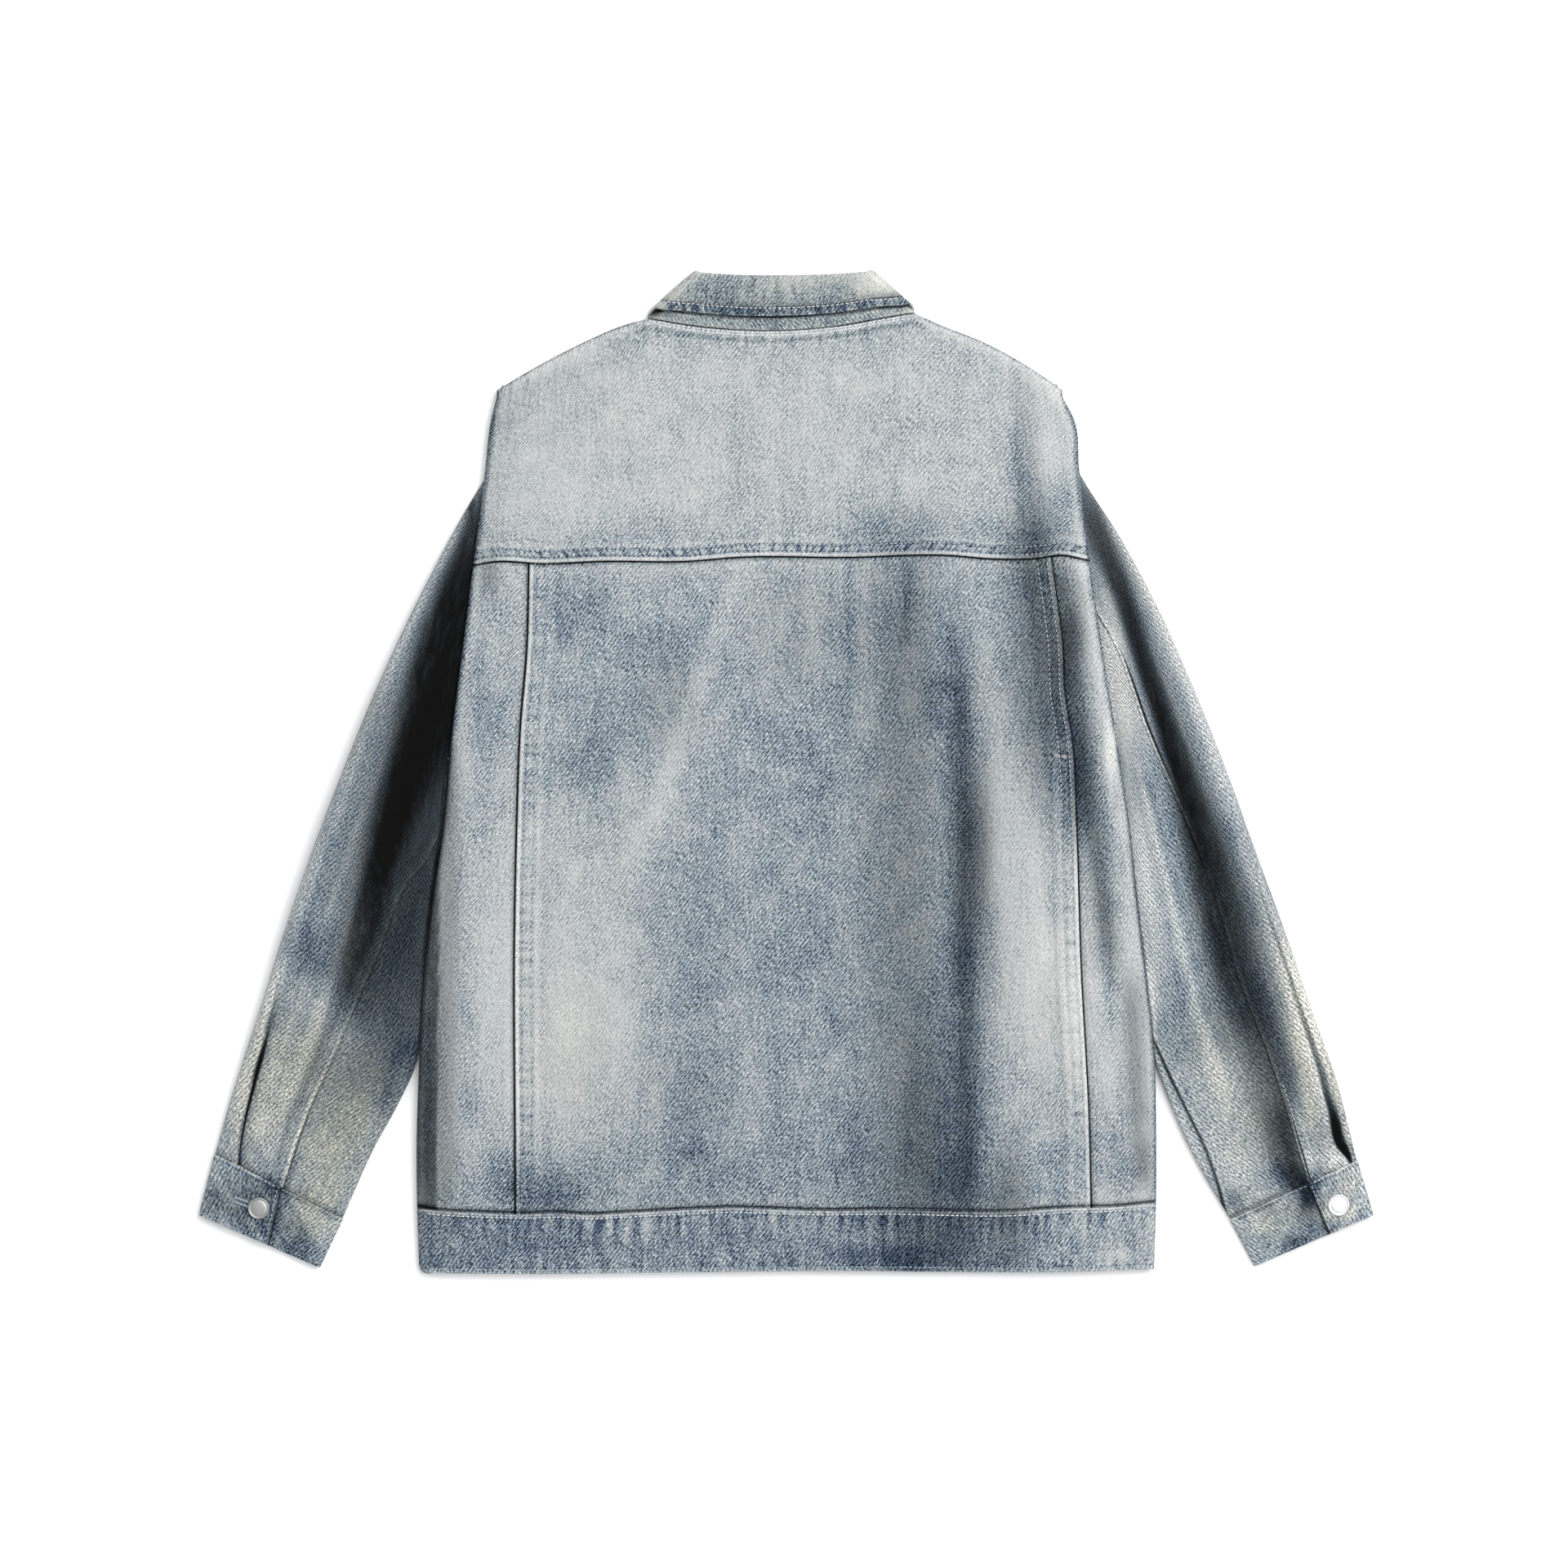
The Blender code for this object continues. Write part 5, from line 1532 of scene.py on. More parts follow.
    def build(self) -> None:
        """Builds the sewing, then the four pieces of the back."""
        yoke_thread, panel_thread, neck_thread, tack = self.sew()
        under = ("front_left_denim", "front_right_denim")
        turn = (1.0, 2.0, 5)
        ClothPiece(
            "yoke_denim", ("back_yoke",), self.yoke, stations((-2, -1, 3), (-1, 1, 344), (1, 2, 3)),
            stations((0, 0.1, 24), (0.1, 1, 56), turn), PANEL_WASH_AND_SHADE, "denim_pale", under,
            rolled=(Edge.FIRST_ROW,), sewn_on=[yoke_thread, neck_thread], wear=self.yoke_wear,
        ).build()
        ClothPiece(
            "back_panel_denim", ("back_panel",), self.panel,
            PANEL_COLUMNS, PANEL_ROWS, PANEL_WASH_AND_SHADE, "denim", under,
            rolled=(Edge.FIRST_COLUMN, Edge.LAST_COLUMN), sewn_on=[panel_thread, tack],
            wear=self.panel_wear_and_shade, shift=(0.013, 0.37),
        ).build()
        for side in Side:
            columns = stations((0, 0.2, 16), (0.2, 1, 24 if side is Side.LEFT else 20), turn)
            ClothPiece(
                f"side_{side.word}_denim", (f"back_side_{side.word}",), self.side(side),
                columns[:: side.value], PANEL_ROWS, PANEL_WASH_AND_SHADE, "denim", under,
                shift=(0.9 * side.value, 0.7), wear=self.side_wear_and_shade,
            ).build()


# ---------------- sleeves and cuffs


# Places round a flattened tube: its upper face runs from 0 to 1, its outer end to OUTER_END, its
# underside to UNDER_END and its inner end to ROUND, which is 0 again
OUTER_END, UNDER_END, ROUND = 1.5, 2.1, 2.5


@dataclass(frozen=True)
class SleeveShape:
    """Sizes of a sleeve, from the armhole to the cuff."""

    side: Side
    # x, y of the outer fold, x, y of the inner fold, height of the roll along the outer fold, of the
    # valley beside it and of the inner part, and where the valley and the back seam lie, as shares
    # of the width from the inner fold
    rows: Rows
    # Row of the sleeve, share of the width from the inner fold at which the vent's pleat lies
    pleat: Rows
    # The open gap of the pleat: y, x of its middle, half its width, how dark its painted shade is, how
    # deep
    gap: Rows
    # How far the gap's sides slope, outside and inside
    gap_slopes: tuple[float, float]
    # y, how much paler the painted highlight on the back seam's fold is, how dark the painted shade in
    # the angle beside it is
    seam_highlight_and_shade: Rows
    # 1 if the painted shade lies on the outer side of the seam, -1 if on the inner side
    shade_side: int
    # y, x of a sharp fold beside the inner edge, how dark the painted shade in its angle is, with a
    # painted
    # highlight beside it: none unless stated
    inner_fold_light_and_shade: Rows = ((-400, 0.0, 0.0), (300, 0.0, 0.0))
    # y, and how dark the painted shade on the inner fold is there
    fold_shade: Rows = ((-400, 0.0), (300, 0.0))
    outer_turns: Rows = ((0, 3.5), (2, 5), (4, 9), (7, 9), (9, 5), (10, 4))
    inner_turn: float = 3.2
    # From the body's edge to the middle of the cloth of the inner fold, and where they part
    beside_body: float = 0.9
    parts_at: float = -205.0
    # How far inside the line of the outer fold the cloth's middle runs
    slimmer: float = 0.9
    front_seam_share: float = 0.30

    def row(self, row: Array | float) -> list[Array]:
        """Outer point, inner point and heights of the sleeve at a row.

        Args:
            row: 0 at the armhole, 10 at the cuff.

        Returns:
            The values of that row of the table, where the sleeve lies against the body.
        """
        table = [(k, *values) for k, values in enumerate(self.rows)]
        values = [through(table, row, column) for column in range(1, 10)]
        hand = self.side.value
        beside = BODY.outline(values[3], self.side) + hand * self.beside_body
        close = ease((values[3] - self.parts_at) / 45 + 0.5) * (values[3] < 14)
        values[2] = mix(values[2], beside, close)
        values[0] = values[0] - hand * self.slimmer * (1 - ease((row - 7.5) / 2))
        return values

    def cuff_line(self) -> tuple[float, ...]:
        """x and y of the outer and of the inner point where the sleeve meets the cuff."""
        return tuple(float(value) for value in self.row(10.0)[:4])

    def layout(self, row: Array) -> tuple[Array, Array, float]:
        """How wide the sleeve is at a row, and where its seams lie.

        Args:
            row: 0 at the armhole, 10 at the cuff.

        Returns:
            The width, and the places round the sleeve of the back seam and of the front seam.
        """
        ox, oy, ix, iy, *_, seam = self.row(row)
        back = np.where(seam < 0, seam * 0.8, seam)
        front = UNDER_END - (UNDER_END - OUTER_END) * self.front_seam_share
        return np.hypot(ox - ix, oy - iy), back, front


LEFT_SLEEVE = SleeveShape(
    Side.LEFT,
    rows=(
        (-207, 248, -233.5, 40, 4.4, 4.4, 4.2, 0.5, -0.3),
        (-229.7, 211, -246.5, 20, 5, 4.6, 4.2, 0.5, -0.3),
        (-251, 174, -253.6, -9, 9, 5.2, 4.8, 0.5, -0.24),
        (-277.8, 122, -257.6, -52, 15, 5.8, 6, 0.5, 0.02),
        (-304.7, 64.4, -263.6, -91, 20, 6.4, 7, 0.48, 0.15),
        (-330.9, 0.3, -268.6, -131, 23, 6.8, 7.4, 0.46, 0.32),
        (-354.1, -60.7, -272.6, -174, 24, 7, 7.4, 0.46, 0.4),
        (-374.2, -118.6, -274.8, -214, 21, 7.2, 7.6, 0.46, 0.48),
        (-393.1, -179.6, -289.5, -248.6, 16, 7.4, 8, 0.5, 0.5),
        (-409, -231.5, -308.4, -283.4, 11, 7.2, 8, 0.5, 0.5),
        (-424.3, -285.2, -330.3, -332.6, 7, 7, 7, 0.5, 0.48),
    ),
    pleat=((0, 0.91), (7.4, 0.91), (8.2, 0.90), (9.2, 0.87), (10, 0.81)),
    gap=(
        (-300, -408, 0.5, 0.6, 2.2), (-283, -406.4, 0.5, 0.6, 2.4),
        (-265, -403.6, 0.5, 0.65, 2), (-253, -401, 0.6, 0.75, 2),
        (-237, -396.8, 0.9, 0.85, 1.8), (-225, -393.7, 1.2, 0.85, 1.8),
        (-209, -389.3, 1.3, 0.8, 2.2), (-194, -385.6, 1, 0.55, 1.8),
        (-176, -381, 0.8, 0.35, 1), (-158, -377, 0.6, 0.1, 0.3),
        (-140, -372, 0.6, 0, 0),
    ),
    gap_slopes=(1.0, 5.0),
    slimmer=1.8,
    fold_shade=((-200, 0.0), (-160, 0.5), (0, 0.7), (30, 0.7)),
    seam_highlight_and_shade=(
        (-340, 0.3, 0.5), (-250, 0.3, 0.45), (-228, 0.16, 0.25), (-60, 0.12, 0.6), (250, 0.1, 0.6),
    ),
    shade_side=-1,
)
RIGHT_SLEEVE = SleeveShape(
    Side.RIGHT,
    rows=(
        (206, 248, 231.5, 40, 4.4, 4.4, 4.2, 0.5, 0.5),
        (227.8, 211, 245.6, 20, 5, 4.6, 4.2, 0.5, 0.5),
        (251.6, 174, 253.8, -9, 10, 5.2, 4.8, 0.62, 0.52),
        (279.1, 122, 259.6, -52, 17, 5.6, 6, 0.64, 0.53),
        (304.7, 64.4, 264.8, -91, 21, 5.8, 7, 0.64, 0.59),
        (330.3, 0.3, 268.8, -131, 24, 6, 8, 0.62, 0.66),
        (352.3, -60.7, 272.6, -174, 25, 6.2, 8.4, 0.6, 0.7),
        (373.6, -118.6, 276.2, -212, 23, 6.4, 8.6, 0.6, 0.69),
        (394.4, -179.6, 292, -256, 18, 6.6, 8.6, 0.64, 0.7),
        (412, -231.5, 309.2, -292.4, 12, 6.8, 8, 0.66, 0.67),
        (426.8, -290, 333.4, -333.4, 7, 7, 7, 0.6, 0.64),
    ),
    pleat=((0, 0.91), (6.8, 0.91), (8.0, 0.90), (9.0, 0.88), (10, 0.92)),
    gap=(
        (-305, 426, 0.5, 0.4, 1), (-293, 423, 0.6, 0.7, 2.4), (-287.4, 420.8, 1.8, 0.92, 3),
        (-281.8, 417.5, 3.6, 0.95, 3.6), (-272.4, 413.5, 3.9, 0.95, 3.8),
        (-263, 411.6, 3.8, 0.86, 3.8), (-253.5, 409.2, 2.8, 0.7, 3.6),
        (-244.3, 406, 2.3, 0.55, 3), (-235, 403.2, 2, 0.45, 2.6),
        (-216, 397.6, 1.8, 0.4, 2.2), (-182, 386.4, 1.2, 0.35, 1.4), (-100, 358.4, 0.7, 0.2, 0.5),
        (-70, 349, 0.7, 0, 0),
    ),
    gap_slopes=(4.0, 1.2),
    seam_highlight_and_shade=(
        (-340, 0.06, 0.5), (-262, 0.06, 0.6), (-244, 0.1, 0.1), (-100, 0.15, 0.3), (-40, 0.2, 0.7),
        (0, 0.25, 0.9), (70, 0.25, 0.95), (88, 0.1, 0.3), (96, 0, 0), (250, 0, 0),
    ),
    shade_side=1,
    inner_fold_light_and_shade=(
        (-333, 331.2, 0.8), (-279, 313.2, 0.75), (-253, 300.4, 0.7), (-204, 277.4, 0.6),
        (-190, 272, 0), (250, 230, 0),
    ),
)


# Finer folds along the sleeves: share of the width and row of the start, then of the end, rise, and
# width on the inner and on the outer side
LEFT_FOLDS = ((0.7, 5, 0.66, 9.5, 1.2, 5, 9),)
RIGHT_FOLDS = ((0.3, 3, 0.35, 8, 1.2, 9, 6),)
# x, y of the outer and of the inner corner of a cuff's edge, and where the lapped end lies at the
# sleeve and at the edge, as a share of the width from the inner fold
LEFT_CUFF_EDGE = (-436.0, -331.0, -347.9, -369.4, 0.49, 0.43)
RIGHT_CUFF_EDGE = (438.8, -331.0, 352.0, -368.2, 0.62, 0.64)
LEFT_BUTTON = (-392.2, -325.4)
RIGHT_BUTTON = (413.6, -323.0)
# Height of the flat backs of the cuffs' buttons
BUTTON_BASE = 8.4


def loop_point(
    loop: Array,
    ends: Sequence[Array],
    heights: Sequence[Array],
    turns: Sequence[Array],
    valley: Array | float,
) -> Point:
    """A point round a flattened tube.

    Args:
        loop: places round the tube, which go on past ROUND.
        ends: x and y of the outer end, x and y of the inner end.
        heights: of the outer roll, the valley, the inner part and the underside.
        turns: radius of the outer and of the inner turn.
        valley: share of the width at which the valley lies.

    Returns:
        x, y and z.
    """
    outer_x, outer_y, inner_x, inner_y = ends
    roll, dip, rise, ground = heights
    outer_turn, inner_turn = turns
    loop = np.mod(loop, ROUND)
    width = np.hypot(outer_x - inner_x, outer_y - inner_y)
    start, end = inner_turn, width - outer_turn
    share = clamp(loop)
    inside = mix(rise, dip, ease(share / valley))
    outside = mix(dip, roll, ease((share - valley) / (1 - valley)))
    over = np.where(share < valley, inside, outside)
    outer_angle = clamp((loop - 1) / (OUTER_END - 1)) * math.pi
    inner_angle = clamp((loop - UNDER_END) / (ROUND - UNDER_END)) * math.pi
    under_share = clamp((loop - OUTER_END) / (UNDER_END - OUTER_END))
    back_under = mix(end, start, under_share) - inner_turn * np.sin(inner_angle)
    along = np.where(loop < OUTER_END, end + outer_turn * np.sin(outer_angle), back_under)
    along = np.where(loop <= 1, mix(start, end, share), along)
    outer_z = mix(ground, roll, (1 + np.cos(outer_angle)) / 2)
    inner_z = mix(ground, rise, (1 - np.cos(inner_angle)) / 2)
    z = np.where(loop <= 1, over, np.where(loop < OUTER_END, outer_z, inner_z))
    share_along = along / width
    return mix(inner_x, outer_x, share_along), mix(inner_y, outer_y, share_along), z


@dataclass
class Sleeve:
    """A two-piece sleeve: the upper piece over the outer fold, the under piece round the inner one."""

    shape: SleeveShape
    wash: Rows
    # Painted shade in the valley beside the roll
    valley: Rows
    folds: Rows
    # Streaks of painted shade
    streaks: Rows = ()
    rope: float = 0.9
    # How much paler the outer fold is: wear, and painted light on the roll's shaded side
    edge_rub_and_highlight: float = 0.1

    def creases(self, share: Array, row: Array, width: Array) -> Array:
        """Rise of the sleeve's own folds on its upper face."""
        top = ease(share / 0.08) * ease((1 - share) / 0.08)
        return fold_rise(share, row, self.folds, 0.3, width) * top

    def gap_depth(self, x: Array, y: Array) -> Array:
        """Depth of the pleat's gap, flat in its middle and sloped at its sides.

        Args:
            x: places across.
            y: places up.

        Returns:
            The depth in millimetres.
        """
        middle, half, _, depth = columns_at(self.shape.gap, y)
        aside = self.shape.side.value * (x - middle)
        slope = np.where(aside > 0, *self.shape.gap_slopes)
        return depth * np.exp(-((np.maximum(np.abs(aside) - half, 0) / slope) ** 2))

    def back_line(self, y: Array) -> Array:
        """The line of the back seam.

        Args:
            y: places up.

        Returns:
            x of the seam.
        """
        row = np.linspace(0, 10, 300)
        seam = self.shape.row(row)[-1]
        line_x, line_y, _ = self.point(np.maximum(seam, 0), row)
        return np.interp(y, line_y[::-1], line_x[::-1])

    def wear(self, x: Array, y: Array) -> Pair:
        """Painted highlights and painted shade along seam, pleat, folds and the cuff's seam, and wear and
        painted light along the outer fold.

        Args:
            x: places across.
            y: places up.

        Returns:
            How much paler and how much darker each place is.
        """
        shape, hand = self.shape, self.shape.side.value
        # Painted shade in the pleat's gap and softly beside it, and a painted highlight on its edge
        middle, half, shade, _ = columns_at(shape.gap, y)
        aside = hand * (x - middle)
        dye_and_shade = shade * np.exp(-((np.abs(aside) / (half + 0.7)) ** 4))
        dye_and_shade = dye_and_shade + 0.15 * shade * bump(aside + half, 7)
        rub_and_highlight = 0.28 * shade * bump(aside - half - 1.6, 1.2)
        # Paler along the outer fold: wear, and painted light on the roll's shaded side
        rows = np.array(shape.rows)[::-1]
        outer_x = np.interp(y, rows[:, 1], rows[:, 0])
        rub_and_highlight = rub_and_highlight + self.edge_rub_and_highlight * bump(np.maximum(hand * (outer_x - x), 0), 6)
        # Painted shade on the inner fold
        inner_x = np.interp(y, rows[:, 3], rows[:, 2])
        dye_and_shade = np.maximum(dye_and_shade, through(shape.fold_shade, y) * bump(x - inner_x, 3.2))
        # A painted highlight on the back seam's fold, and painted shade in the angle beside it
        # Lines lean, so a distance along x is a little more than one across the line
        beyond = hand * (x - self.back_line(y)) * 0.93
        pale, dark = columns_at(shape.seam_highlight_and_shade, y)
        rub_and_highlight = rub_and_highlight + pale * bump(beyond + 0.5 * (shape.shade_side - 1) + 0.4, 0.8)
        dye_and_shade = np.maximum(dye_and_shade, dark * bump(beyond - 1.2 * shape.shade_side, 0.8))
        # Painted shade in the angle of the sharp fold beside the inner edge, and a painted highlight
        # beside it
        inner, shade = columns_at(shape.inner_fold_light_and_shade, y)
        dye_and_shade = np.maximum(dye_and_shade, shade * bump((x - inner) * 0.9, 1.1))
        rub_and_highlight = rub_and_highlight + 0.15 * (shade > 0) * bump((x - inner) * 0.9 - 1.8, 1.2)
        # Painted shade in the gap just above the cuff's seam
        ox, oy, ix, iy = shape.cuff_line()
        above_cuff = hand * off_line(x, y, (ox, oy), (ix, iy))
        return rub_and_highlight, np.maximum(dye_and_shade, 0.9 * bump(above_cuff - 1.3, 0.9))

    def point(self, loop: Array, row: Array) -> Point:
        """A point of the sleeve: the flattened tube, less its pleat's gap, plus its folds.

        Args:
            loop: place round the tube.
            row: 0 at the armhole, 10 at the cuff.

        Returns:
            x, y and z.
        """
        ox, oy, ix, iy, roll, dip, rise, valley, _ = self.shape.row(row)
        turns = through(self.shape.outer_turns, row), self.shape.inner_turn
        x, y, z = loop_point(loop, (ox, oy, ix, iy), (roll, dip, rise, GROUND), turns, valley)
        width = np.hypot(ox - ix, oy - iy)
        loop = np.mod(loop, ROUND)
        z = z - np.where(loop <= 1.2, self.gap_depth(x, y), 0)
        top = np.where(loop <= 1, loop, 0)
        near_cuff = ease((row - 9.3) / 0.6) * ease(top / 0.05)
        z = z + np.where(loop <= 1, self.creases(top, row, width), 0)
        return x, y, z + near_cuff * 0.45 * uneven(top * width, 8.5, 2.6 + self.shape.side.value)

    def upper(self, column: Array, row: Array) -> Point:
        """The upper piece's surface.

        Args:
            column: 0 at the back seam, 0.3 at the pleat, 1 at the front seam beneath.
            row: 0 at the armhole, 10 at the cuff.

        Returns:
            x, y and z.
        """
        width, back, front = self.shape.layout(row)
        pleat = np.maximum(through(self.shape.pleat, row), back + 0.1)
        inner = mix(back, pleat, column / 0.3)
        loop = np.where(column < 0.3, inner, mix(pleat, front, (column - 0.3) / 0.7))
        x, y, z = self.point(loop, row)
        # Its seam edge is folded under and lies on the under piece
        from_seam = (loop - back) * width
        on_top = ease(back / 0.1)
        lap = 0.45 * (1 - ease((from_seam - 5) / 5)) + self.rope * bump(from_seam, 2.0)
        return x, y, z + lap * on_top

    def under(self, column: Array, row: Array) -> Point:
        """The under piece's surface.

        Args:
            column: 0 at the front seam, 1 beneath the fold of the back seam.
            row: 0 at the armhole, 10 at the cuff.

        Returns:
            x, y and z.
        """
        width, back, front = self.shape.layout(row)
        beneath = 3.0 / width * ease(back / 0.06)
        loop = mix(front, ROUND + back + beneath, column)
        x, y, z = self.point(loop, row)
        from_seam = (ROUND + back - loop) * width
        drop = 0.9 * bump(np.maximum(from_seam, 0), 3.5) * ease(back / 0.1)
        return x, y, z - drop

    def build(self) -> None:
        """Builds the stitching along the vent, then both pieces."""
        word, hand = self.shape.side.word, self.shape.side.value
        rows = stations((0, 10, 218))
        vent = Sewing(f"topstitch_vent_{word}")
        row = np.linspace(8.6, 9.97, 60)
        width, seam, _ = self.shape.layout(row)
        pleat = np.maximum(through(self.shape.pleat, row), seam + 0.1)
        # 2.4 mm beside the seam's fold
        x, y, z = self.upper(0.3 * (2.4 / width) / (pleat - seam), row)
        vent.add(np.stack([x, y, z + CLOTH / 2], axis=-1))
        wash = Wash(self.wash, pale=0.46, streaks=self.streaks, valley=self.valley)
        ClothPiece(
            f"sleeve_upper_{word}_denim", (f"sleeve_upper_{word}",), self.upper,
            stations((0, 0.05, 9), (0.05, 0.25, 19), (0.25, 0.34, 24), (0.34, 0.62, 19), (0.62, 1, 16)),
            rows, wash, "denim_shaded", (f"front_{word}_denim",), SLEEVE_DENIM,
            sewn_on=[vent.build()], rolled=(Edge.FIRST_COLUMN,), wear=self.wear,
            shift=(0.21, 1.3 * hand),
        ).build()
        ClothPiece(
            f"sleeve_under_{word}_denim", (f"sleeve_under_{word}",), self.under,
            stations((0, 0.14, 4), (0.14, 0.42, 18), (0.42, 0.56, 20), (0.56, 0.9, 20), (0.9, 1, 12)),
            rows, wash, "denim_shaded", (f"side_{word}_denim",), SLEEVE_DENIM, wear=self.wear,
            shift=(0.57, 2.1 * hand),
        ).build()


@dataclass
class Cuff:
    """A buttoned cuff of double cloth, lapped and closed, with its buttonhole."""

    sleeve: SleeveShape
    wash: Rows
    edge: tuple[float, ...]
    button_place: tuple[float, float]
    underlap: float = 0.30
    turn: float = 3.4
    # Rise of the lower layer at the inner fold, where the sleeve's seams lie in it
    bulge: float = 0.9
    # Places of the stitch rows beside the sleeve and beside the edge, as shares of the depth
    rows: tuple[float, float] = (0.036, 0.95)

    def heights(self) -> tuple[float, float, float]:
        """Heights of the middles of the cuff's layers.

        Returns:
            Those of the layer on the ground, of the one under the lap and of the lap.
        """
        low = CUFF_CLOTH / 2
        lower = low + CUFF_CLOTH + LAYER_GAP * 2
        return low, lower, lower + CUFF_CLOTH + LAYER_GAP

    def surface(self, column: Array, row: Array) -> Point:
        """The cuff's surface: a spiral from its lapped end round to the end beneath.

        Args:
            column: 0 at the lapped end, 1 at the end beneath it.
            row: 0 at the sleeve, 1 at the edge.

        Returns:
            x, y and z.
        """
        *corners, lap_top, lap_edge = self.edge
        low, lower, upper = self.heights()
        line = self.sleeve.cuff_line()
        ends = [mix(a, b, row) for a, b in zip(line, corners)]
        lap = mix(lap_top, lap_edge, row)
        loop = mix(lap, ROUND + lap + self.underlap, column)
        turns = self.turn, self.sleeve.inner_turn
        x, y, z = loop_point(loop, ends, (upper, upper, lower + self.bulge, low), turns, 0.5)
        second_time = loop >= ROUND
        sunk = ease((loop - ROUND) / np.maximum(lap - 0.04, 0.1))
        z = np.where(second_time, mix(lower + self.bulge, lower, sunk), z)
        z = np.where(loop <= 1, upper, z)
        width = np.hypot(ends[0] - ends[2], ends[1] - ends[3])
        down = math.dist(corners[:2], line[:2])
        from_end = (loop - lap) * width
        from_sleeve, from_edge = row * down, (1 - row) * down
        on_top = (loop <= 1) | second_time
        groove = 0.45 * (bump(from_sleeve - 1.8, 1.2) + bump(from_edge - 2.2, 1.2))
        groove = groove + 0.45 * bump(from_end - 1.9, 1.2)
        waves = 0.32 * uneven(from_end, 10.5, self.edge[0])
        waves = waves * (bump(from_sleeve, 9) + bump(from_edge, 9))
        waves = waves + 0.4 * uneven(from_end * 0.6 + from_sleeve, 17, self.edge[1])
        return x, y, z + np.where(on_top, waves - groove, 0)

    def wear(self, x: Array, y: Array) -> Pair:
        """How much paler and darker the cuff's edges are: wear along its seam, a painted highlight on the
        lapped end's edge, and painted shade under the lapped end.

        Args:
            x: places across.
            y: places up.

        Returns:
            How much paler and how much darker each place is.
        """
        edge_ox, edge_oy, edge_ix, edge_iy, lap_top, lap_edge = self.edge
        ox, oy, ix, iy = self.sleeve.cuff_line()
        hand = self.sleeve.side.value
        top = [mix(a, b, lap_top) for a, b in ((ix, ox), (iy, oy))]
        bottom = [mix(a, b, lap_edge) for a, b in ((edge_ix, edge_ox), (edge_iy, edge_oy))]
        under = off_line(x, y, top, bottom) * hand
        from_seam = -hand * off_line(x, y, (ox, oy), (ix, iy))
        # A painted highlight on the lapped end's edge, wear along the seam, and painted shade under the
        # lapped end
        rub_and_highlight = 0.2 * bump(under + 1.0, 1.0) + 0.22 * bump(from_seam - 0.6, 1.2)
        rub_and_highlight = rub_and_highlight - 0.2 * bump(from_seam - 3.0, 0.9) - 0.12 * bump(under + 3.0, 0.8)
        return rub_and_highlight, 0.55 * bump(under - 0.8, 0.7) + 0.18 * bump(under - 2.5, 3.0)

    def face(self, column: Array, row: Array) -> Array:
        """Points on the outer face of the cuff, n by 3."""
        x, y, z = self.surface(np.asarray(column, float), np.asarray(row, float))
        return np.stack(np.broadcast_arrays(x, y, z + CUFF_CLOTH / 2), axis=-1)

    def build(self) -> None:
        """Builds the cuff with its stitching and its buttonhole."""
        word = self.sleeve.side.word
        sewing = Sewing(f"topstitch_cuff_{word}", THREAD, pitch=3.3, length=2.4, thread=0.33)
        hem = Sewing(f"topstitch_cuff_edge_{word}", THREAD, pitch=3.3, length=2.4, thread=0.26)
        ring = ROUND + self.underlap
        lap = self.edge[4]
        # Over the lap, then over the part of the outer layer that the lap leaves bare
        over = np.linspace(0.012, (1 - lap) / ring, 60)
        again = np.linspace((ROUND - lap) / ring, ROUND / ring - 0.004, 60)
        for run, row in zip((sewing, hem), self.rows):
            run.add(self.face(over, np.full(over.shape, row)))
            run.add(self.face(again, np.full(again.shape, row)))
        down = np.linspace(0.06, 0.94, 30)
        sewing.add(self.face(np.full(down.shape, 0.007), down))
        hole = self.buttonhole()
        ClothPiece(
            f"cuff_{word}_denim", (f"cuff_{word}",), self.surface,
            stations((0, 0.03, 6), (0.03, 0.66, 60), (0.66, 0.9, 60), (0.9, 1, 8)),
            stations((0, 0.1, 7), (0.1, 0.9, 22), (0.9, 1, 5)), Wash(self.wash, pale=0.46), "denim",
            ("backdrop",), SLEEVE_DENIM, thickness=CUFF_CLOTH, bevel=0.7, wear=self.wear,
            sewn_on=[sewing.build(), hem.build(), hole.build()],
            shift=(0.33, 1.9 * self.sleeve.side.value),
        ).build()

    def buttonhole(self) -> Sewing:
        """Close bars of thread across a slit beside the button.

        Returns:
            The bars, not yet built.
        """
        hole = Sewing(f"buttonhole_{self.sleeve.side.word}", THREAD, pitch=9.0, length=1.9, thread=0.3)
        x, y = self.button_place
        _, _, upper = self.heights()
        top = upper + CUFF_CLOTH / 2 + 0.1
        lean = math.radians(20 if self.sleeve.side is Side.LEFT else -20)
        outwards = self.sleeve.side.value
        for step in range(14):
            away = outwards * (8.5 + step * 0.8)
            for hand in (-1, 1):
                middle_x = x + away * math.cos(lean)
                middle_y = y - away * math.sin(lean)
                start = np.array([middle_x, middle_y + hand * 0.4, top])
                end = np.array([middle_x, middle_y + hand * 2.6, top])
                hole.add(np.stack([start, end]))
        return hole


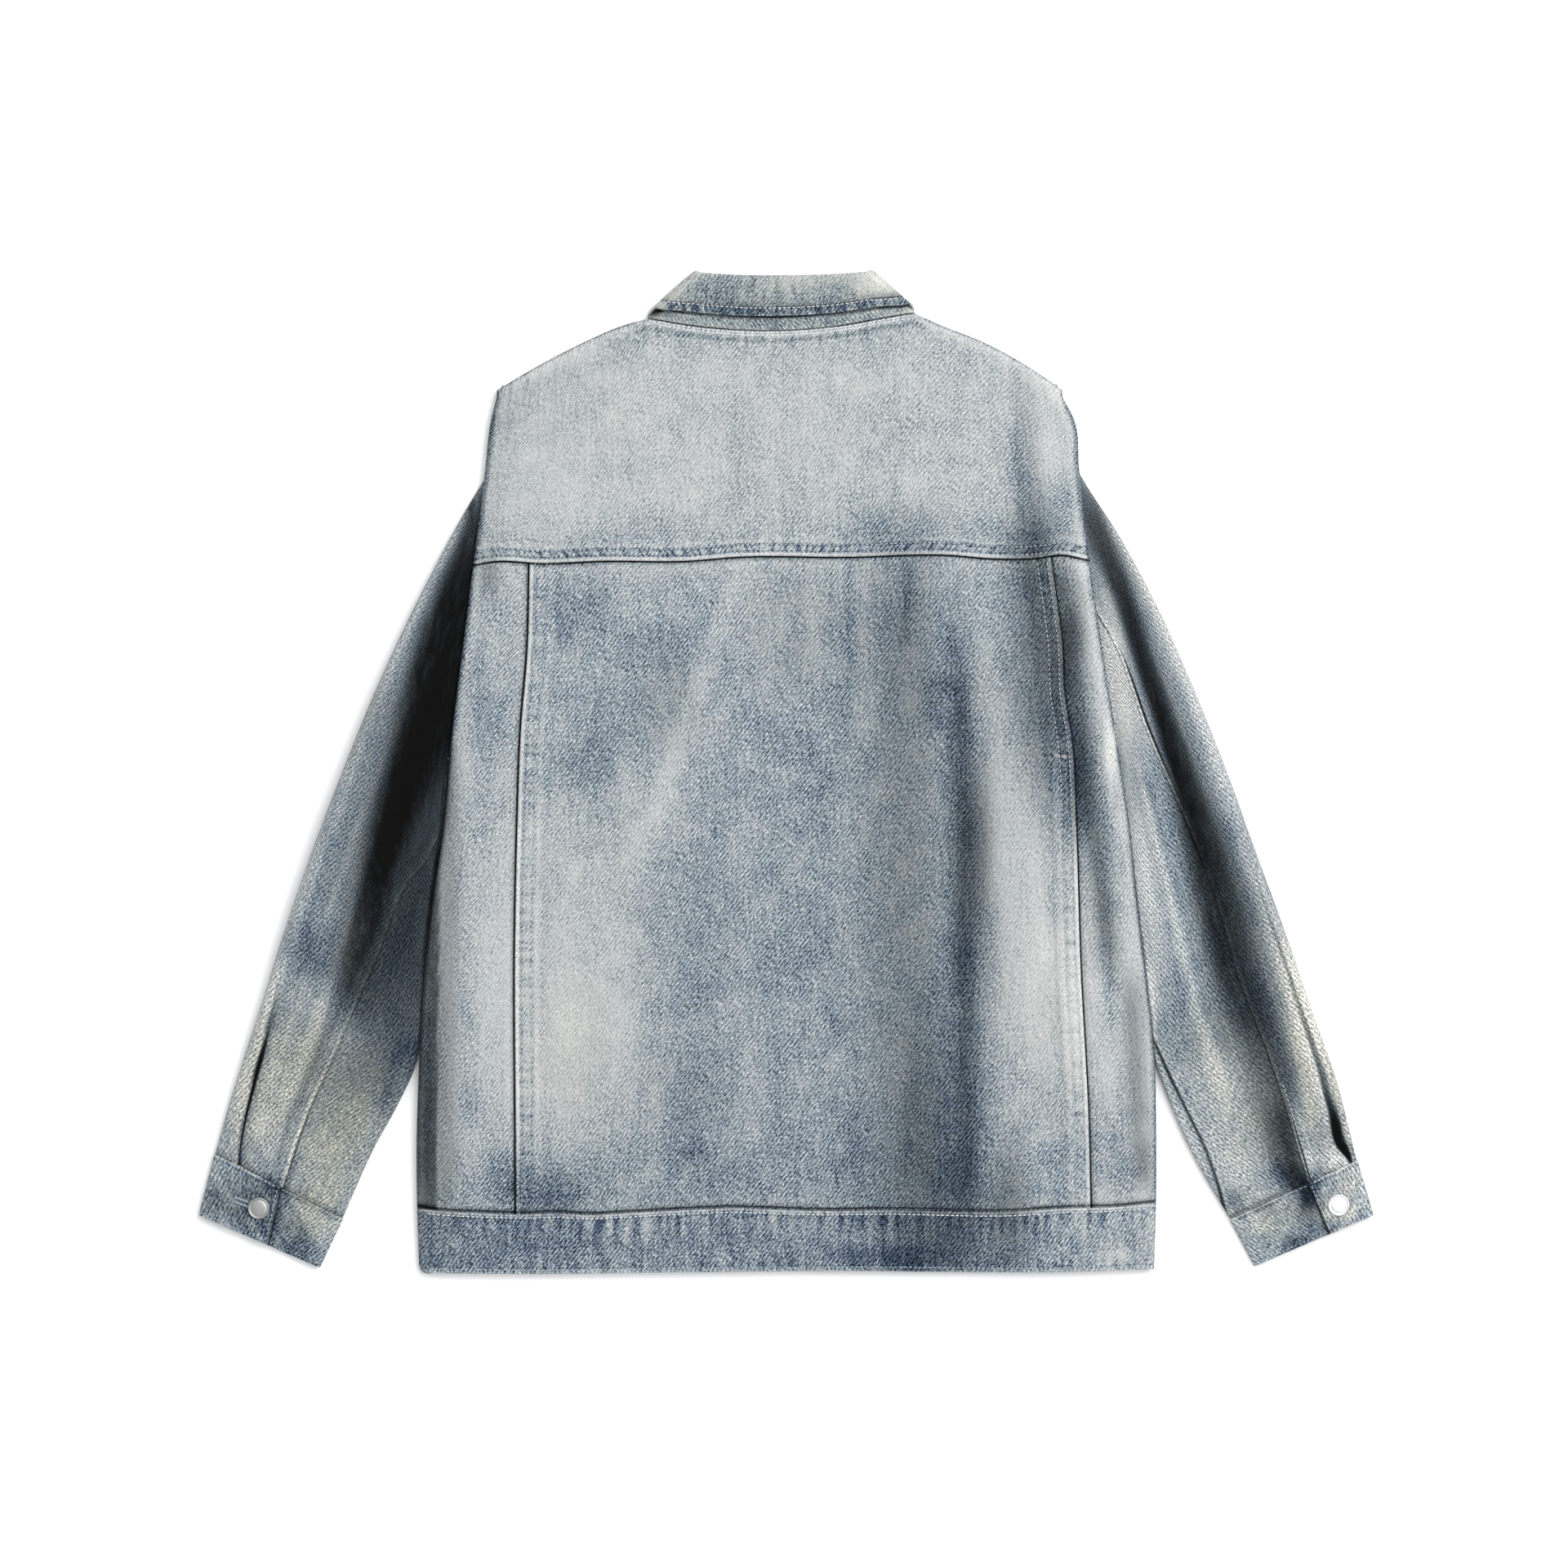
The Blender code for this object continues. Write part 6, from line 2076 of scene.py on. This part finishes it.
@dataclass(frozen=True)
class ShankButton:
    """A bare pressed metal button: a low dome inside a raised, rolled rim."""

    node: str
    place: tuple[float, float]
    finish: MetalFinish = NICKEL
    sides: int = 48
    # Distance from the middle, height over the cloth
    profile: Rows = (
        (0, 2.15), (2, 2.13), (4, 2.02), (5.6, 1.8), (6.1, 1.58), (6.5, 1.62), (6.9, 1.98),
        (7.4, 2.24), (7.8, 2.1), (8.1, 1.6), (8.15, 1), (7.9, 0.4), (7.2, 0.05), (0, 0),
    )

    def build(self, base: float, facing_down: bool = False) -> None:
        """Turns the profile round the button's axis.

        Args:
            base: height of its flat back.
            facing_down: its dome is beneath.
        """
        rows = np.array(self.profile)
        steps = np.linspace(0, len(rows) - 1, 40)
        radius = np.interp(steps, range(len(rows)), rows[:, 0])
        height = np.interp(steps, range(len(rows)), rows[:, 1])
        radius[[0, -1]] = 0.02
        turn = np.arange(self.sides) / self.sides * 2 * math.pi
        x = self.place[0] + radius[:, None] * np.cos(turn)
        y = self.place[1] + radius[:, None] * np.sin(turn)
        z = np.broadcast_to((base + (-height if facing_down else height))[:, None], x.shape)
        points = np.stack([x, y, z], axis=-1).reshape(-1, 3)
        faces = grid_faces(len(steps), self.sides, closed=True)
        faces = faces[:, ::-1] if facing_down else faces
        piece = solid_mesh(self.node + "_cap", points, faces, self.finish.material())
        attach(piece, "root")
        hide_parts(self.node)
        log.info("%s", piece.name)


# ---------------- fronts and hem band


@dataclass
class Fronts:
    """The two plain fronts beneath, lapped and buttoned at the middle."""

    shape: BodyShape = BODY
    # x, y along the front neckline
    neck: Rows = (
        (-102, 338.2), (-84, 306), (-48, 274), (0, 262), (46, 275), (80, 309),
        (97, 342.2),
    )
    button_places: tuple[float, ...] = (-262.0, -152.0, -42.0, 68.0, 178.0)
    button_base: float = 2.4
    button_lift: float = 2.75
    placket: float = 21.0
    stand_lift: float = 2.6

    def outer_edge(self, y: Array, side: Side) -> Array:
        """Outer edge of a front: side seam, then armhole beneath the sleeve, then shoulder.

        Args:
            y: places up.
            side: which front.

        Returns:
            x of the edge.
        """
        hand = side.value
        sleeve = LEFT_SLEEVE if side is Side.LEFT else RIGHT_SLEEVE
        tip_x, tip_y, under_x, under_y = sleeve.rows[0][:4]
        armhole = mix(under_x, tip_x, clamp((y - under_y) / (tip_y - under_y))) - hand * 2.9
        corner = self.shape.outline(y, side) - hand * 3
        below = ease((34 - y) / 26)
        above = ease((y - tip_y - 4) / 12)
        return mix(mix(armhole, self.shape.outline(y, side), below), corner, above)

    def level(self, x: Array, y: Array, side: Side) -> Array:
        """Height of a front, which rises over the collar's points, the buttons and the other front's lap.

        Args:
            x: places across.
            y: places up.
            side: which front.

        Returns:
            The height of the cloth's middle in millimetres.
        """
        collar = ease((y - 196) / 26) * ease((160 - np.abs(x)) / 40)
        placket = ease((self.placket + 16 - np.abs(x)) / 16) * ease((y + 318) / 34)
        lift = np.maximum(self.stand_lift * collar, self.button_lift * placket)
        lapped = (CUT_CLOTH + LAYER_GAP) * ease((self.shape.front_lap + 10 - x) / 9)
        return GROUND + lift + (lapped if side is Side.RIGHT else 0)

    def front(self, side: Side) -> Surface:
        """The surface of a front.

        Args:
            side: which front.

        Returns:
            Its surface, as a function of column and row.
        """
        shape, hand = self.shape, side.value

        def surface(column: Array, row: Array) -> Point:
            """A point of the front.

            Args:
                column: 0 at its middle edge, 1 where it turns up and 2 at the side seam.
                row: 0..1 up and 1..2 round the shoulder.

            Returns:
                x, y and z.
            """
            up = clamp(row)
            level = mix(BAND_TOP, YOKE_TOP, up)
            turn = np.where(level < 30, shape.side_turn, 3.0)
            outer = self.outer_edge(level, side) - hand * turn
            x = mix(-hand * shape.front_lap, outer, clamp(column))
            neck = through(self.neck, x) - 0.4
            top = np.where(np.abs(x - 2) < 98, neck, shape.shoulder_y(x)) - shape.shoulder_turn
            y = mix(through(shape.hem_seam, x) + 0.2, top, up)
            height = self.level(x, y, side)
            outward, up_side = quarter_turn(clamp(column - 1), shape.side_turned(y))
            x = x + hand * turn * outward
            beyond, up_shoulder = quarter_turn(clamp(row - 1), shape.shoulder_turned(x))
            y = y + shape.shoulder_turn * beyond
            rise = (shape.side_seam_level - 0.4 - height) * up_side
            lift = (shape.shoulder_seam_level - 0.4 - height) * up_shoulder
            return x, y, height + np.maximum(rise, lift)

        return surface

    def build(self) -> None:
        """Builds both fronts and their buttons."""
        for side in Side:
            columns = stations((0, 0.2, 14), (0.2, 1, 26), (1, 2, 5))
            ClothPiece(
                f"front_{side.word}_denim", (f"front_{side.word}",), self.front(side),
                columns[:: side.value], stations((0, 1, 70), (1, 2, 4)), PANEL_WASH_AND_SHADE, "denim",
                ("backdrop",), shift=(1.7 * side.value, 1.1),
            ).build()
        for number, y in enumerate(self.button_places, start=1):
            ShankButton(f"button_front_{number}", (0.0, y)).build(self.button_base, facing_down=True)


@dataclass
class HemBand:
    """The straight band of double cloth round the hem, lapped over the panels and stitched twice."""

    shape: BodyShape = BODY
    lap: float = 0.3
    corner: float = 5.2
    depth: float = 45.5
    # Distances from the seam of the stitch rows beside the seam and beside the edge
    rows: tuple[float, float] = (2.8, 42.5)

    def surface(self, column: Array, row: Array) -> Point:
        """The band's surface.

        Args:
            column: 0..1 over the left front, 1..2 round the left fold, 2..3 over the back, 3..4 round
                the right fold and 4..5 over the right front.
            row: 0 at the edge and 1 at the seam.

        Returns:
            x, y and z.
        """
        shape, half = self.shape, BAND_CLOTH / 2
        level = mix(BAND_FOOT, BAND_TOP, row)
        left = shape.outline(level, Side.LEFT) + (BAND_CLOTH - CUT_CLOTH) / 2
        # The left fold is rounded where it meets the edge
        cut = np.clip(self.corner - 45 * row, 0, self.corner)
        left = left + self.corner - np.sqrt(self.corner**2 - cut**2)
        right = shape.outline(level, Side.RIGHT) - (BAND_CLOTH - CUT_CLOTH) / 2
        first, last = left + shape.side_turn, right - shape.side_turn
        front_left = mix(shape.front_lap, first, clamp(column))
        front_right = mix(last, -shape.front_lap, clamp(column - 4))
        back = mix(first, last, clamp(column - 2))
        x = np.where(column <= 1, front_left, np.where(column >= 4, front_right, back))
        low, high = through(shape.hem_edge, x), through(shape.hem_seam, x) + self.lap
        y = mix(low, high, row)
        top = shape.back_level(x, y) + half - GROUND + self.relief(x, y - low, high - y)
        lapped = ease((shape.front_lap + 12 - x) / 10) * (column > 4)
        under = half + (BAND_CLOTH + LAYER_GAP) * lapped
        z = np.where((column >= 2) & (column <= 3), top, under)
        for side, start, corner in ((Side.LEFT, 1, first), (Side.RIGHT, 3, last)):
            share = clamp(column - start)
            angle = (share if side is Side.LEFT else 1 - share) * math.pi
            at_fold = (column > start) & (column < start + 1)
            ridge = self.relief(corner, y - low, high - y)
            edge_top = shape.back_level(corner, y) + half - GROUND + ridge
            middle, reach = (edge_top + half) / 2, (edge_top - half) / 2
            x = np.where(at_fold, corner + side.value * shape.side_turn * np.sin(angle), x)
            z = np.where(at_fold, middle - reach * np.cos(angle), z)
        return x, y, z

    def relief(self, x: Array, from_edge: Array, from_seam: Array) -> Array:
        """Grooves of the two stitch rows, and puckers that run up and down between them.

        Args:
            x: places across.
            from_edge: distance from the band's edge.
            from_seam: and from its seam.

        Returns:
            The rise in millimetres.
        """
        grooves = -0.45 * bump(from_seam - self.rows[0], 1.3)
        grooves = grooves - 0.45 * bump(from_edge - self.depth + self.rows[1], 1.3)
        puckers = uneven(x, 11, 0.9) * (0.4 * bump(from_seam, 12) + 0.3 * bump(from_edge, 10))
        broad = uneven(x + from_edge * 0.12, 23, 2.7) * 0.3
        edge = 0.4 * bump(from_seam - 0.5, 1.4)
        return grooves + puckers + broad + edge - 0.5 * self.marks(x, from_edge, from_seam)

    def marks(self, x: Array, from_edge: Array, from_seam: Array) -> Array:
        """Upright grooves that fade away from the seam and from the edge.

        Args:
            x: places across.
            from_edge: distance from the band's edge.
            from_seam: and from its seam.

        Returns:
            How deep each place lies in a groove.
        """
        high = pucker_marks(x + 0.1 * from_seam, 10.5, 3.1) * ease((from_seam - 2) / 3)
        low = pucker_marks(x - 0.15 * from_edge, 8.0, 1.2) * ease((from_edge - 1) / 3)
        return high * bump(from_seam - 6, 9) + 0.6 * low * bump(from_edge - 4, 6)

    def wear(self, x: Array, y: Array) -> Pair:
        """How much paler the band's edges are, from wear and a painted highlight along the seam's fold,
        less the dye that its grooves kept.

        Args:
            x: places across.
            y: places up.

        Returns:
            How much paler and how much darker each place is.
        """
        from_seam = through(self.shape.hem_seam, x) + self.lap - y
        from_edge = y - through(self.shape.hem_edge, x)
        # Paler along the seam's fold: wear and a painted highlight
        rub_and_highlight = 0.26 * bump(from_seam, 1.4) - 0.16 * bump(from_seam - 3.0, 1.0)
        rub_and_highlight = rub_and_highlight + 0.12 * bump(from_edge, 1.5)
        broad = 0.13 * uneven(x, 14, 4.1) * bump(from_seam - 10, 14)
        return rub_and_highlight + broad - 0.3 * self.marks(x, from_edge, from_seam), 0.0 * x

    def sew(self) -> list[bpy.types.Object]:
        """Stitch rows along the seam and along the edge.

        Returns:
            The rows of stitches.
        """
        column = np.linspace(2, 3, 700)
        rows = []
        for name, thread, from_seam in zip(("seam", "hem"), (PALE_THREAD, THREAD), self.rows):
            sewing = Sewing(f"topstitch_{name}", thread)
            x, y, z = self.surface(column, np.full(column.shape, 1 - from_seam / self.depth))
            sewing.add(np.stack([x, y, z + BAND_CLOTH / 2], axis=-1))
            rows.append(sewing.build())
        return rows

    def build(self) -> None:
        """Builds the stitches and the band."""
        ClothPiece(
            "hem_band_denim", ("hem_band",), self.surface,
            stations((0, 1, 40), (1, 2, 10), (2, 3, 320), (3, 4, 10), (4, 4.85, 32), (4.85, 5, 10)),
            stations((0, 0.12, 8), (0.12, 0.7, 10), (0.7, 0.9, 6), (0.9, 1, 7)),
            Wash(BODY_WASH_AND_SHADE, pale=0.42, streaks=BODY_SHADE_STREAKS), "denim", ("backdrop",),
            thickness=BAND_CLOTH - 0.2, bevel=0.8, sewn_on=self.sew(), wear=self.wear,
            shift=(0.41, 2.3),
        ).build()


# ---------------- collar


@dataclass
class Collar:
    """The shirt collar: a stand round the flattened neck and a fall turned down over it."""

    shape: BodyShape = BODY
    fold: Rows = ((-64, 372.8), (-40, 371.3), (2, 370.8), (44, 372.0), (63, 373.3))
    # How far below the back's fold the front's lies, at the middle
    fold_front_drop: float = 66.0
    back_level: float = 9.4
    stand_turn: float = 3.2
    offset: float = 2.4
    inset: float = 3.4
    stand_top: float = 0.93
    end_gap: float = 3.0
    # Where the ring turns from a front to the back, and over how much of the way
    turn_start: float = 0.22
    turn_span: float = 0.08
    point_spread: float = 0.055
    # Length round the collar, depth of the fall and its stitch row's distance from the free edge
    around: float = 620.0
    depth: float = 30.0
    stitch_row: float = 6.2
    # Share of the way round, height of the fall's free edge as a share of the stand's
    free_edge: Rows = (
        (0, -0.62), (0.073, -0.95), (0.22, -0.1), (0.27, 0.16), (0.34, 0.24), (0.5, 0.26),
        (0.66, 0.24), (0.73, 0.16), (0.78, -0.1), (0.927, -0.95), (1, -0.62),
    )

    def ring(self, share: Array, left: float, right: float) -> Point:
        """A point round the flattened neck.

        Args:
            share: how far round, from one front end to the other.
            left: x of the neck's left end.
            right: x of its right end.

        Returns:
            x, the share across and the share turned to the back.
        """
        middle, half_width = (left + right) / 2, (right - left) / 2 - self.inset
        from_end = np.minimum(share, 1 - share)
        hand = np.where(share < 0.5, 1, -1)
        turned = clamp((from_end - self.turn_start) / self.turn_span) * math.pi
        front = mix(self.end_gap / 2 / half_width, 1, clamp(from_end / self.turn_start))
        back_start = self.turn_start + self.turn_span
        back = 1 - clamp((from_end - back_start) / (0.5 - back_start))
        across = np.where(from_end < back_start, front, back) * hand
        x = middle + half_width * across + self.stand_turn * np.sin(turned) * hand
        return x, across, (1 - np.cos(turned)) / 2

    def point(self, share: Array, up: Array) -> Array:
        """A point of the stand.

        Args:
            share: how far round, from one front end to the other.
            up: 0 at the neck seam, 1 at the top fold.

        Returns:
            x, y and z, 3 by the grid.
        """
        share = clamp(share)
        neck, fold = self.shape.back_neck, self.fold
        low_x, _, to_back = self.ring(share, neck[0][0], neck[-1][0])
        high_x, across, _ = self.ring(share, fold[0][0], fold[-1][0])
        front_seam = through(Fronts.neck, low_x) + 1.2
        low_y = mix(front_seam, through(neck, low_x) + 0.8, to_back)
        drop = self.fold_front_drop * (1 - np.abs(across) ** 2.2)
        high_y = through(fold, high_x) - drop * (1 - to_back)
        z = mix(self.offset + COLLAR_CLOTH / 2, self.back_level, to_back)
        z = z + to_back * 0.25 * uneven(low_x, 23, 0.8)
        return np.array(np.broadcast_arrays(mix(low_x, high_x, up), mix(low_y, high_y, up), z))

    def stand(self, column: Array, row: Array) -> Point:
        """The stand: column 0..1 from one front end round to the other, row up."""
        x, y, z = self.point(column, row * self.stand_top)
        return x, y, z

    def fall(self, column: Array, row: Array) -> Point:
        """The fall's surface, which stands off the stand's by its own outward direction.

        Args:
            column: 0..1 from one front end round to the other.
            row: 0..1 round the top fold, 1..2 down to the free edge.

        Returns:
            x, y and z.
        """
        spread = 2 * column - 1
        down = clamp(row - 1)
        share = column - self.point_spread * spread**5 * down
        angle = clamp(row) * math.pi
        edge = np.interp(column, *zip(*self.free_edge))
        up = mix(self.stand_top + 0.015, edge, down) + 0.032 * np.sin(angle)
        step = 1e-4
        around = self.point(share - step, up) - self.point(share + step, up)
        upward = self.point(share, up + step) - self.point(share, up - step)
        outward = unit(np.cross(around, upward, axis=0).transpose(1, 2, 0)).transpose(2, 0, 1)
        lift = self.offset * (1 - np.cos(angle)) / 2 + self.relief(column, down)
        x, y, z = self.point(share, up) + outward * lift
        return x, y, np.maximum(z, COLLAR_CLOTH / 2)

    def relief(self, column: Array, down: Array) -> Array:
        """A groove under the stitch row near the free edge, and puckers on both sides of it.

        Args:
            column: 0..1 from one front end round to the other.
            down: 0 at the top fold and 1 at the free edge.

        Returns:
            The rise in millimetres.
        """
        along, from_edge = column * self.around, (1 - down) * self.depth
        groove = -0.45 * bump(from_edge - self.stitch_row, 1.3)
        puckers = 0.28 * uneven(along, 10, 1.4) * bump(from_edge - 5, 7) * (down > 0.02)
        waves = 0.35 * uneven(along + down * 9, 31, 2.2) * ease(down * 4)
        return groove + puckers + waves + 0.25 * ease(down * 3)

    def free_edge_y(self, x: Array) -> Array:
        """The line of the fall's free edge over the back.

        Args:
            x: places across.

        Returns:
            y of the edge.
        """
        column = np.linspace(0.30, 0.70, 200)[None]
        edge_x, edge_y, _ = self.fall(column, np.full(column.shape, 2.0))
        order = np.argsort(edge_x[0])
        return np.interp(x, edge_x[0][order], edge_y[0][order])

    def fall_wear(self, x: Array, y: Array) -> Pair:
        """Darker along the stitch row and above it, a paler free edge, and short puckers between the row
        and the edge.

        Args:
            x: places across.
            y: places up.

        Returns:
            How much paler and how much darker each place is.
        """
        up = y - self.free_edge_y(x)
        back = y > 330
        marks = pucker_marks(x + up * 0.4, 7.0, 2.3) + 0.7 * pucker_marks(x, 11.0, 0.6)
        band = ease((up + 0.5) / 1.0) * (1 - ease((up - 5.2) / 1.5))
        dye_and_shade = 0.75 * bump(up - self.stitch_row, 0.7) + 0.22 * bump(up - 8, 2.5)
        return back * (0.12 * bump(up - 0.3, 0.9) - band * (0.1 + 0.55 * marks)), back * dye_and_shade * 0.6

    def stand_shadow_and_fold(self, x: Array, y: Array) -> Pair:
        """Painted shadow on the stand beneath the fall, deeper at the left corner, and a pale fold along
        the neck seam.

        Args:
            x: places across.
            y: places up.

        Returns:
            How much paler and how much darker each place is.
        """
        beneath = self.free_edge_y(x) - y
        neck = y - through(self.shape.back_neck, x)
        back = y > 322
        left = ease((-88 - x) / 10)
        dye_and_shade = 0.8 * bump(beneath - 0.9, 1.0) + left * bump(beneath - 2, 3.5)
        return back * 0.22 * bump(neck - 1.6, 0.8), back * dye_and_shade

    def build(self) -> None:
        """Builds the stand, then the fall with its stitch row."""
        ends = stations(
            (0, 0.22, 60), (0.22, 0.30, 22), (0.30, 0.70, 150), (0.70, 0.78, 22), (0.78, 1, 60)
        )
        ClothPiece(
            "collar_stand_denim", ("collar_stand",), self.stand, ends,
            stations((0, 0.6, 14), (0.6, 1, 5)), Wash(COLLAR_WASH_AND_SHADE, pale=0.5, yellow=0.3), "denim",
            ("front_left_denim", "front_right_denim"), thickness=COLLAR_CLOTH - 0.1, bevel=0.5,
            wear=self.stand_shadow_and_fold, shift=(0.13, 3.1),
        ).build()
        sewing = Sewing("topstitch_collar", PALE_THREAD, thread=0.29)
        column = np.linspace(0.27, 0.73, 400)[None]
        x, y, z = self.fall(column, np.full(column.shape, 2 - self.stitch_row / self.depth))
        sewing.add(np.stack([x, y, z + COLLAR_CLOTH / 2], axis=-1)[0])
        ClothPiece(
            "collar_fall_denim", ("collar_fall",), self.fall, ends,
            stations((0, 1, 9), (1, 1.65, 10), (1.65, 2, 20)),
            Wash(COLLAR_WASH_AND_SHADE, pale=0.6, yellow=0.3), "denim_pale", ("collar_stand_denim",),
            thickness=COLLAR_CLOTH - 0.1, bevel=0.6, wear=self.fall_wear, sewn_on=[sewing.build()],
            shift=(0.23, 3.3),
        ).build()


# ---------------- studio


@dataclass
class Studio:
    """White paper, a large soft light from the right and above, and a camera straight overhead."""

    distance: float = 8.0
    sensor: float = 36.0
    frame_width: float = 1.1712
    middle: tuple[float, float] = (-0.00174, -0.0090)
    key_from: tuple[float, float, float] = (1.15, 0.9, 2.35)
    key_power: float = 80.0
    key_size: float = 2.4
    sky: float = 0.96
    # Half the paper's width and its height, in millimetres
    paper: float = 4000.0
    paper_level: float = -0.4

    def build(self) -> None:
        """Builds the backdrop, lights, world and camera."""
        x, y = self.paper * np.array([-1, 1, 1, -1]), self.paper * np.array([-1, -1, 1, 1])
        corners = np.stack([x, y, np.full(4, self.paper_level)], axis=1)
        floor = solid_mesh("backdrop", corners, np.array([[0, 1, 2, 3]]), PAPER.material())
        floor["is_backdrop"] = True
        self.light("key", self.key_from, self.key_power, self.key_size)
        world = bpy.data.worlds.new("studio")
        world.use_nodes = True
        background = world.node_tree.nodes["Background"]
        background.inputs["Color"].default_value = linear("#FCFDFF")
        background.inputs["Strength"].default_value = self.sky
        bpy.context.scene.world = world
        lens = bpy.data.cameras.new("camera")
        lens.sensor_width = self.sensor
        lens.lens = self.sensor * self.distance / self.frame_width
        lens.clip_end = 50
        camera = bpy.data.objects.new("camera", lens)
        camera.location = (*self.middle, self.distance)
        bpy.context.scene.collection.objects.link(camera)
        bpy.context.scene.camera = camera
        bpy.context.scene.view_settings.view_transform = "Standard"

    def light(self, name: str, place: tuple[float, float, float], power: float, size: float) -> None:
        """Adds a square soft light that faces the jacket.

        Args:
            name: its name.
            place: where it stands.
            power: in watts.
            size: its side in metres.
        """
        lamp = bpy.data.lights.new(name, "AREA")
        lamp.energy = power
        lamp.size = size
        holder = bpy.data.objects.new(name, lamp)
        holder.location = place
        holder.rotation_euler = (-Vector(place)).to_track_quat("-Z", "Y").to_euler()
        bpy.context.scene.collection.objects.link(holder)


def main() -> None:
    """Builds the jacket and its studio."""
    logging.basicConfig(level=logging.INFO, format="%(message)s", stream=sys.stdout)
    Studio().build()
    Fronts().build()
    Back().build()
    HemBand().build()
    Collar().build()
    Sleeve(LEFT_SLEEVE, LEFT_SLEEVE_WASH_AND_SHADE, LEFT_VALLEY_SHADE, LEFT_FOLDS, LEFT_SLEEVE_SHADE_STREAKS).build()
    Sleeve(RIGHT_SLEEVE, RIGHT_SLEEVE_WASH_AND_SHADE, RIGHT_VALLEY_SHADE, RIGHT_FOLDS).build()
    Cuff(LEFT_SLEEVE, LEFT_SLEEVE_WASH_AND_SHADE, LEFT_CUFF_EDGE, LEFT_BUTTON).build()
    Cuff(RIGHT_SLEEVE, RIGHT_SLEEVE_WASH_AND_SHADE, RIGHT_CUFF_EDGE, RIGHT_BUTTON).build()
    ShankButton("button_cuff_left", LEFT_BUTTON, DULL_NICKEL).build(BUTTON_BASE)
    ShankButton("button_cuff_right", RIGHT_BUTTON).build(BUTTON_BASE)


if __name__ == "__main__":
    main()
    boxes = [[list(map(float, corner)) for corner in box] for box in (cad_box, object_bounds())]
